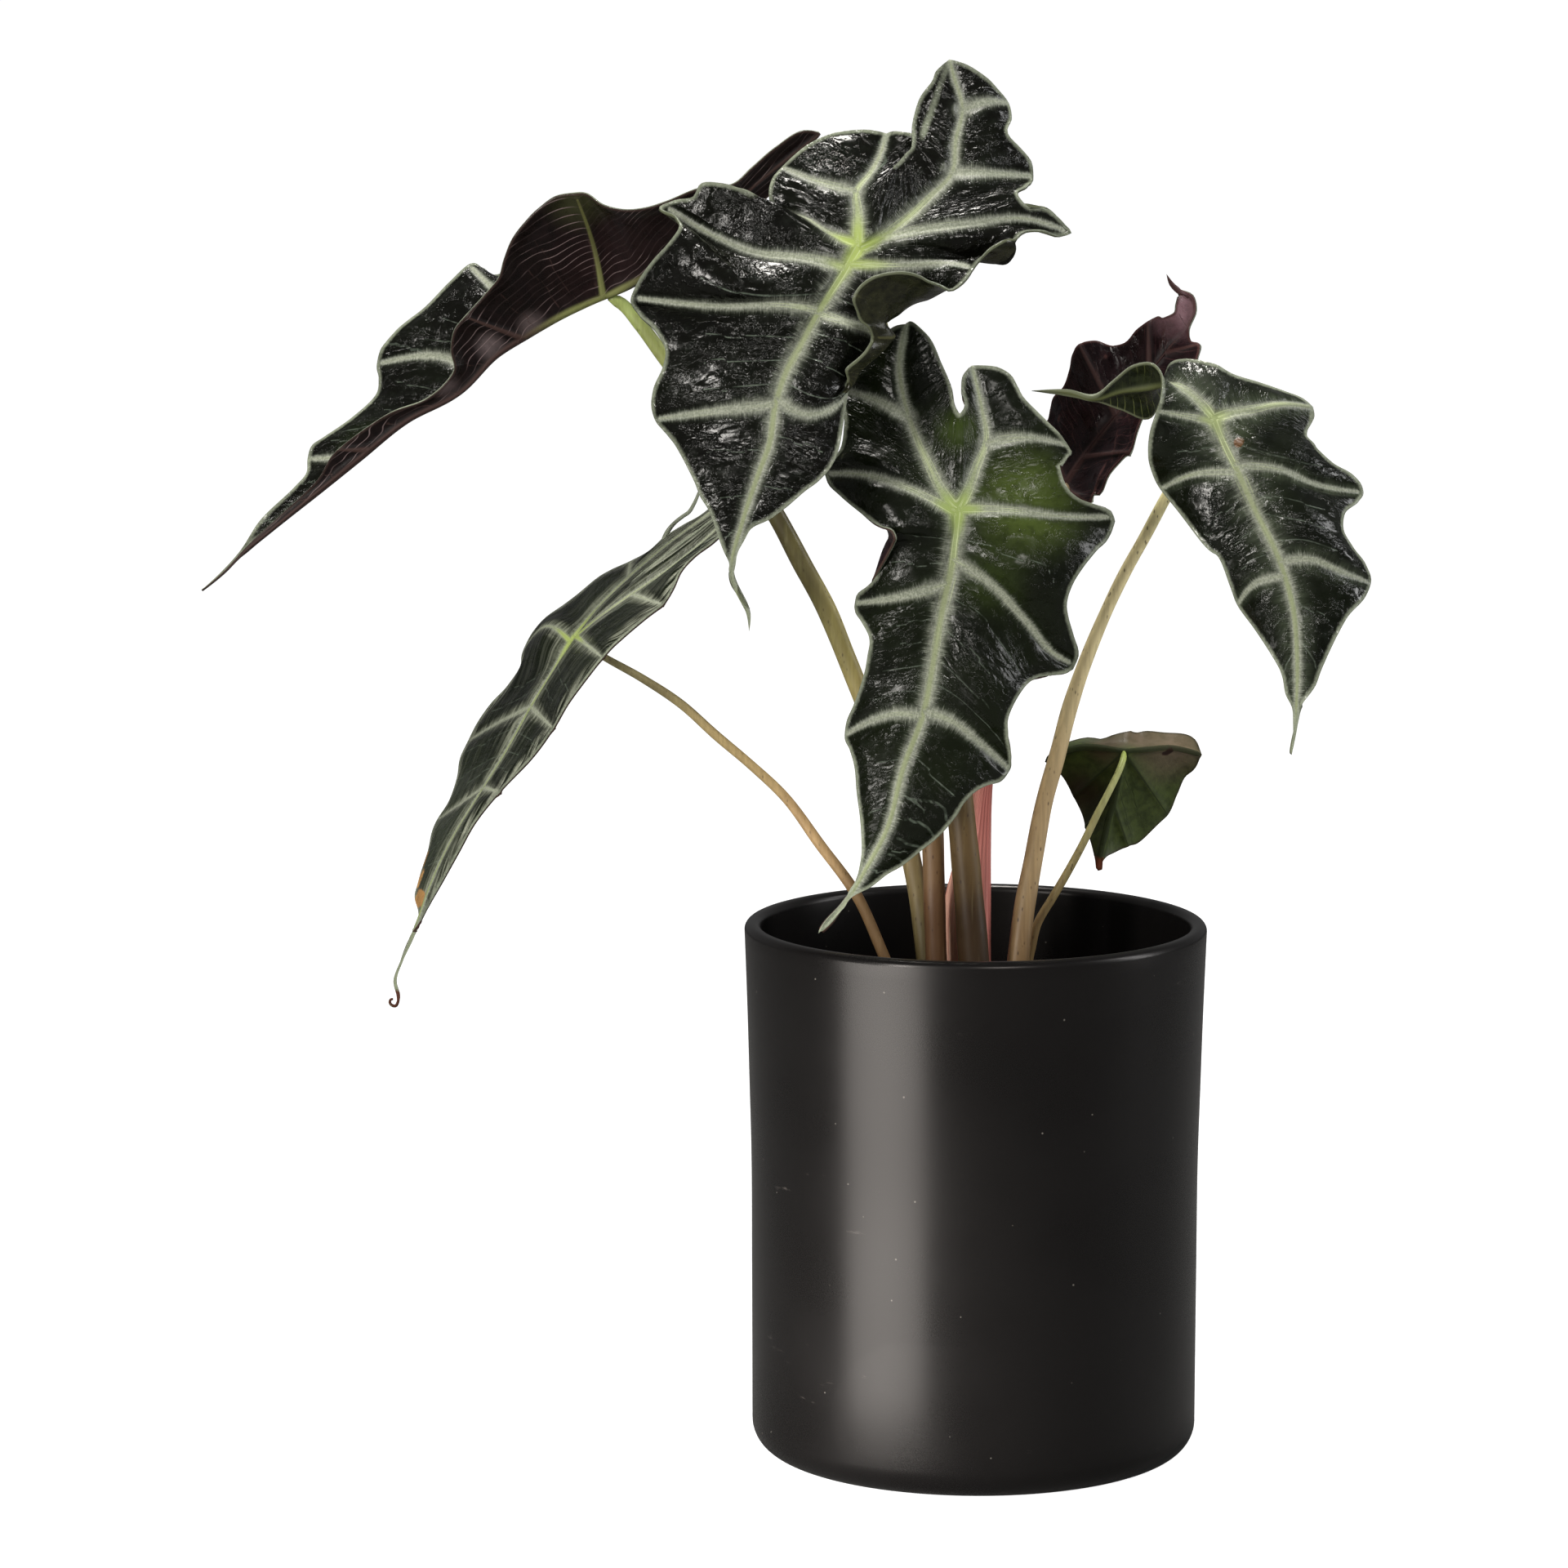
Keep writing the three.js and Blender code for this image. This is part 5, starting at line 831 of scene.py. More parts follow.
def blade_material(name, look):
    """Near-black gloss with feathered pale veins and edge; the underside purple-brown."""
    m = Look(name)
    u, along, gap, edge_gap, fine_gap, core, row_at, row_far, rank = map(m.fact, BLADE_FACTS)
    under = m.fact("under")

    def woven(down_rows, across_rows, third, detail, roughness=0.5):
        """Noise stretched along and across the rows of the blade."""
        places = m.at(m.times(row_at, down_rows), m.times(row_far, across_rows), third)
        return m.noise(places, detail, roughness)

    def brushed(down_vein, across_vein, third, detail, roughness=0.5):
        """Noise stretched along and across the nearest vein."""
        places = m.at(m.times(along, down_vein), m.times(u, across_vein), third)
        return m.noise(places, detail, roughness)

    def with_light_and_tint_patches(colour, glows, core_share, least):
        """A colour with round patches of other ones: painted light (light through the blade, sheen and
        highlights) and tints.
        """
        for position, radius, glow, amount in glows:
            near = m.times(m.near(position, core_share * radius, radius), amount)
            colour = m.mix(m.times(near, m.step(mottle, 0.2, 0.6, least, 1.0)), colour, glow)
        return colour

    hairs = brushed(2.6, 0.3, 3.0, 3.0, 0.8)
    tufts = brushed(0.35, 0.2, 8.0, 2.0)
    slow = m.cloud(0.05, 2.0)
    mottle = m.cloud(0.35, 4.0, 0.6)
    pucker = woven(0.13, 0.06, slow, 1.5)
    wrinkle = woven(0.42, 0.2, mottle, 2.0)
    crinkle = m.cloud(0.7, 2.0)
    folds = woven(0.2, 0.07, m.times(mottle, 1.5), 2.0, 0.6)
    creases = m.math("ABSOLUTE", m.add(m.times(folds, 2.0), -1.0))
    creases = m.power(m.add(1.0, m.times(creases, -2.2)), 4.0)
    busy = m.step(m.cloud(0.07, 2.0), 0.4, 0.62)
    speck = m.cloud(1.6, 2.0, 0.6)
    beside = m.math("MAXIMUM", m.step(u, 1.0, 4.2, 1.0, 0.1), m.step(edge_gap, 2.0, 5.5, 0.85, 0.1))
    # Painted sheen: pale grey streaks lengthwise near the veins and the edge
    silver = m.step(woven(0.05, 0.7, 11.0, 3.0, 0.6), 0.44, 0.64)
    silver = m.times(silver, m.times(beside, m.step(busy, 0.0, 1.0, 0.6, 1.0)))
    # Upper face: the dark field, its green patches, a painted sheen, round patches of painted light and tint,
    # painted sheen streaks and the grey bloom beside the veins
    dark = m.mix(m.step(slow, 0.35, 0.65), look["dark"], look["green"])
    dark = m.mix(m.times(m.step(mottle, 0.5, 0.8), 0.2), dark, FIELD_SHEEN)
    dark = with_light_and_tint_patches(dark, look["glows"], 0.1, 0.5)
    dark = m.mix(m.times(silver, look["silver"]), dark, SHEEN_STREAK)
    bloom = m.power(m.fall(u, 0.6, look["bloom_reach"]), 2.0)
    bloom = m.times(bloom, m.step(m.add(m.times(hairs, 0.6), m.times(tufts, 0.6)), 0.4, 0.8, 0.15, 1.0))
    upper = m.mix(m.times(bloom, look["bloom"]), dark, look["halo"])
    fine = m.fall(fine_gap, 0.1, look["fine_width"])
    fine = m.times(fine, m.step(mottle, 0.35, 0.65, 0.15, 1.0))
    upper = m.mix(m.times(fine, look["fine"]), upper, FINE_VEIN)
    # The veins: a grey feathered band, a yellow-green middle and a few bright threads
    reach = m.add(0.3, m.add(hairs, m.times(tufts, 0.5)))
    band = m.power(m.fall(m.math("DIVIDE", u, reach), 0.3, 1.5), 1.5)
    pale = m.mix(m.step(speck, 0.3, 0.7), look["vein"], look["vein_light"])
    pale = m.mix(m.step(hairs, 0.35, 0.6, 0.35, 0.0), pale, look["halo"])
    lime = m.times(m.fall(core, *look["lime_reach"]), m.step(u, 0.3, 1.1, 1.0, 0.1))
    middle = m.mix(m.fall(core, 5.0, look["core_reach"]), look["vein_core"], look["lime"])
    strength = m.math("MAXIMUM", m.add(look["core_side"], m.times(rank, look["core"])), lime)
    pale = m.mix(m.times(m.fall(u, 0.1, 0.55), strength), pale, middle)
    pale = m.mix(lime, pale, look["lime"])
    threads = m.step(brushed(0.06, 7.0, 1.0, 1.0), 0.56, 0.66)
    threads = m.times(threads, m.step(core, 6.0, 45.0, 0.7, 0.15))
    pale = m.mix(m.times(threads, m.fall(u, 0.5, 0.8)), pale, VEIN_THREAD)
    upper = m.mix(m.times(band, look["band"]), upper, pale)
    # Painted glints: short pale strokes along the vein edges
    glint_strokes = m.times(m.step(hairs, 0.6, 0.72), m.times(m.step(u, 0.5, 1.0), m.fall(u, 1.2, 2.2)))
    upper = m.mix(m.times(glint_strokes, look["glint_strokes"]), upper, GLINT_STROKE)
    rim_shift = m.swing(m.cloud(0.9, 3.0), 0.8)
    rim = m.fall(m.add(edge_gap, rim_shift), look["rim"] * 0.3, look["rim"] * 1.4)
    rim = m.times(rim, m.step(slow, 0.35, 0.6, 0.7, 0.95))
    upper = m.mix(rim, upper, m.mix(speck, look["rim_dark"], look["rim_light"]))
    # Under face
    back = m.mix(m.step(mottle, 0.3, 0.7), look["under_dark"], look["under_light"])
    # Round patches on the under face: painted highlights and painted light, with some tints
    back = with_light_and_tint_patches(back, look["under_glows"], 0.1, 0.6)
    weave = woven(0.07, 0.05, 5.0, 1.5)
    ruled = m.add(m.times(row_at, look["under_ruling"][0]), m.times(row_far, look["under_ruling"][1]))
    lines = m.math("SINE", m.add(ruled, m.times(weave, 20.0)))
    shown = m.step(m.cloud(0.06, 2.0), 0.46, 0.62, 0.1, 1.0)
    shown = m.times(m.times(shown, m.step(mottle, 0.3, 0.5, 0.5, 1.0)), look["under_lines"])
    lines = m.times(m.step(lines, 0.9, 1.0), shown)
    back = m.mix(lines, back, look["under_line"])
    back = m.mix(m.times(fine, 0.5), back, look["under_vein"])
    below = with_light_and_tint_patches(look["under_vein"], look["vein_glows"], 0.2, 1.0)
    back = m.mix(m.power(m.step(u, 0.2, look["under_width"], 0.9, 0.0), 1.5), back, below)
    back = m.mix(m.step(edge_gap, 0.3, 0.9, 0.7, 0.0), back, look["under_rim"])
    colour = m.mix(m.step(under, 0.45, 0.55), upper, back)
    for position, radius, stain in look["stains"]:
        wobble = m.swing(mottle, radius * 0.9)
        near = m.near(position, 0.7 * radius, radius, wobble)
        colour = m.mix(near, colour, stain)
    calm = m.times(m.step(gap, 0.5, 3.0), m.step(under, 0.45, 0.55, 1.0, look["under_bump"]))
    troubled = m.times(calm, busy)
    normal = None
    for pattern, where, height in (
        (pucker, calm, 5.0), (wrinkle, troubled, 2.2), (crinkle, troubled, 0.7), (creases, calm, 0.8),
    ):
        normal = m.bump(m.times(pattern, where), look["bump"] * height, 0.8, normal)
    relief = m.add(m.times(fine, -0.6), m.times(band, -0.3))
    relief = m.add(relief, m.times(hairs, m.times(band, 0.7)))
    normal = m.bump(relief, 0.22, 0.7, normal)
    rough = m.step(mottle, 0.3, 0.7, look["rough"] - 0.04, look["rough"] + 0.08)
    rough = m.add(rough, m.times(band, 0.25))
    rough = m.add(rough, m.times(bloom, 0.1))
    rough = m.add(rough, m.times(under, look["under_rough"]))
    return m.finish(
        Base_Color=colour, Roughness=rough, Normal=normal, Specular_IOR_Level=look["specular"],
    )


# Colours of the stalks' streaks and flecks
STREAK_DARK = srgb(70, 48, 30)
STREAK_PALE = srgb(170, 156, 120)
FLECK = srgb(52, 32, 20)


def stalk_material(name, colours_and_shade, flecks):
    """Colours from foot to top, with painted shade at the foot and painted light high on some, fine
    lengthwise streaks and dark flecks.
    """
    m = Look(name)
    along = m.fact("along")
    streak = m.noise(m.stretched(0.9, 0.9, 0.05), 3.0, 0.6)
    patch = m.noise(m.stretched(0.12, 0.12, 0.05), 3.0)
    place_on = m.add(along, m.swing(patch, 0.12))
    colour = srgb(*colours_and_shade[0][1])
    for (a, _), (b, tone) in zip(colours_and_shade, colours_and_shade[1:]):
        colour = m.mix(m.step(place_on, a, b), colour, srgb(*tone))
    colour = m.mix(m.step(streak, 0.35, 0.7, 0.25, 0.0), colour, STREAK_DARK)
    colour = m.mix(m.step(streak, 0.55, 0.8, 0.0, 0.15), colour, STREAK_PALE)
    fleck = m.cells(m.stretched(1.0, 1.0, 0.38), 0.75)
    some = m.noise(m.stretched(0.45, 0.45, 0.2), 2.0)
    spots = m.times(m.fall(fleck, 0.1, 0.27), m.step(some, 0.42, 0.56))
    colour = m.mix(m.times(spots, flecks), colour, FLECK)
    normal = m.bump(m.add(streak, m.times(spots, 0.4)), 0.03, 0.5)
    rough = m.step(patch, 0.3, 0.7, 0.42, 0.55)
    return m.finish(Base_Color=colour, Roughness=rough, Normal=normal, Specular_IOR_Level=0.45)


def glaze_material():
    """Matt black glaze with a soft sheen, pinholes and a few rubbed marks."""
    m = Look("black_glaze")
    broad = m.cloud(0.02, 3.0)
    grain = m.cloud(2.2, 3.0, 0.6)
    dots = m.cells(m.stretched(0.12, 0.12, 0.12))
    dust = m.fall(dots, 0.02, 0.045)
    colour = m.mix(m.step(broad, 0.35, 0.65), srgb(11, 10, 10), srgb(14, 13, 13))
    colour = m.mix(m.times(m.step(grain, 0.55, 0.8), 0.3), colour, srgb(24, 22, 21))
    colour = m.mix(m.times(dust, 0.5), colour, srgb(120, 116, 110))
    rub = m.noise(m.stretched(0.06, 0.06, 0.3), 5.0, 0.7)
    rub = m.times(m.step(rub, 0.64, 0.74), m.step(m.cloud(0.03), 0.55, 0.65))
    colour = m.mix(m.times(rub, 0.25), colour, srgb(110, 104, 100))
    rough = m.step(broad, 0.3, 0.7, 0.27, 0.31)
    rough = m.add(rough, m.swing(grain, 0.06))
    return m.finish(
        Base_Color=colour, Roughness=rough, Normal=m.bump(grain, 0.03, 0.4),
        Specular_IOR_Level=0.26, Specular_Tint=(1.0, 0.96, 0.95, 1.0),
    )


def plastic_material():
    m = Look("nursery_plastic")
    broad = m.cloud(0.06, 4.0)
    scuff = m.noise(m.stretched(0.5, 0.5, 0.08), 5.0, 0.65)
    colour = m.mix(m.step(broad, 0.3, 0.7), srgb(52, 36, 30), srgb(62, 45, 37))
    colour = m.mix(m.step(scuff, 0.6, 0.75, 0.0, 0.35), colour, srgb(112, 92, 78))
    normal = m.bump(scuff, 0.08, 0.5)
    return m.finish(Base_Color=colour, Roughness=m.step(scuff, 0.3, 0.7, 0.45, 0.62), Normal=normal)


def soil_material():
    m = Look("potting_soil")
    tone = m.cloud(0.5, 5.0, 0.7)
    fibre = m.noise(m.stretched(0.4, 2.2, 1.0), 4.0, 0.6)
    shade = m.fact("shade")
    colour = m.mix(m.step(tone, 0.3, 0.7), srgb(34, 22, 15), srgb(74, 52, 36))
    colour = m.mix(m.step(fibre, 0.6, 0.75, 0.0, 0.6), colour, srgb(112, 84, 58))
    colour = m.mix(m.step(shade, 0.3, 0.6), colour, srgb(96, 62, 40))
    colour = m.mix(m.step(shade, 0.85, 0.95), colour, srgb(205, 200, 188))
    normal = m.bump(m.add(tone, m.times(fibre, 0.5)), 0.6, 0.9)
    return m.finish(Base_Color=colour, Roughness=0.92, Normal=normal)


def stub_material():
    m = Look("rootstock")
    rings = m.noise(m.stretched(0.12, 0.12, 1.1), 4.0, 0.6)
    fibre = m.noise(m.stretched(1.4, 1.4, 0.2), 4.0, 0.6)
    colour = m.mix(m.step(rings, 0.3, 0.7), srgb(62, 42, 28), srgb(122, 92, 62))
    colour = m.mix(m.step(fibre, 0.55, 0.75, 0.0, 0.6), colour, srgb(150, 118, 82))
    normal = m.bump(m.add(rings, fibre), 0.5, 0.8)
    return m.finish(Base_Color=colour, Roughness=0.85, Normal=normal)


def sheath_material():
    m = Look("papery_sheath")
    height = m.fact("along")
    line = m.noise(m.at(m.times(m.fact("across"), 13.0), m.times(height, 1.4), 0.0), 4.0, 0.6)
    blotch = m.noise(m.stretched(0.1, 0.1, 0.04), 4.0, 0.6)
    sideways = m.add(m.fact("across"), m.swing(blotch, 0.8))
    colour = m.mix(m.step(sideways, -0.5, 0.35), srgb(214, 174, 152), srgb(206, 134, 124))
    colour = m.mix(m.step(height, 0.35, 0.9, 0.0, 0.6), colour, srgb(204, 118, 112))
    colour = m.mix(m.step(line, 0.35, 0.62, 0.6, 0.0), colour, srgb(172, 82, 76))
    colour = m.mix(m.step(line, 0.55, 0.75, 0.0, 0.5), colour, srgb(232, 186, 166))
    colour = m.mix(m.step(blotch, 0.25, 0.4, 0.4, 0.0), colour, srgb(150, 82, 66))
    normal = m.bump(line, 0.25, 0.8)
    return m.finish(Base_Color=colour, Roughness=m.step(line, 0.3, 0.7, 0.42, 0.6), Normal=normal)


def place(points):
    """Seen points to true ones, in millimetres."""
    points = np.atleast_2d(np.array(points, float))
    reach = (points[:, 2] - EYE[1]) / -EYE[1]
    seen = np.stack([points[:, 0], np.zeros(len(points)), points[:, 1]], 1)
    return EYE + (seen - EYE) * reach[:, None]


def seen_from_eye(points):
    """Where true points are seen on the upright plane through the pot's axis, as x and z."""
    reach = (points[:, 1] - EYE[1]) / -EYE[1]
    return (EYE + (points - EYE) / reach[:, None])[:, [0, 2]]


def travelled(points):
    """Distance along a line of points, at each of them."""
    steps = np.linalg.norm(np.diff(points, axis=0), axis=1)
    return np.concatenate([[0], np.cumsum(steps)])


def smooth_curve(knots, values):
    """Smooth curve through vectors at uneven knots, as a function of an array."""
    knots = np.asarray(knots, float)
    values = np.asarray(values, float)
    wide = (-1,) + (1,) * (values.ndim - 1)
    steps = np.diff(knots)
    slopes = np.diff(values, axis=0) / steps.reshape(wide)
    tangents = np.repeat(slopes[:1], len(knots), axis=0)
    if len(knots) > 2:
        before = steps[1:].reshape(wide) * slopes[:-1]
        after = steps[:-1].reshape(wide) * slopes[1:]
        tangents[1:-1] = (before + after) / (steps[1:] + steps[:-1]).reshape(wide)
        tangents[0] = 1.5 * slopes[0] - 0.5 * tangents[1]
        tangents[-1] = 1.5 * slopes[-1] - 0.5 * tangents[-2]

    def curve(x):
        x = np.clip(np.asarray(x, float), knots[0], knots[-1])
        i = np.clip(np.searchsorted(knots, x, side="right") - 1, 0, len(steps) - 1)
        t = ((x - knots[i]) / steps[i]).reshape(wide)
        h = steps[i].reshape(wide)
        start = (2 * t**3 - 3 * t**2 + 1) * values[i] + (t**3 - 2 * t**2 + t) * h * tangents[i]
        end = (3 * t**2 - 2 * t**3) * values[i + 1] + (t**3 - t**2) * h * tangents[i + 1]
        return start + end
    return curve


def chord_curve(points):
    """A smooth curve by distance along its points, and those distances."""
    far = travelled(points)
    return smooth_curve(far, points), far


def thick_curve(knots):
    """The same through seen points that have the girth last."""
    knots = np.array(knots, float)
    return chord_curve(np.hstack([place(knots[:, :3]), knots[:, 3:]]))


class Side:
    """One side of a blade, with its ribs' stations as distances along the skeleton."""

    def __init__(self, leaf, name):
        side = leaf[name]
        junction = place(leaf["junction"])
        self.midrib, self.mid_far = chord_curve(np.vstack([junction, place(leaf["midrib"])]))
        self.lobe, self.lobe_far = chord_curve(np.vstack([junction, place(side["lobe"])]))
        self.lobe_end = -self.lobe_far[-1]
        self.tip = self.mid_far[-1]
        self.outer = [self.placed(r) for r in side["outer"]]
        self.inner = [self.placed(r) for r in side["inner"]]
        notch = np.vstack([junction, place(leaf["sinus"])])
        lobe_tip = (self.lobe_end, None, self.spine([self.lobe_end])[0])
        blade_tip = (self.tip, None, self.spine([self.tip])[0])
        self.outer_patch = self.patch(self.outer, lobe_tip, blade_tip)
        self.inner_patch = self.patch(self.inner, (0.0, notch, notch[-1]), lobe_tip)

    def placed(self, one):
        station, through, edge, is_vein = one
        far = self.lobe_far if station < 0 else self.mid_far
        at = np.sign(station) * np.interp(abs(station), range(len(far)), far)
        middle = place(through) if len(through) else np.empty((0, 3))
        return at, middle, place(edge), is_vein

    def spine(self, at):
        at = np.asarray(at, float)
        return np.where((at < 0)[:, None], self.lobe(-at), self.midrib(at))

    def patch(self, ribs, first, last):
        """Knots of a patch: its rib curves, and its edge points with their distances."""
        curves = [(first[0], first[1], first[2])]
        edge_at = [first[0]]
        edge = [first[2]]
        for at, through, margin, _ in ribs:
            chain = np.vstack([edge[-1], margin])
            far = travelled(chain)
            start = curves[-1][0]
            edge_at.extend(start + (at - start) * far[1:] / far[-1])
            edge.extend(chain[1:])
            curves.append((at, np.vstack([self.spine([at]), through, chain[-1:]]), chain[-1]))
        curves.append((last[0], None, last[2]))
        edge_at.append(last[0])
        edge.append(last[2])
        return curves, np.array(edge_at), np.array(edge)

    def rows(self, patch, stations, across):
        """The patch as rows of points from the skeleton across to the edge."""
        curves, edge_at, edge = patch
        w = np.linspace(0, 1, across + 1)
        way = np.sign(curves[-1][0] - curves[0][0])
        rib_rows = []
        for _, through, end in curves:
            if through is None:
                rib_rows.append(np.repeat(end[None], across + 1, 0))
            else:
                curve, far = chord_curve(through)
                rib_rows.append(curve(w * far[-1]))
        at = way * np.array([c[0] for c in curves])
        loft = smooth_curve(at, np.array(rib_rows))(way * stations)
        margin = smooth_curve(way * edge_at, edge)(way * stations)
        root_shift = (self.spine(stations) - loft[:, 0])[:, None]
        edge_shift = (margin - loft[:, -1])[:, None]
        w = w[None, :, None]
        return loft + root_shift * (1 - w) ** 2 + edge_shift * w**2


def row_stations(marks, patches, step, nearest=0.4):
    """Rows at the marks, and between them wherever the skeleton and edges are long."""
    marks = sorted(marks)
    kept = [marks[0]]
    for m in marks:
        if m - kept[-1] > nearest and marks[-1] - m > nearest:
            kept.append(m)
    kept.append(marks[-1])
    lengths = []
    for _, edge_at, edge in patches:
        order = np.argsort(edge_at, kind="stable")
        lengths.append((edge_at[order], travelled(edge[order])))
    stations = [kept[0]]
    for a, b in zip(kept, kept[1:]):
        span = b - a
        for at, far in lengths:
            span += np.interp(b, at, far) - np.interp(a, at, far)
        parts = max(1, round(span / step))
        stations.extend(a + (b - a) * np.arange(1, parts + 1) / parts)
    return np.array(stations)


def to_line(points, line):
    """Distance from points to a line of points, and how far along it the nearest point is."""
    best = np.full(len(points), 1e9)
    along = np.zeros(len(points))
    far = travelled(line)
    for k in range(len(line) - 1):
        start = line[k]
        leg = line[k + 1] - start
        size = leg @ leg
        if size < 1e-9:
            continue
        t = np.clip((points - start) @ leg / size, 0, 1)
        distance = np.linalg.norm(points - start - t[:, None] * leg, axis=1)
        nearer = distance < best
        best = np.where(nearer, distance, best)
        along = np.where(nearer, far[k] + t * (far[k + 1] - far[k]), along)
    return best, along


def thin(line, spacing):
    """A line with its points about one spacing apart."""
    far = travelled(line)
    count = max(2, int(far[-1] / spacing) + 1)
    at = np.linspace(0, far[-1], count)
    return np.stack([np.interp(at, far, values) for values in line.T], 1)


def fine_lines(side, stations, rows, look):
    """Thin side veins: rows between the main veins, wavering a little and stopping short."""
    marks = [0.0] + sorted(r[0] for r in side.outer if r[3] and r[0] > 0) + [side.tip * 0.93]
    lines = []
    for a, b in zip(marks, marks[1:]):
        if b - a < look["fine_gap"]:
            continue
        count = int(np.clip((b - a) / look["fine_gap"], 1, 4))
        for k in range(count):
            start = a + (b - a) * (k + 1 + rng.uniform(-0.2, 0.2)) / (count + 1)
            bend = rng.uniform(-0.1, 0.25) * (b - a) / (count + 1)
            reach = rng.uniform(0.55, 0.92)
            w = np.linspace(0, reach, 16)
            at = start + bend * w**2 + 0.8 * np.sin(w * rng.uniform(9, 15) + rng.uniform(0, 6)) * w
            i = np.clip(np.searchsorted(stations, at), 0, len(stations) - 1)
            j = np.round(w * (rows.shape[1] - 1)).astype(int)
            lines.append(rows[i, j])
    return lines


def lifted(line, sheet_points):
    """A line seen from the eye, as x and z, laid on the nearest layer of a sheet."""
    line = np.array(line, float)
    seen = seen_from_eye(sheet_points)
    picks = []
    for p in thin(line, 1.5):
        distance = ((seen - p) ** 2).sum(1)
        close = np.flatnonzero(distance < 1.0)
        if len(close):
            front = sheet_points[close, 1].min()
            close = close[sheet_points[close, 1] < front + 1.5]
            picks.append(close[np.argmin(distance[close])])
    return sheet_points[picks]


def blade_sheet(leaf, look):
    """Welded points and faces of a blade, with what the shader needs to know of each point."""
    sides = [Side(leaf, "left"), Side(leaf, "right")]
    mid_marks = [r[0] for s in sides for r in s.outer if r[0] > 0.4]
    mid = row_stations([0, *mid_marks, sides[0].tip], [s.outer_patch for s in sides], ROW_STEP)
    junction = place(leaf["junction"])[0]
    points, faces, facts = [], [], []
    offset = 0
    grids = []
    for side in sides:
        marks = [r[0] for r in side.outer + side.inner if r[0] < -0.4]
        lobe = row_stations([side.lobe_end, *marks, 0], [side.outer_patch], ROW_STEP)
        stations = np.concatenate([lobe[:-1], mid])
        outer = side.rows(side.outer_patch, stations, CELLS_ACROSS)
        inner = side.rows(side.inner_patch, lobe[::-1], CELLS_ACROSS * 2 // 3)
        grids.append((lobe, stations, outer, inner))
    whole = np.vstack([grid.reshape(-1, 3) for g in grids for grid in g[2:]])
    drawn = [lifted(line, whole) for line in leaf.get("fine_veins", [])]
    for which, side in enumerate(sides):
        lobe, stations, outer, inner = grids[which]
        midrib = thin(outer[stations >= 0, 0], 2.0)
        lobe_vein = thin(outer[stations <= 0, 0][::-1], 2.0)
        lines = [(midrib, *look["midrib"], 1.0), (lobe_vein, *look["lobe"], 0.5)]
        patches = ((side.outer, outer, stations, 0.97), (side.inner, inner, lobe[::-1], 1.0))
        for ribs, rows, row_at, share in patches:
            for at, _, _, is_vein in ribs:
                if is_vein:
                    row = rows[np.argmin(abs(row_at - at))]
                    lines.append((thin(row[: int(len(row) * share)], 2.0), *look["side"], 0.0))
        margin = thin(np.vstack([outer[:, -1], inner[::-1, -1]]), 1.5)
        fine = fine_lines(side, stations, outer, look)
        for grid, at in ((outer, stations), (inner, lobe[::-1])):
            flat = grid.reshape(-1, 3)
            row_at = np.repeat(at, grid.shape[1])
            legs = np.linalg.norm(np.diff(grid, axis=1), axis=2)
            row_far = np.hstack([np.zeros((len(at), 1)), np.cumsum(legs, axis=1)]).ravel()
            u = np.full(len(flat), FAR)
            gap = np.full(len(flat), FAR)
            along = np.zeros(len(flat))
            rank = np.zeros(len(flat))
            for k, (line, wide, narrow, kind) in enumerate(lines):
                distance, t = to_line(flat, line)
                half = wide + (narrow - wide) * (t / travelled(line)[-1]) ** 0.8
                nearer = distance / half < u
                along = np.where(nearer, t + 37.0 * k, along)
                rank = np.where(nearer, kind, rank)
                u = np.minimum(u, distance / half)
                gap = np.minimum(gap, distance)
            thin_gap = np.full(len(flat), FAR)
            for line in fine:
                thin_gap = np.minimum(thin_gap, to_line(flat, line)[0] * FINE_NARROWING)
            for line in drawn:
                if len(line) > 1:
                    thin_gap = np.minimum(thin_gap, to_line(flat, line)[0] / DRAWN_WIDTH)
            edge_gap = to_line(flat, margin)[0]
            core = np.linalg.norm(flat - junction, axis=1)
            points.append(flat)
            facts.append(np.stack([u, along, gap, edge_gap, thin_gap, core, row_at, row_far, rank], 1))
            n, m = grid.shape[:2]
            a = offset + (np.arange(n - 1)[:, None] * m + np.arange(m - 1)[None]).ravel()
            quads = np.stack([a, a + m, a + m + 1, a + 1], 1)
            faces.append(quads[:, ::-1] if which else quads)
            offset += len(flat)
    points = np.vstack(points)
    facts = np.vstack(facts)
    faces = np.vstack(faces)
    _, first, back = np.unique(np.round(points, 3), axis=0, return_index=True, return_inverse=True)
    faces = back.ravel()[faces]
    return points[first], faces, facts[first]


def sheet_normals(points, faces):
    diagonals = points[faces]
    n = np.cross(diagonals[:, 2] - diagonals[:, 0], diagonals[:, 3] - diagonals[:, 1])
    total = np.zeros_like(points)
    for k in range(4):
        np.add.at(total, faces[:, k], n)
    return total / np.maximum(np.linalg.norm(total, axis=1), 1e-9)[:, None]


def bell(x, width):
    """One at nought, falling off over about a width."""
    return np.exp(-((x / width) ** 2))


def smooth_step(x, start, end):
    t = np.clip((x - start) / (end - start), 0, 1)
    return t * t * (3 - 2 * t)


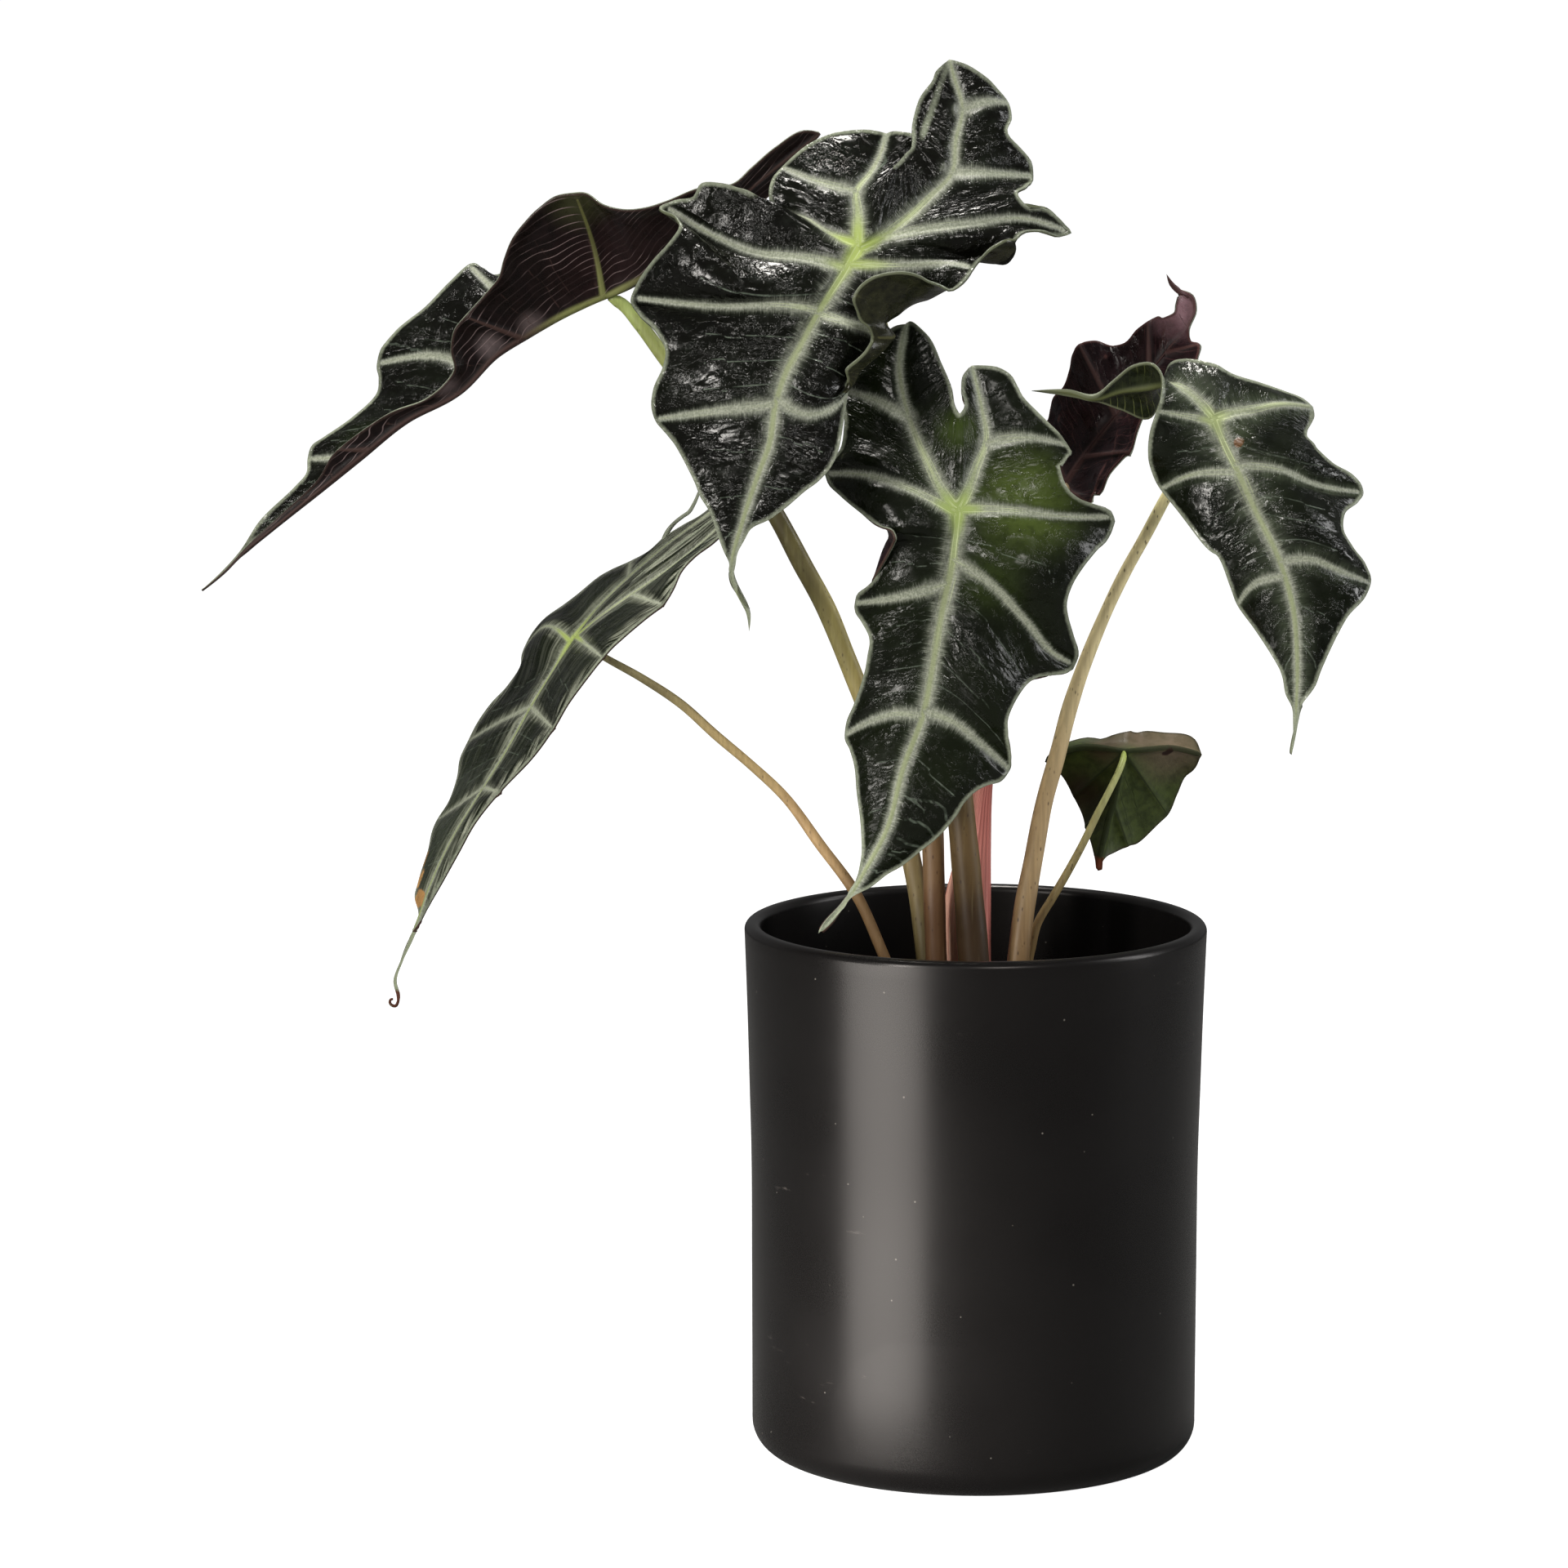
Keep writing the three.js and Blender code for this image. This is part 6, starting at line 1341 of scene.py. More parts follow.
def make_piece(name, points, faces, node, facts=None):
    """A smooth piece from points in millimetres, standing for a node of the solid model."""
    mesh = bpy.data.meshes.new(name)
    mesh.from_pydata((np.asarray(points) * MM).tolist(), [], faces)
    mesh.update()
    mesh.polygons.foreach_set("use_smooth", [True] * len(mesh.polygons))
    for key, values in (facts or {}).items():
        layer = mesh.attributes.new(key, "FLOAT", "POINT")
        layer.data.foreach_set("value", np.asarray(values, np.float32))
    piece = bpy.data.objects.new(name, mesh)
    bpy.context.scene.collection.objects.link(piece)
    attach(piece, "root")
    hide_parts(node)
    return piece


def on_sheet(marks, points):
    """Marks given by a seen place, with that place moved to the nearest point of the sheet."""
    seen = seen_from_eye(points)
    moved = []
    for position, *rest in marks:
        apart = np.linalg.norm(seen - position[:2], axis=1) + 0.2 * abs(points[:, 1] - position[2])
        moved.append((tuple(points[np.argmin(apart)]), *rest))
    return moved


def round_angles(around):
    return np.linspace(0, 2 * np.pi, around, endpoint=False)


def tube_rings(path, radii):
    """Rings round a path, carried along it without twisting, from a row of radii for each."""
    tangents = np.gradient(path, axis=0)
    tangents /= np.linalg.norm(tangents, axis=1)[:, None]
    side = np.cross(tangents[0], [0, 1, 0.1])
    angles = round_angles(radii.shape[1])
    rings = []
    for p, r, t in zip(path, radii, tangents):
        side = side - t * (side @ t)
        side /= np.linalg.norm(side)
        up = np.cross(t, side)
        rings.append(p + np.outer(r * np.cos(angles), side) + np.outer(r * np.sin(angles), up))
    return rings


def strand_tube(strand):
    """A thin curled strand along its points, each given with its width last."""
    curve, far = thick_curve(strand)
    samples = curve(np.linspace(0, far[-1], int(far[-1] / 0.4) + 2))
    return loft(tube_rings(samples[:, :3], np.outer(samples[:, 3] / 2, np.ones(STRAND_SIDES))))


def make_blade(name, leaf, look):
    """A fine blade: puffed up between its veins, ridged under them, thicker at its edge."""
    points, faces, facts = blade_sheet(leaf, look)
    facts = dict(zip(BLADE_FACTS, facts.T))
    gap, edge_gap = facts["vein_gap"], facts["edge_gap"]
    normals = sheet_normals(points, faces)
    puff = look["puff"] * (1 - bell(gap, PUFF_REACH)) * smooth_step(edge_gap, 0.3, 5.0)
    groove = -GROOVE_DEPTH * bell(facts["fine_gap"], GROOVE_WIDTH) * smooth_step(gap, 0.5, 2.5)
    half = BLADE_HALF + EDGE_BEAD * bell(edge_gap, EDGE_BEAD_WIDTH)
    ridge = look["ridge"] * bell(gap, RIDGE_REACH) * smooth_step(facts["core_gap"], -6, 10)
    ridge = ridge / (1 + facts["vein_u"] * 0.2)
    upper = points + normals * (puff + groove + half)[:, None]
    lower = points + normals * (puff + groove - half - ridge)[:, None]
    count = len(points)
    top = []
    for a, b, c, d in faces.tolist():
        face = [v for i, v in enumerate((a, b, c, d)) if v != (a, b, c, d)[i - 1]]
        if len(set(face)) == len(face) and len(face) > 2:
            top.append(face)
    edges = set()
    for face in top:
        edges.update(zip(face, face[1:] + face[:1]))
    every = top + [[v + count for v in reversed(face)] for face in top]
    for a, b in sorted(edges):
        if (b, a) not in edges:
            every.append([b, a, a + count, b + count])
    both = {key: np.tile(values, 2) for key, values in facts.items()}
    both["under"] = np.repeat([0.0, 1.0], count)
    vertices = np.vstack([upper, lower])
    for strand in leaf.get("strands", []):
        extra, tube = strand_tube(strand)
        every += [[v + len(vertices) for v in face] for face in tube]
        nearest = np.argmin(((points[None] - extra[:1, None]) ** 2).sum(2))
        for key in both:
            both[key] = np.concatenate([both[key], np.full(len(extra), both[key][nearest])])
        both["edge_gap"][-len(extra):] = 0.0
        vertices = np.vstack([vertices, extra])
    piece = make_piece(name + "_leaf", vertices, every, name + "_blade", both)
    marks = {key: on_sheet(look[key], points) for key in ("glows", "under_glows", "vein_glows", "stains")}
    piece.data.materials.append(blade_material(name + "_leaf", {**look, **marks}))


def loft(rings):
    """Faces of a tube through rings of equal size, closed by a fan at each end."""
    count, around = len(rings), len(rings[0])
    points = np.vstack([*rings, rings[0].mean(0), rings[-1].mean(0)])
    faces = []
    for i in range(count - 1):
        for k in range(around):
            a = i * around + k
            b = i * around + (k + 1) % around
            faces.append([a, b, b + around, a + around])
    foot, head = count * around, count * around + 1
    last = (count - 1) * around
    for k in range(around):
        faces.append([foot, (k + 1) % around, k])
        faces.append([head, last + k, last + (k + 1) % around])
    return points, faces


def make_stalk(name, leaf, colours_and_shade, flecks):
    """A stalk from its foot to its leaf, slightly channelled in front and uneven in girth."""
    curve, far = thick_curve(leaf["stalk"])
    samples = curve(np.linspace(0, far[-1], int(far[-1] / 1.6)))
    path, girth = samples[:, :3], samples[:, 3]
    distance = travelled(path)
    phase = rng.uniform(0, 6, 3)
    uneven = 1 + 0.025 * np.sin(distance * 0.09 + phase[0]) + 0.012 * np.sin(distance * 0.31 + phase[1])
    narrowing = 0.45 + 0.55 * np.minimum(1.0, (distance[-1] - distance) / STALK_END)
    angles = round_angles(STALK_SIDES)
    channel = 1 + 0.02 * np.cos(3 * angles + phase[2]) - 0.05 * np.exp(-((angles - np.pi) ** 2) / 0.25)
    rings = tube_rings(path, np.outer(girth / 2 * uneven * narrowing, channel))
    end = path[-1] - path[-2]
    rings[-1] -= STALK_TUCK * end / np.linalg.norm(end)
    points, faces = loft(rings)
    share = np.concatenate([np.repeat(distance / distance[-1], STALK_SIDES), [0, 1]])
    piece = make_piece(name + "_petiole", points, faces, name + "_stalk", {"along": share})
    piece.data.materials.append(stalk_material(name + "_petiole", colours_and_shade, flecks))


def turned(profile, around):
    """Points and faces of a body turned from a profile of [radius, height] that meets the axis."""
    angles = round_angles(around)
    points = [[0, 0, profile[0][1]]]
    for r, z in profile[1:-1]:
        points.extend([r * math.cos(a), r * math.sin(a), z] for a in angles)
    points.append([0, 0, profile[-1][1]])
    faces = []
    rings = len(profile) - 2
    for k in range(around):
        n = (k + 1) % around
        faces.append([0, 1 + n, 1 + k])
        for i in range(rings - 1):
            a = 1 + i * around
            faces.append([a + k, a + n, a + around + n, a + around + k])
        last = 1 + (rings - 1) * around
        faces.append([last + k, last + n, len(points) - 1])
    return points, faces


def round_corner(radius, height, size, start, end, parts):
    angles = np.radians(np.linspace(start, end, parts + 1))
    return [[radius + size * math.cos(a), height + size * math.sin(a)] for a in angles]


def make_cover_pot():
    rim = POT_HEIGHT - POT_RIM_ROUND
    knots = [[POT_FOOT_RADIUS, POT_FOOT_ROUND], *POT_SIDE, [POT_RIM_RADIUS, rim]]
    heights = np.linspace(POT_FOOT_ROUND, rim, 40)
    radii = smooth_curve([z for _, z in knots], np.array([[r] for r, _ in knots]))(heights)[:, 0]
    outside = [[r, z] for r, z in zip(radii, heights)][1:-1]
    inside = [[r - POT_WALL, z] for r, z in reversed(outside) if z > POT_FLOOR + POT_INNER_ROUND + 3]
    lip = POT_RIM_RADIUS - POT_WALL + POT_RIM_ROUND
    inner_foot = POT_FOOT_RADIUS - POT_WALL - POT_INNER_ROUND
    profile = [
        [0, 0],
        *round_corner(POT_FOOT_RADIUS - POT_FOOT_ROUND, POT_FOOT_ROUND, POT_FOOT_ROUND, -90, 0, 14),
        *outside,
        *round_corner(POT_RIM_RADIUS - POT_RIM_ROUND, rim, POT_RIM_ROUND, 0, 90, 8),
        *round_corner(lip, rim, POT_RIM_ROUND, 90, 180, 8),
        *inside,
        *round_corner(inner_foot, POT_FLOOR + POT_INNER_ROUND, POT_INNER_ROUND, 0, -90, 8),
        [0, POT_FLOOR],
    ]
    points, faces = turned(profile, POT_SIDES)
    piece = make_piece("black_cover_pot", points, faces, "cover_pot")
    piece.data.materials.append(glaze_material())


def make_growing_pot():
    top = GROWING_FOOT + GROWING_HEIGHT
    lip = top - GROWING_LIP_HEIGHT
    out = GROWING_TOP + GROWING_LIP_OUT
    profile = [
        [0, GROWING_FOOT],
        *round_corner(GROWING_BASE - 1, GROWING_FOOT + 1, 1, -90, -10, 4),
        [GROWING_TOP, lip],
        *round_corner(out - 0.5, lip + 0.5, 0.5, -90, 0, 3),
        *round_corner(out - 0.6, top - 0.6, 0.6, 0, 90, 3),
        *round_corner(GROWING_TOP - GROWING_WALL + 0.6, top - 0.6, 0.6, 90, 180, 3),
        [GROWING_BASE - GROWING_WALL, GROWING_FOOT + GROWING_WALL],
        [0, GROWING_FOOT + GROWING_WALL],
    ]
    points, faces = turned(profile, GROWING_SIDES)
    piece = make_piece("inner_growing_pot", points, faces, "growing_pot")
    piece.data.materials.append(plastic_material())
    for angle in round_angles(DRAIN_HOLES):
        spot = (DRAIN_CIRCLE * MM * math.cos(angle), DRAIN_CIRCLE * MM * math.sin(angle), GROWING_FOOT * MM)
        radius, depth = DRAIN_RADIUS * MM, 2 * DRAIN_RADIUS * MM
        bpy.ops.mesh.primitive_cylinder_add(radius=radius, depth=depth, vertices=32, location=spot)
        drill = bpy.context.object
        cut = piece.modifiers.new("hole", "BOOLEAN")
        cut.object = drill
        cut.operation = "DIFFERENCE"
        bpy.context.view_layer.objects.active = piece
        bpy.ops.object.modifier_apply(modifier=cut.name)
        bpy.data.objects.remove(drill)
    piece.data.polygons.foreach_set("use_smooth", [False] * len(piece.data.polygons))
    piece.data.set_sharp_from_angle(angle=math.radians(35))
    piece.data.polygons.foreach_set("use_smooth", [True] * len(piece.data.polygons))


def soil_height(r, angle, rim):
    wave = np.sin(3 * angle + r * 0.21) + np.sin(5 * angle - r * 0.33 + 1)
    wave = wave + np.cos(r * 0.45 + 2 * angle)
    rise = SOIL_CROWN_RISE * np.maximum(0, 1 - r / rim) ** 1.2
    return SOIL_LEVEL + rise + SOIL_ROUGHNESS * wave * np.minimum(1, (rim - r) / 12)


def stub_profile(grow):
    middle = (STUB_TOP + STUB_BOTTOM) / 2
    half = (STUB_TOP - STUB_BOTTOM) / 2 + grow
    angles = np.radians(np.linspace(-90, 90, 33))
    radii = (STUB_RADIUS + grow) * np.maximum(np.cos(angles), 0) ** 0.45
    return radii, middle + half * np.sin(angles)


def make_soil():
    slope = (GROWING_TOP - GROWING_BASE) / (GROWING_HEIGHT - GROWING_LIP_HEIGHT)
    foot = GROWING_FOOT + GROWING_WALL + 0.3
    base = GROWING_BASE - GROWING_WALL - 0.6
    rim = base + (SOIL_LEVEL - foot) * slope * 0.97
    stub_radii, stub_heights = stub_profile(0.3)
    angles = round_angles(SOIL_SIDES)

    def ring(r, z):
        return np.stack([r * np.cos(angles), r * np.sin(angles), z + 0 * angles], 1)

    rings = [ring(r, z) for r, z in zip(stub_radii[1:18], stub_heights[1:18])]
    radii = np.linspace(STUB_RADIUS - 0.7, rim, 60)
    for r in radii:
        fade = min(1.0, (r - radii[0]) / 3.0)
        lump = 0.7 * np.sin(7 * angles + r * 0.9) * np.sin(r * 1.3 + 3 * angles)
        lump = lump + 0.45 * np.sin(19 * angles - r * 1.1) * np.cos(r * 0.8)
        rings.append(ring(r, soil_height(r, angles, rim) + 0.8 * fade * lump))
    rings.append(ring(base, foot))
    points, faces = loft(rings)
    points[-2] = [0, 0, STUB_BOTTOM - 0.3]
    shade = [0.0] * len(points)
    points = points.tolist()
    # Crumbs, bark and a little pale grit on the surface
    for k in range(CRUMBS):
        r = rim * math.sqrt(rng.uniform(((STUB_RADIUS + 2) / rim) ** 2, 0.94))
        a = rng.uniform(0, 2 * math.pi)
        size = rng.uniform(0.6, 1.9) if k % 9 else rng.uniform(2.0, 3.6)
        centre = np.array([r * math.cos(a), r * math.sin(a), float(soil_height(r, a, rim)) + size * 0.25])
        shape = rng.uniform(0.6, 1.3, 3) * size * (1, 1, 0.6)
        turn = rng.uniform(0, 2 * math.pi)
        tone = 0.9 if k % 23 == 0 else (0.6 if k % 9 == 0 else rng.uniform(0, 0.45))
        start = len(points)
        for corner in CRUMB_CORNERS:
            p = corner * shape * rng.uniform(0.75, 1.2)
            points.append([
                centre[0] + p[0] * math.cos(turn) - p[1] * math.sin(turn),
                centre[1] + p[0] * math.sin(turn) + p[1] * math.cos(turn),
                centre[2] + p[2],
            ])
            shade.append(tone)
        faces.extend([start + v for v in face] for face in CRUMB_FACES)
    piece = make_piece("potting_mix", points, faces, "soil", {"shade": shade})
    piece.data.materials.append(soil_material())


GOLD = (1 + math.sqrt(5)) / 2
CRUMB_CORNERS = np.array([
    [-1, GOLD, 0], [1, GOLD, 0], [-1, -GOLD, 0], [1, -GOLD, 0], [0, -1, GOLD], [0, 1, GOLD],
    [0, -1, -GOLD], [0, 1, -GOLD], [GOLD, 0, -1], [GOLD, 0, 1], [-GOLD, 0, -1], [-GOLD, 0, 1],
]) / 1.9
CRUMB_FACES = [
    [0, 11, 5], [0, 5, 1], [0, 1, 7], [0, 7, 10], [0, 10, 11], [1, 5, 9], [5, 11, 4], [11, 10, 2],
    [10, 7, 6], [7, 1, 8], [3, 9, 4], [3, 4, 2], [3, 2, 6], [3, 6, 8], [3, 8, 9], [4, 9, 5],
    [2, 4, 11], [6, 2, 10], [8, 6, 7], [9, 8, 1],
]


def make_stub():
    """The rootstock at the crown, ringed with old leaf scars."""
    radii, heights = stub_profile(0)
    profile = [[0, heights[0]], *zip(radii[1:-1], heights[1:-1]), [0, heights[-1]]]
    points, faces = turned(profile, STUB_SIDES)
    points = np.array(points, float)
    angle = np.arctan2(points[:, 1], points[:, 0])
    r = np.hypot(points[:, 0], points[:, 1])
    swell = 0.35 * np.sin(points[:, 2] * 1.7) + 0.25 * np.sin(9 * angle + points[:, 2])
    scale = np.where(r > 1, (r - 0.35 + 0.6 * swell * (r > 8)) / np.maximum(r, 1), 1)
    points[:, :2] *= np.minimum(scale, 1)[:, None]
    piece = make_piece("root_stub", points, faces, "stub")
    piece.data.materials.append(stub_material())


# Rows of the sheath: height, the middle's x and y, radius, and how many degrees it wraps each way
SHEATH_ROWS = np.array([
    [112.3, -1, 11, 6.8, 105],
    [140, -2, 11, 6.9, 100],
    [168, -2.1, 11, 6.7, 90],
    [187, 0.3, 11, 4.6, 75],
    [201, 2.1, 11, 3.7, 55],
    [224, 6, 11.6, 3.5, 12],
])


def make_sheath():
    """The papery sheath: a strip round the front of the back stalk, with fine lengthwise pleats."""
    tall, wide = 120, 48
    shape = smooth_curve(SHEATH_ROWS[:, 0], SHEATH_ROWS[:, 1:])
    heights = np.linspace(SHEATH_ROWS[0, 0], SHEATH_ROWS[-1, 0], tall)
    across = np.linspace(-1, 1, wide)
    sheets = []
    for offset in (0.25, -0.25):
        points = []
        for z, (x, y, radius, wrap) in zip(heights, shape(heights)):
            angles = np.radians(-90 + wrap * across)
            pleat = 0.1 * np.sin(across * 31 + z * 0.03) + 0.12 * np.sin(across * 9 + z * 0.07)
            r = radius + offset + pleat
            points.append(np.stack([x + r * np.cos(angles), y + r * np.sin(angles), np.full(wide, z)], 1))
        sheets.append(np.vstack(points))
    count = tall * wide
    a = (np.arange(tall - 1)[:, None] * wide + np.arange(wide - 1)[None]).ravel()
    quads = np.stack([a, a + 1, a + 1 + wide, a + wide], 1)
    faces = quads.tolist() + (quads[:, ::-1] + count).tolist()
    ring = [*range(wide), *range(2 * wide - 1, count, wide)]
    ring += [*range(count - 2, count - wide - 1, -1), *range(count - 2 * wide, 0, -wide)]
    for a, b in zip(ring, ring[1:] + ring[:1]):
        faces.append([b, a, a + count, b + count])
    facts = {
        "along": np.tile(np.repeat(np.linspace(0, 1, tall), wide), 2),
        "across": np.tile(across, tall * 2),
    }
    piece = make_piece("pink_sheath", np.vstack(sheets), faces, "sheath", facts)
    piece.data.materials.append(sheath_material())


def add_light(name, spot, target, size, power, colour):
    """A soft box of a width and length in metres that faces its target."""
    lamp = bpy.data.lights.new(name, "AREA")
    lamp.shape = "RECTANGLE"
    lamp.size, lamp.size_y = size
    lamp.energy = power
    lamp.color = colour
    obj = bpy.data.objects.new(name, lamp)
    bpy.context.scene.collection.objects.link(obj)
    obj.location = spot
    aim = Vector(target) - obj.location
    obj.rotation_euler = aim.to_track_quat("-Z", "Y").to_euler()
    return obj


def make_studio():
    scene = bpy.context.scene
    scene.view_settings.view_transform = "Standard"
    camera = bpy.data.cameras.new("camera")
    camera.lens = FOCAL_LENGTH
    camera.sensor_width = 36
    camera.clip_end = 100
    eye = bpy.data.objects.new("camera", camera)
    eye.location = tuple(EYE * MM)
    eye.rotation_euler = (math.pi / 2 - LOOK_DOWN, 0, 0)
    scene.collection.objects.link(eye)
    scene.camera = eye
    world = bpy.data.worlds.new("studio")
    world.use_nodes = True
    world.node_tree.nodes["Background"].inputs["Color"].default_value = (1, 1, 1, 1)
    world.node_tree.nodes["Background"].inputs["Strength"].default_value = WORLD_STRENGTH
    scene.world = world
    bpy.ops.mesh.primitive_plane_add(size=FLOOR_SIDE)
    floor = bpy.context.object
    floor.name = "floor"
    m = Look("paper_floor")
    fibre = m.cloud(0.02)
    path = m.node("ShaderNodeLightPath")
    glow = path.outputs["Is Camera Ray"]
    dark, light, mirrored = ((tone, tone, tone, 1) for tone in (*FLOOR_TONES, FLOOR_MIRRORED))
    paper = m.mix(fibre, dark, light)
    floor.data.materials.append(m.finish(
        Base_Color=m.mix(path.outputs["Is Glossy Ray"], paper, mirrored),
        Roughness=0.9,
        Emission_Color=(*WHITE, 1),
        Emission_Strength=m.times(glow, FLOOR_GLOW),
    ))
    floor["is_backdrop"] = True
    for name, light in LIGHTS.items():
        add_light(name, *light)
    # Low upright strips of light, which the pot's side mirrors as its highlight
    for height, length, power in STRIPS:
        size = (STRIP_WIDTH, length)
        strip = add_light("strip", (*STRIP_SPOT, height), (*POT_AXIS, height), size, power, WARM)
        strip.data.spread = STRIP_SPREAD


# The look of a blade: widths of the midrib, lobe veins and side veins at their start and end, how
# far it swells between them, the colours and reach of its bloom, veins, edge and under face, and
# its gloss. Lengths are in millimetres. Each patch is a place as seen, its radius, colour and amount:
# on the upper and under faces mostly painted light through the blade, painted sheen and painted
# highlights, with some tints; on the veins, tints.
BLADE_LOOK = {
    "midrib": (3.7, 1.1), "lobe": (3.2, 1.0), "side": (2.7, 0.9),
    "fine_gap": 9.0, "fine_width": 0.42, "fine": 0.4,
    "puff": 0.9, "ridge": 0.9,
    "dark": srgb(9, 9, 6), "green": srgb(12, 14, 8), "halo": srgb(72, 78, 67),
    "bloom": 0.7, "bloom_reach": 2.6, "glows": [], "stains": [], "under_glows": [], "vein_glows": [],
    "vein": srgb(126, 131, 118), "vein_light": srgb(172, 176, 162), "vein_core": srgb(142, 152, 108),
    "lime": srgb(164, 182, 100), "lime_reach": (1.0, 13.0),
    "core": 0.6, "core_side": 0.12, "core_reach": 34.0, "band": 0.95, "glint_strokes": 0.5,
    "rim": 1.1, "rim_dark": srgb(106, 113, 97), "rim_light": srgb(160, 167, 147),
    "under_dark": srgb(24, 15, 17), "under_light": srgb(38, 23, 27), "under_vein": srgb(84, 58, 56),
    "under_rim": srgb(84, 66, 58), "under_lines": 0.4, "under_line": srgb(84, 58, 56),
    "under_ruling": (3.0, 0.0), "under_width": 0.9, "under_rough": 0.06, "silver": 0.0,
    "bump": 0.34, "under_bump": 0.3, "rough": 0.15, "specular": 0.25,
}


def blade_look(**changes):
    return {**BLADE_LOOK, **changes}


LOOKS = {
    "top": blade_look(
        under_dark=srgb(22, 23, 14), under_light=srgb(42, 43, 26), under_vein=srgb(78, 78, 48),
        under_line=srgb(80, 80, 52), under_rim=srgb(110, 116, 92), fine=0.6,
        under_glows=[((-27, 354, -55), 12, srgb(42, 48, 24), 0.9)],
    ),
    "far_left": blade_look(
        under_rough=0.14, under_dark=srgb(13, 8, 8), under_light=srgb(22, 13, 13),
        under_vein=srgb(66, 48, 44), under_lines=0.75, under_line=srgb(136, 118, 118),
        specular=0.2, under_width=0.62,
        vein_glows=[
            ((-110, 376, 10), 24, srgb(98, 102, 56), 0.9), ((-112, 342, 0), 26, srgb(142, 148, 90), 0.85),
        ],
        under_ruling=(0.5, 2.4), under_rim=srgb(58, 44, 40), under_bump=0.15,
        # The small pale dabs along the hem are painted highlights
        under_glows=[
            ((-108, 362, 10), 30, srgb(36, 20, 21), 0.6), ((-119, 380, -6), 13, srgb(54, 56, 32), 0.8),
            ((-133.6, 344, 0), 6, srgb(120, 106, 106), 0.4),
            ((-146, 338, 0), 6, srgb(126, 112, 113), 0.5), ((-160, 326, 0), 6, srgb(116, 102, 103), 0.45),
        ],
        glows=[((-183, 305, 0), 14, srgb(34, 44, 22), 0.8)],
    ),
    "low_left": blade_look(
        midrib=(2.1, 0.7), lobe=(1.8, 0.6), side=(1.2, 0.4), rough=0.28, bloom_reach=5.0,
        # Strong painted sheen streaks on this blade
        bloom=0.95, silver=0.95, dark=srgb(13, 18, 7), green=srgb(18, 24, 10), halo=srgb(120, 125, 108),
        vein_core=srgb(146, 162, 94), specular=0.18,
        # Grey patches of painted sheen
        glows=[((-163, 190, -30), 40, srgb(58, 66, 50), 0.6), ((-112, 262, -10), 16, srgb(52, 58, 46), 0.5)],
        stains=[
            ((-166, 182, -14), 3.2, srgb(148, 116, 70)), ((-167.2, 176, -14), 3.8, srgb(190, 148, 92)),
            ((-167.8, 170, -14), 3.4, srgb(168, 128, 80)), ((-177, 138.5, -25), 3.4, srgb(80, 44, 30)),
        ],
    ),
    "middle": blade_look(
        dark=srgb(15, 18, 11), green=srgb(20, 25, 13), rough=0.2, specular=0.2,
        halo=srgb(66, 74, 58), bump=0.24, lime=srgb(150, 168, 98), lime_reach=(1.0, 10.0),
        core_reach=22.0,
        # Green patches of painted light shining through the blade
        glows=[
            ((14, 290, -40), 23, srgb(70, 84, 36), 0.9), ((4, 268, -46), 15, srgb(54, 68, 26), 0.6),
            ((-5, 312, -36), 10, srgb(56, 70, 30), 0.7),
        ],
    ),
    "right": blade_look(
        midrib=(3.4, 1.1), side=(2.1, 0.7), bloom=0.9, bloom_reach=5.0, lime=srgb(142, 154, 104), bump=0.28,
        lime_reach=(0.5, 7.0), core_reach=14.0,
        dark=srgb(10, 13, 7), green=srgb(18, 22, 13), halo=srgb(72, 80, 64),
        glows=[((76, 310, -34), 9, srgb(36, 44, 20), 0.8), ((68, 326, -20), 13, srgb(58, 62, 54), 0.6)],
        under_dark=srgb(22, 27, 15), under_light=srgb(40, 46, 26), under_vein=srgb(88, 94, 56),
        under_line=srgb(104, 110, 66), under_rim=srgb(120, 126, 100), under_lines=0.8,
        stains=[((78.2, 308.5, -34), 1.9, srgb(104, 74, 46)), ((77.6, 308.9, -34), 0.8, srgb(176, 140, 112))],
    ),
    "back": blade_look(
        under_dark=srgb(21, 11, 13), under_light=srgb(36, 20, 23), under_vein=srgb(72, 48, 46),
        under_line=srgb(88, 58, 60), under_lines=0.5, under_width=0.6,
        under_glows=[((60, 349, 30), 13, srgb(158, 122, 130), 0.85)],
        under_rim=srgb(84, 56, 54),
    ),
    "small": blade_look(
        midrib=(1.2, 0.4), lobe=(1.0, 0.4), side=(0.9, 0.3), bump=0.16, bloom=0.2, rough=0.4,
        dark=srgb(40, 36, 28), green=srgb(52, 48, 38), rim_dark=srgb(52, 44, 34), rim_light=srgb(70, 62, 48),
        vein=srgb(64, 62, 46), vein_light=srgb(76, 72, 54), lime=srgb(80, 84, 50), vein_core=srgb(64, 66, 40),
        glows=[((58, 216, 36), 9, srgb(76, 66, 54), 0.8)],
        under_dark=srgb(46, 56, 26), under_light=srgb(68, 80, 38), under_vein=srgb(38, 46, 24),
        under_lines=0.0, under_rim=srgb(52, 46, 30), specular=0.2,
        under_glows=[
            ((32, 202, 36), 15, srgb(40, 28, 22), 0.9), ((60, 217, 36), 17, srgb(112, 98, 80), 0.95),
            ((39, 217, 36), 9, srgb(84, 70, 56), 0.9), ((48, 219, 36), 10, srgb(104, 90, 74), 0.9),
        ],
        stains=[((37, 178, 28), 4.5, srgb(110, 58, 36)), ((57, 215, 36), 2.2, srgb(44, 24, 16))],
    ),
}
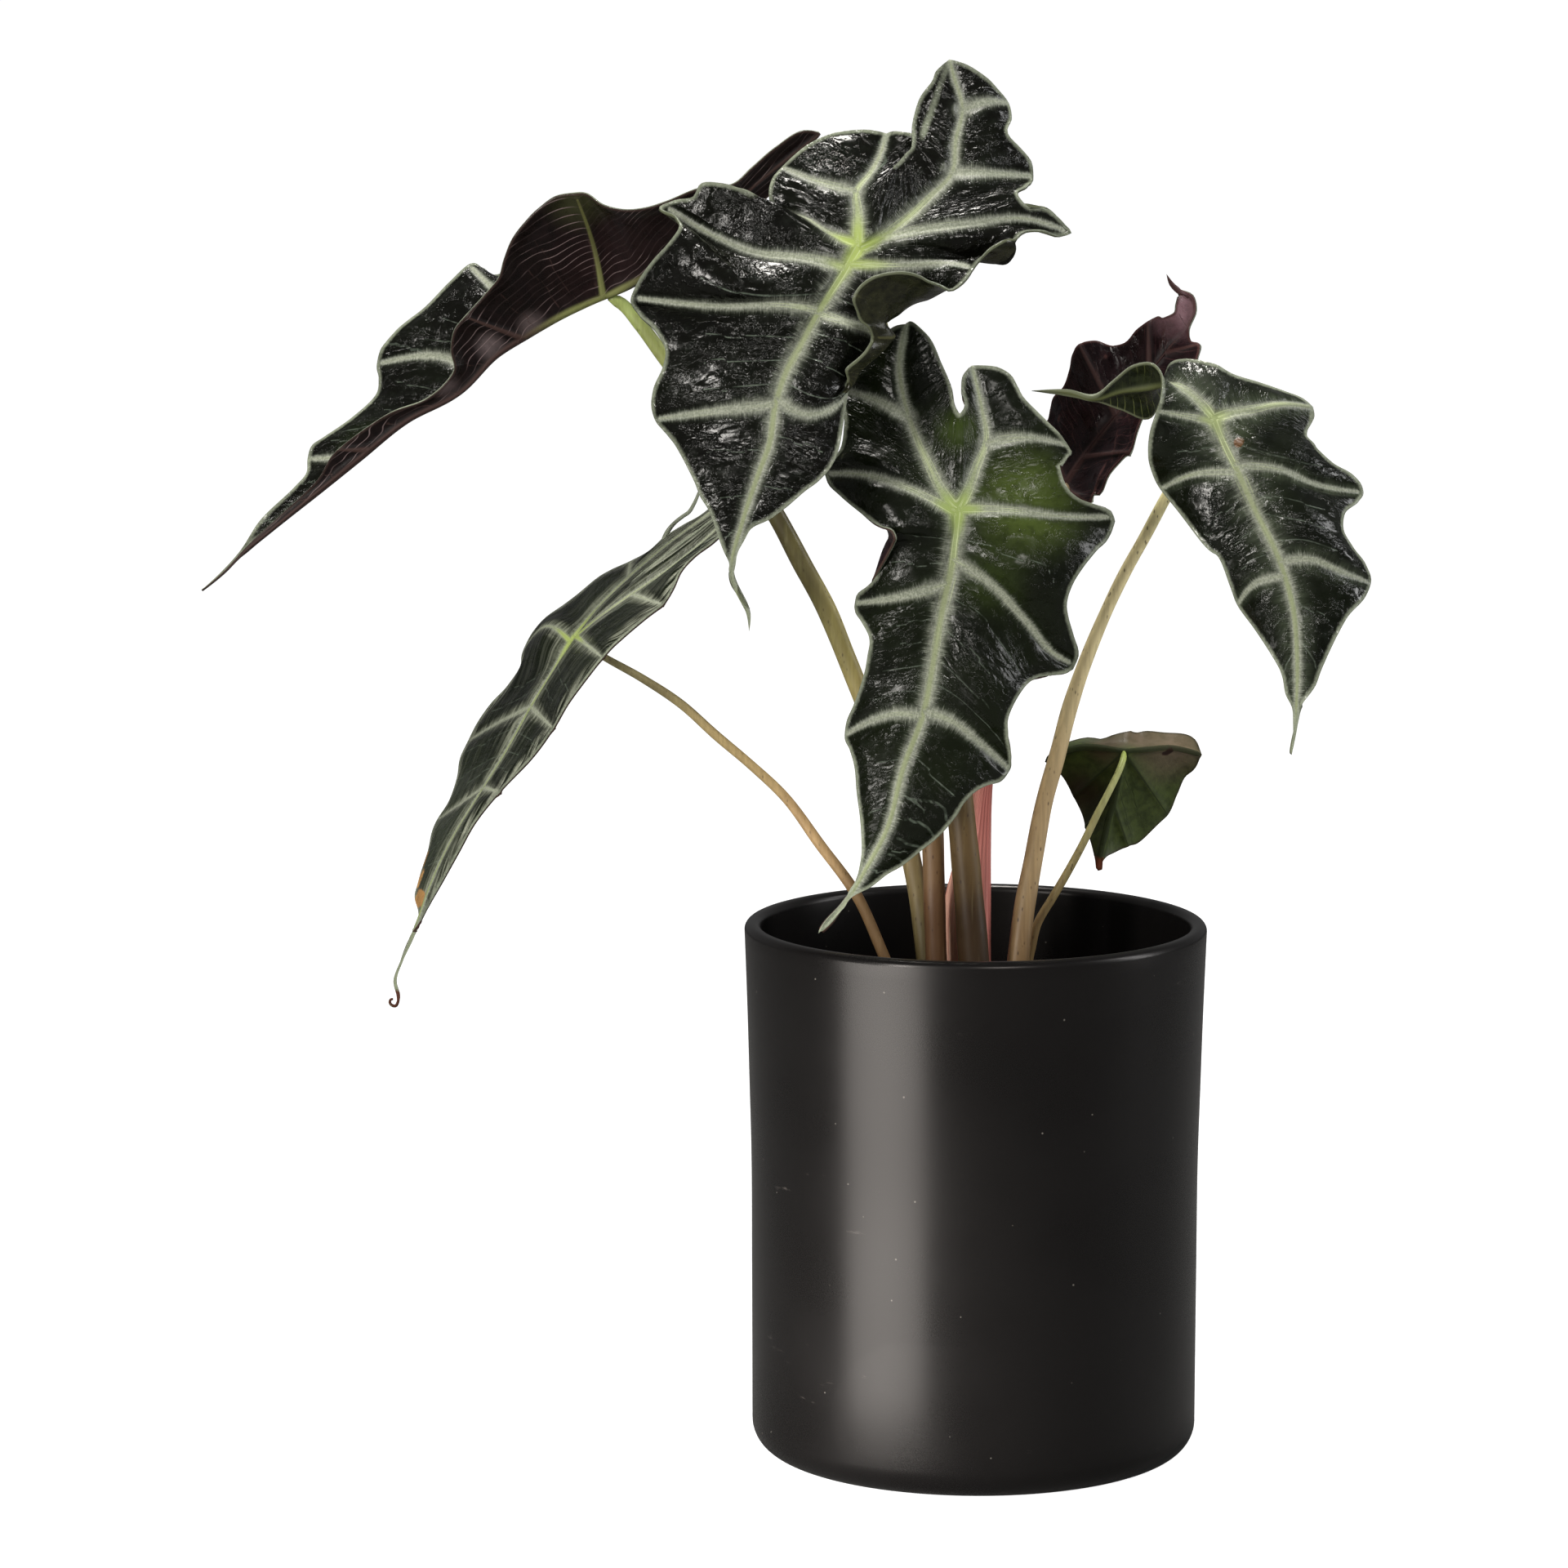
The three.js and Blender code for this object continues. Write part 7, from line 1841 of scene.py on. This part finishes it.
# Each stalk's colours by the share of its length from the foot, and how strong its flecks are. They run
# from brown to green, with painted shade darkening the feet in the pot's mouth, a painted shadow on the
# far-left stalk and painted light high on the right one.
STALK_COLOURS_AND_SHADE = {
    "top": (
        [(0, (84, 58, 38)), (0.2, (98, 70, 46)), (0.32, (122, 96, 64)), (0.5, (126, 103, 66)),
         (0.8, (139, 135, 78)), (1, (172, 182, 101))], 0.8,
    ),
    "far_left": (
        # The dark stop at 0.68 is a painted shadow of the top leaf
        [(0, (84, 74, 46)), (0.19, (98, 88, 56)), (0.3, (136, 120, 80)), (0.42, (172, 158, 102)),
         (0.56, (168, 158, 98)), (0.68, (74, 70, 38)), (0.85, (152, 158, 94)), (1, (164, 180, 104))], 0.6,
    ),
    "low_left": (
        [(0, (100, 76, 50)), (0.33, (124, 98, 66)), (0.5, (188, 156, 110)), (0.7, (184, 162, 112)),
         (1, (192, 184, 130))], 0.5,
    ),
    "middle": (
        # The darkest stops are painted shade in the pot's mouth
        [(0, (46, 32, 17)), (0.3, (54, 39, 21)), (0.42, (112, 90, 54)), (0.8, (130, 120, 74)),
         (1, (166, 176, 101))], 0.8,
    ),
    "right": (
        # The near-white upper stops are painted light
        [(0, (110, 86, 56)), (0.22, (138, 112, 78)), (0.36, (196, 168, 124)), (0.7, (240, 226, 174)),
         (1, (240, 238, 168))], 0.8,
    ),
    "back": (
        [(0, (119, 92, 61)), (0.5, (139, 120, 84)), (1, (139, 122, 92))], 0.8,
    ),
    "small": (
        [(0, (110, 86, 54)), (0.5, (136, 114, 76)), (0.68, (158, 146, 98)), (0.87, (178, 182, 120)),
         (1, (168, 188, 94))], 0.8,
    ),
}

make_studio()
make_cover_pot()
make_growing_pot()
make_soil()
make_stub()
make_sheath()
for leaf_name, leaf_data in LEAVES.items():
    make_blade(leaf_name, leaf_data, LOOKS[leaf_name])
    make_stalk(leaf_name, leaf_data, *STALK_COLOURS_AND_SHADE[leaf_name])

boxes = {"cad": CAD_BOX, "visual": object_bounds()}
{key: [[float(v) for v in corner] for corner in box] for key, box in boxes.items()}
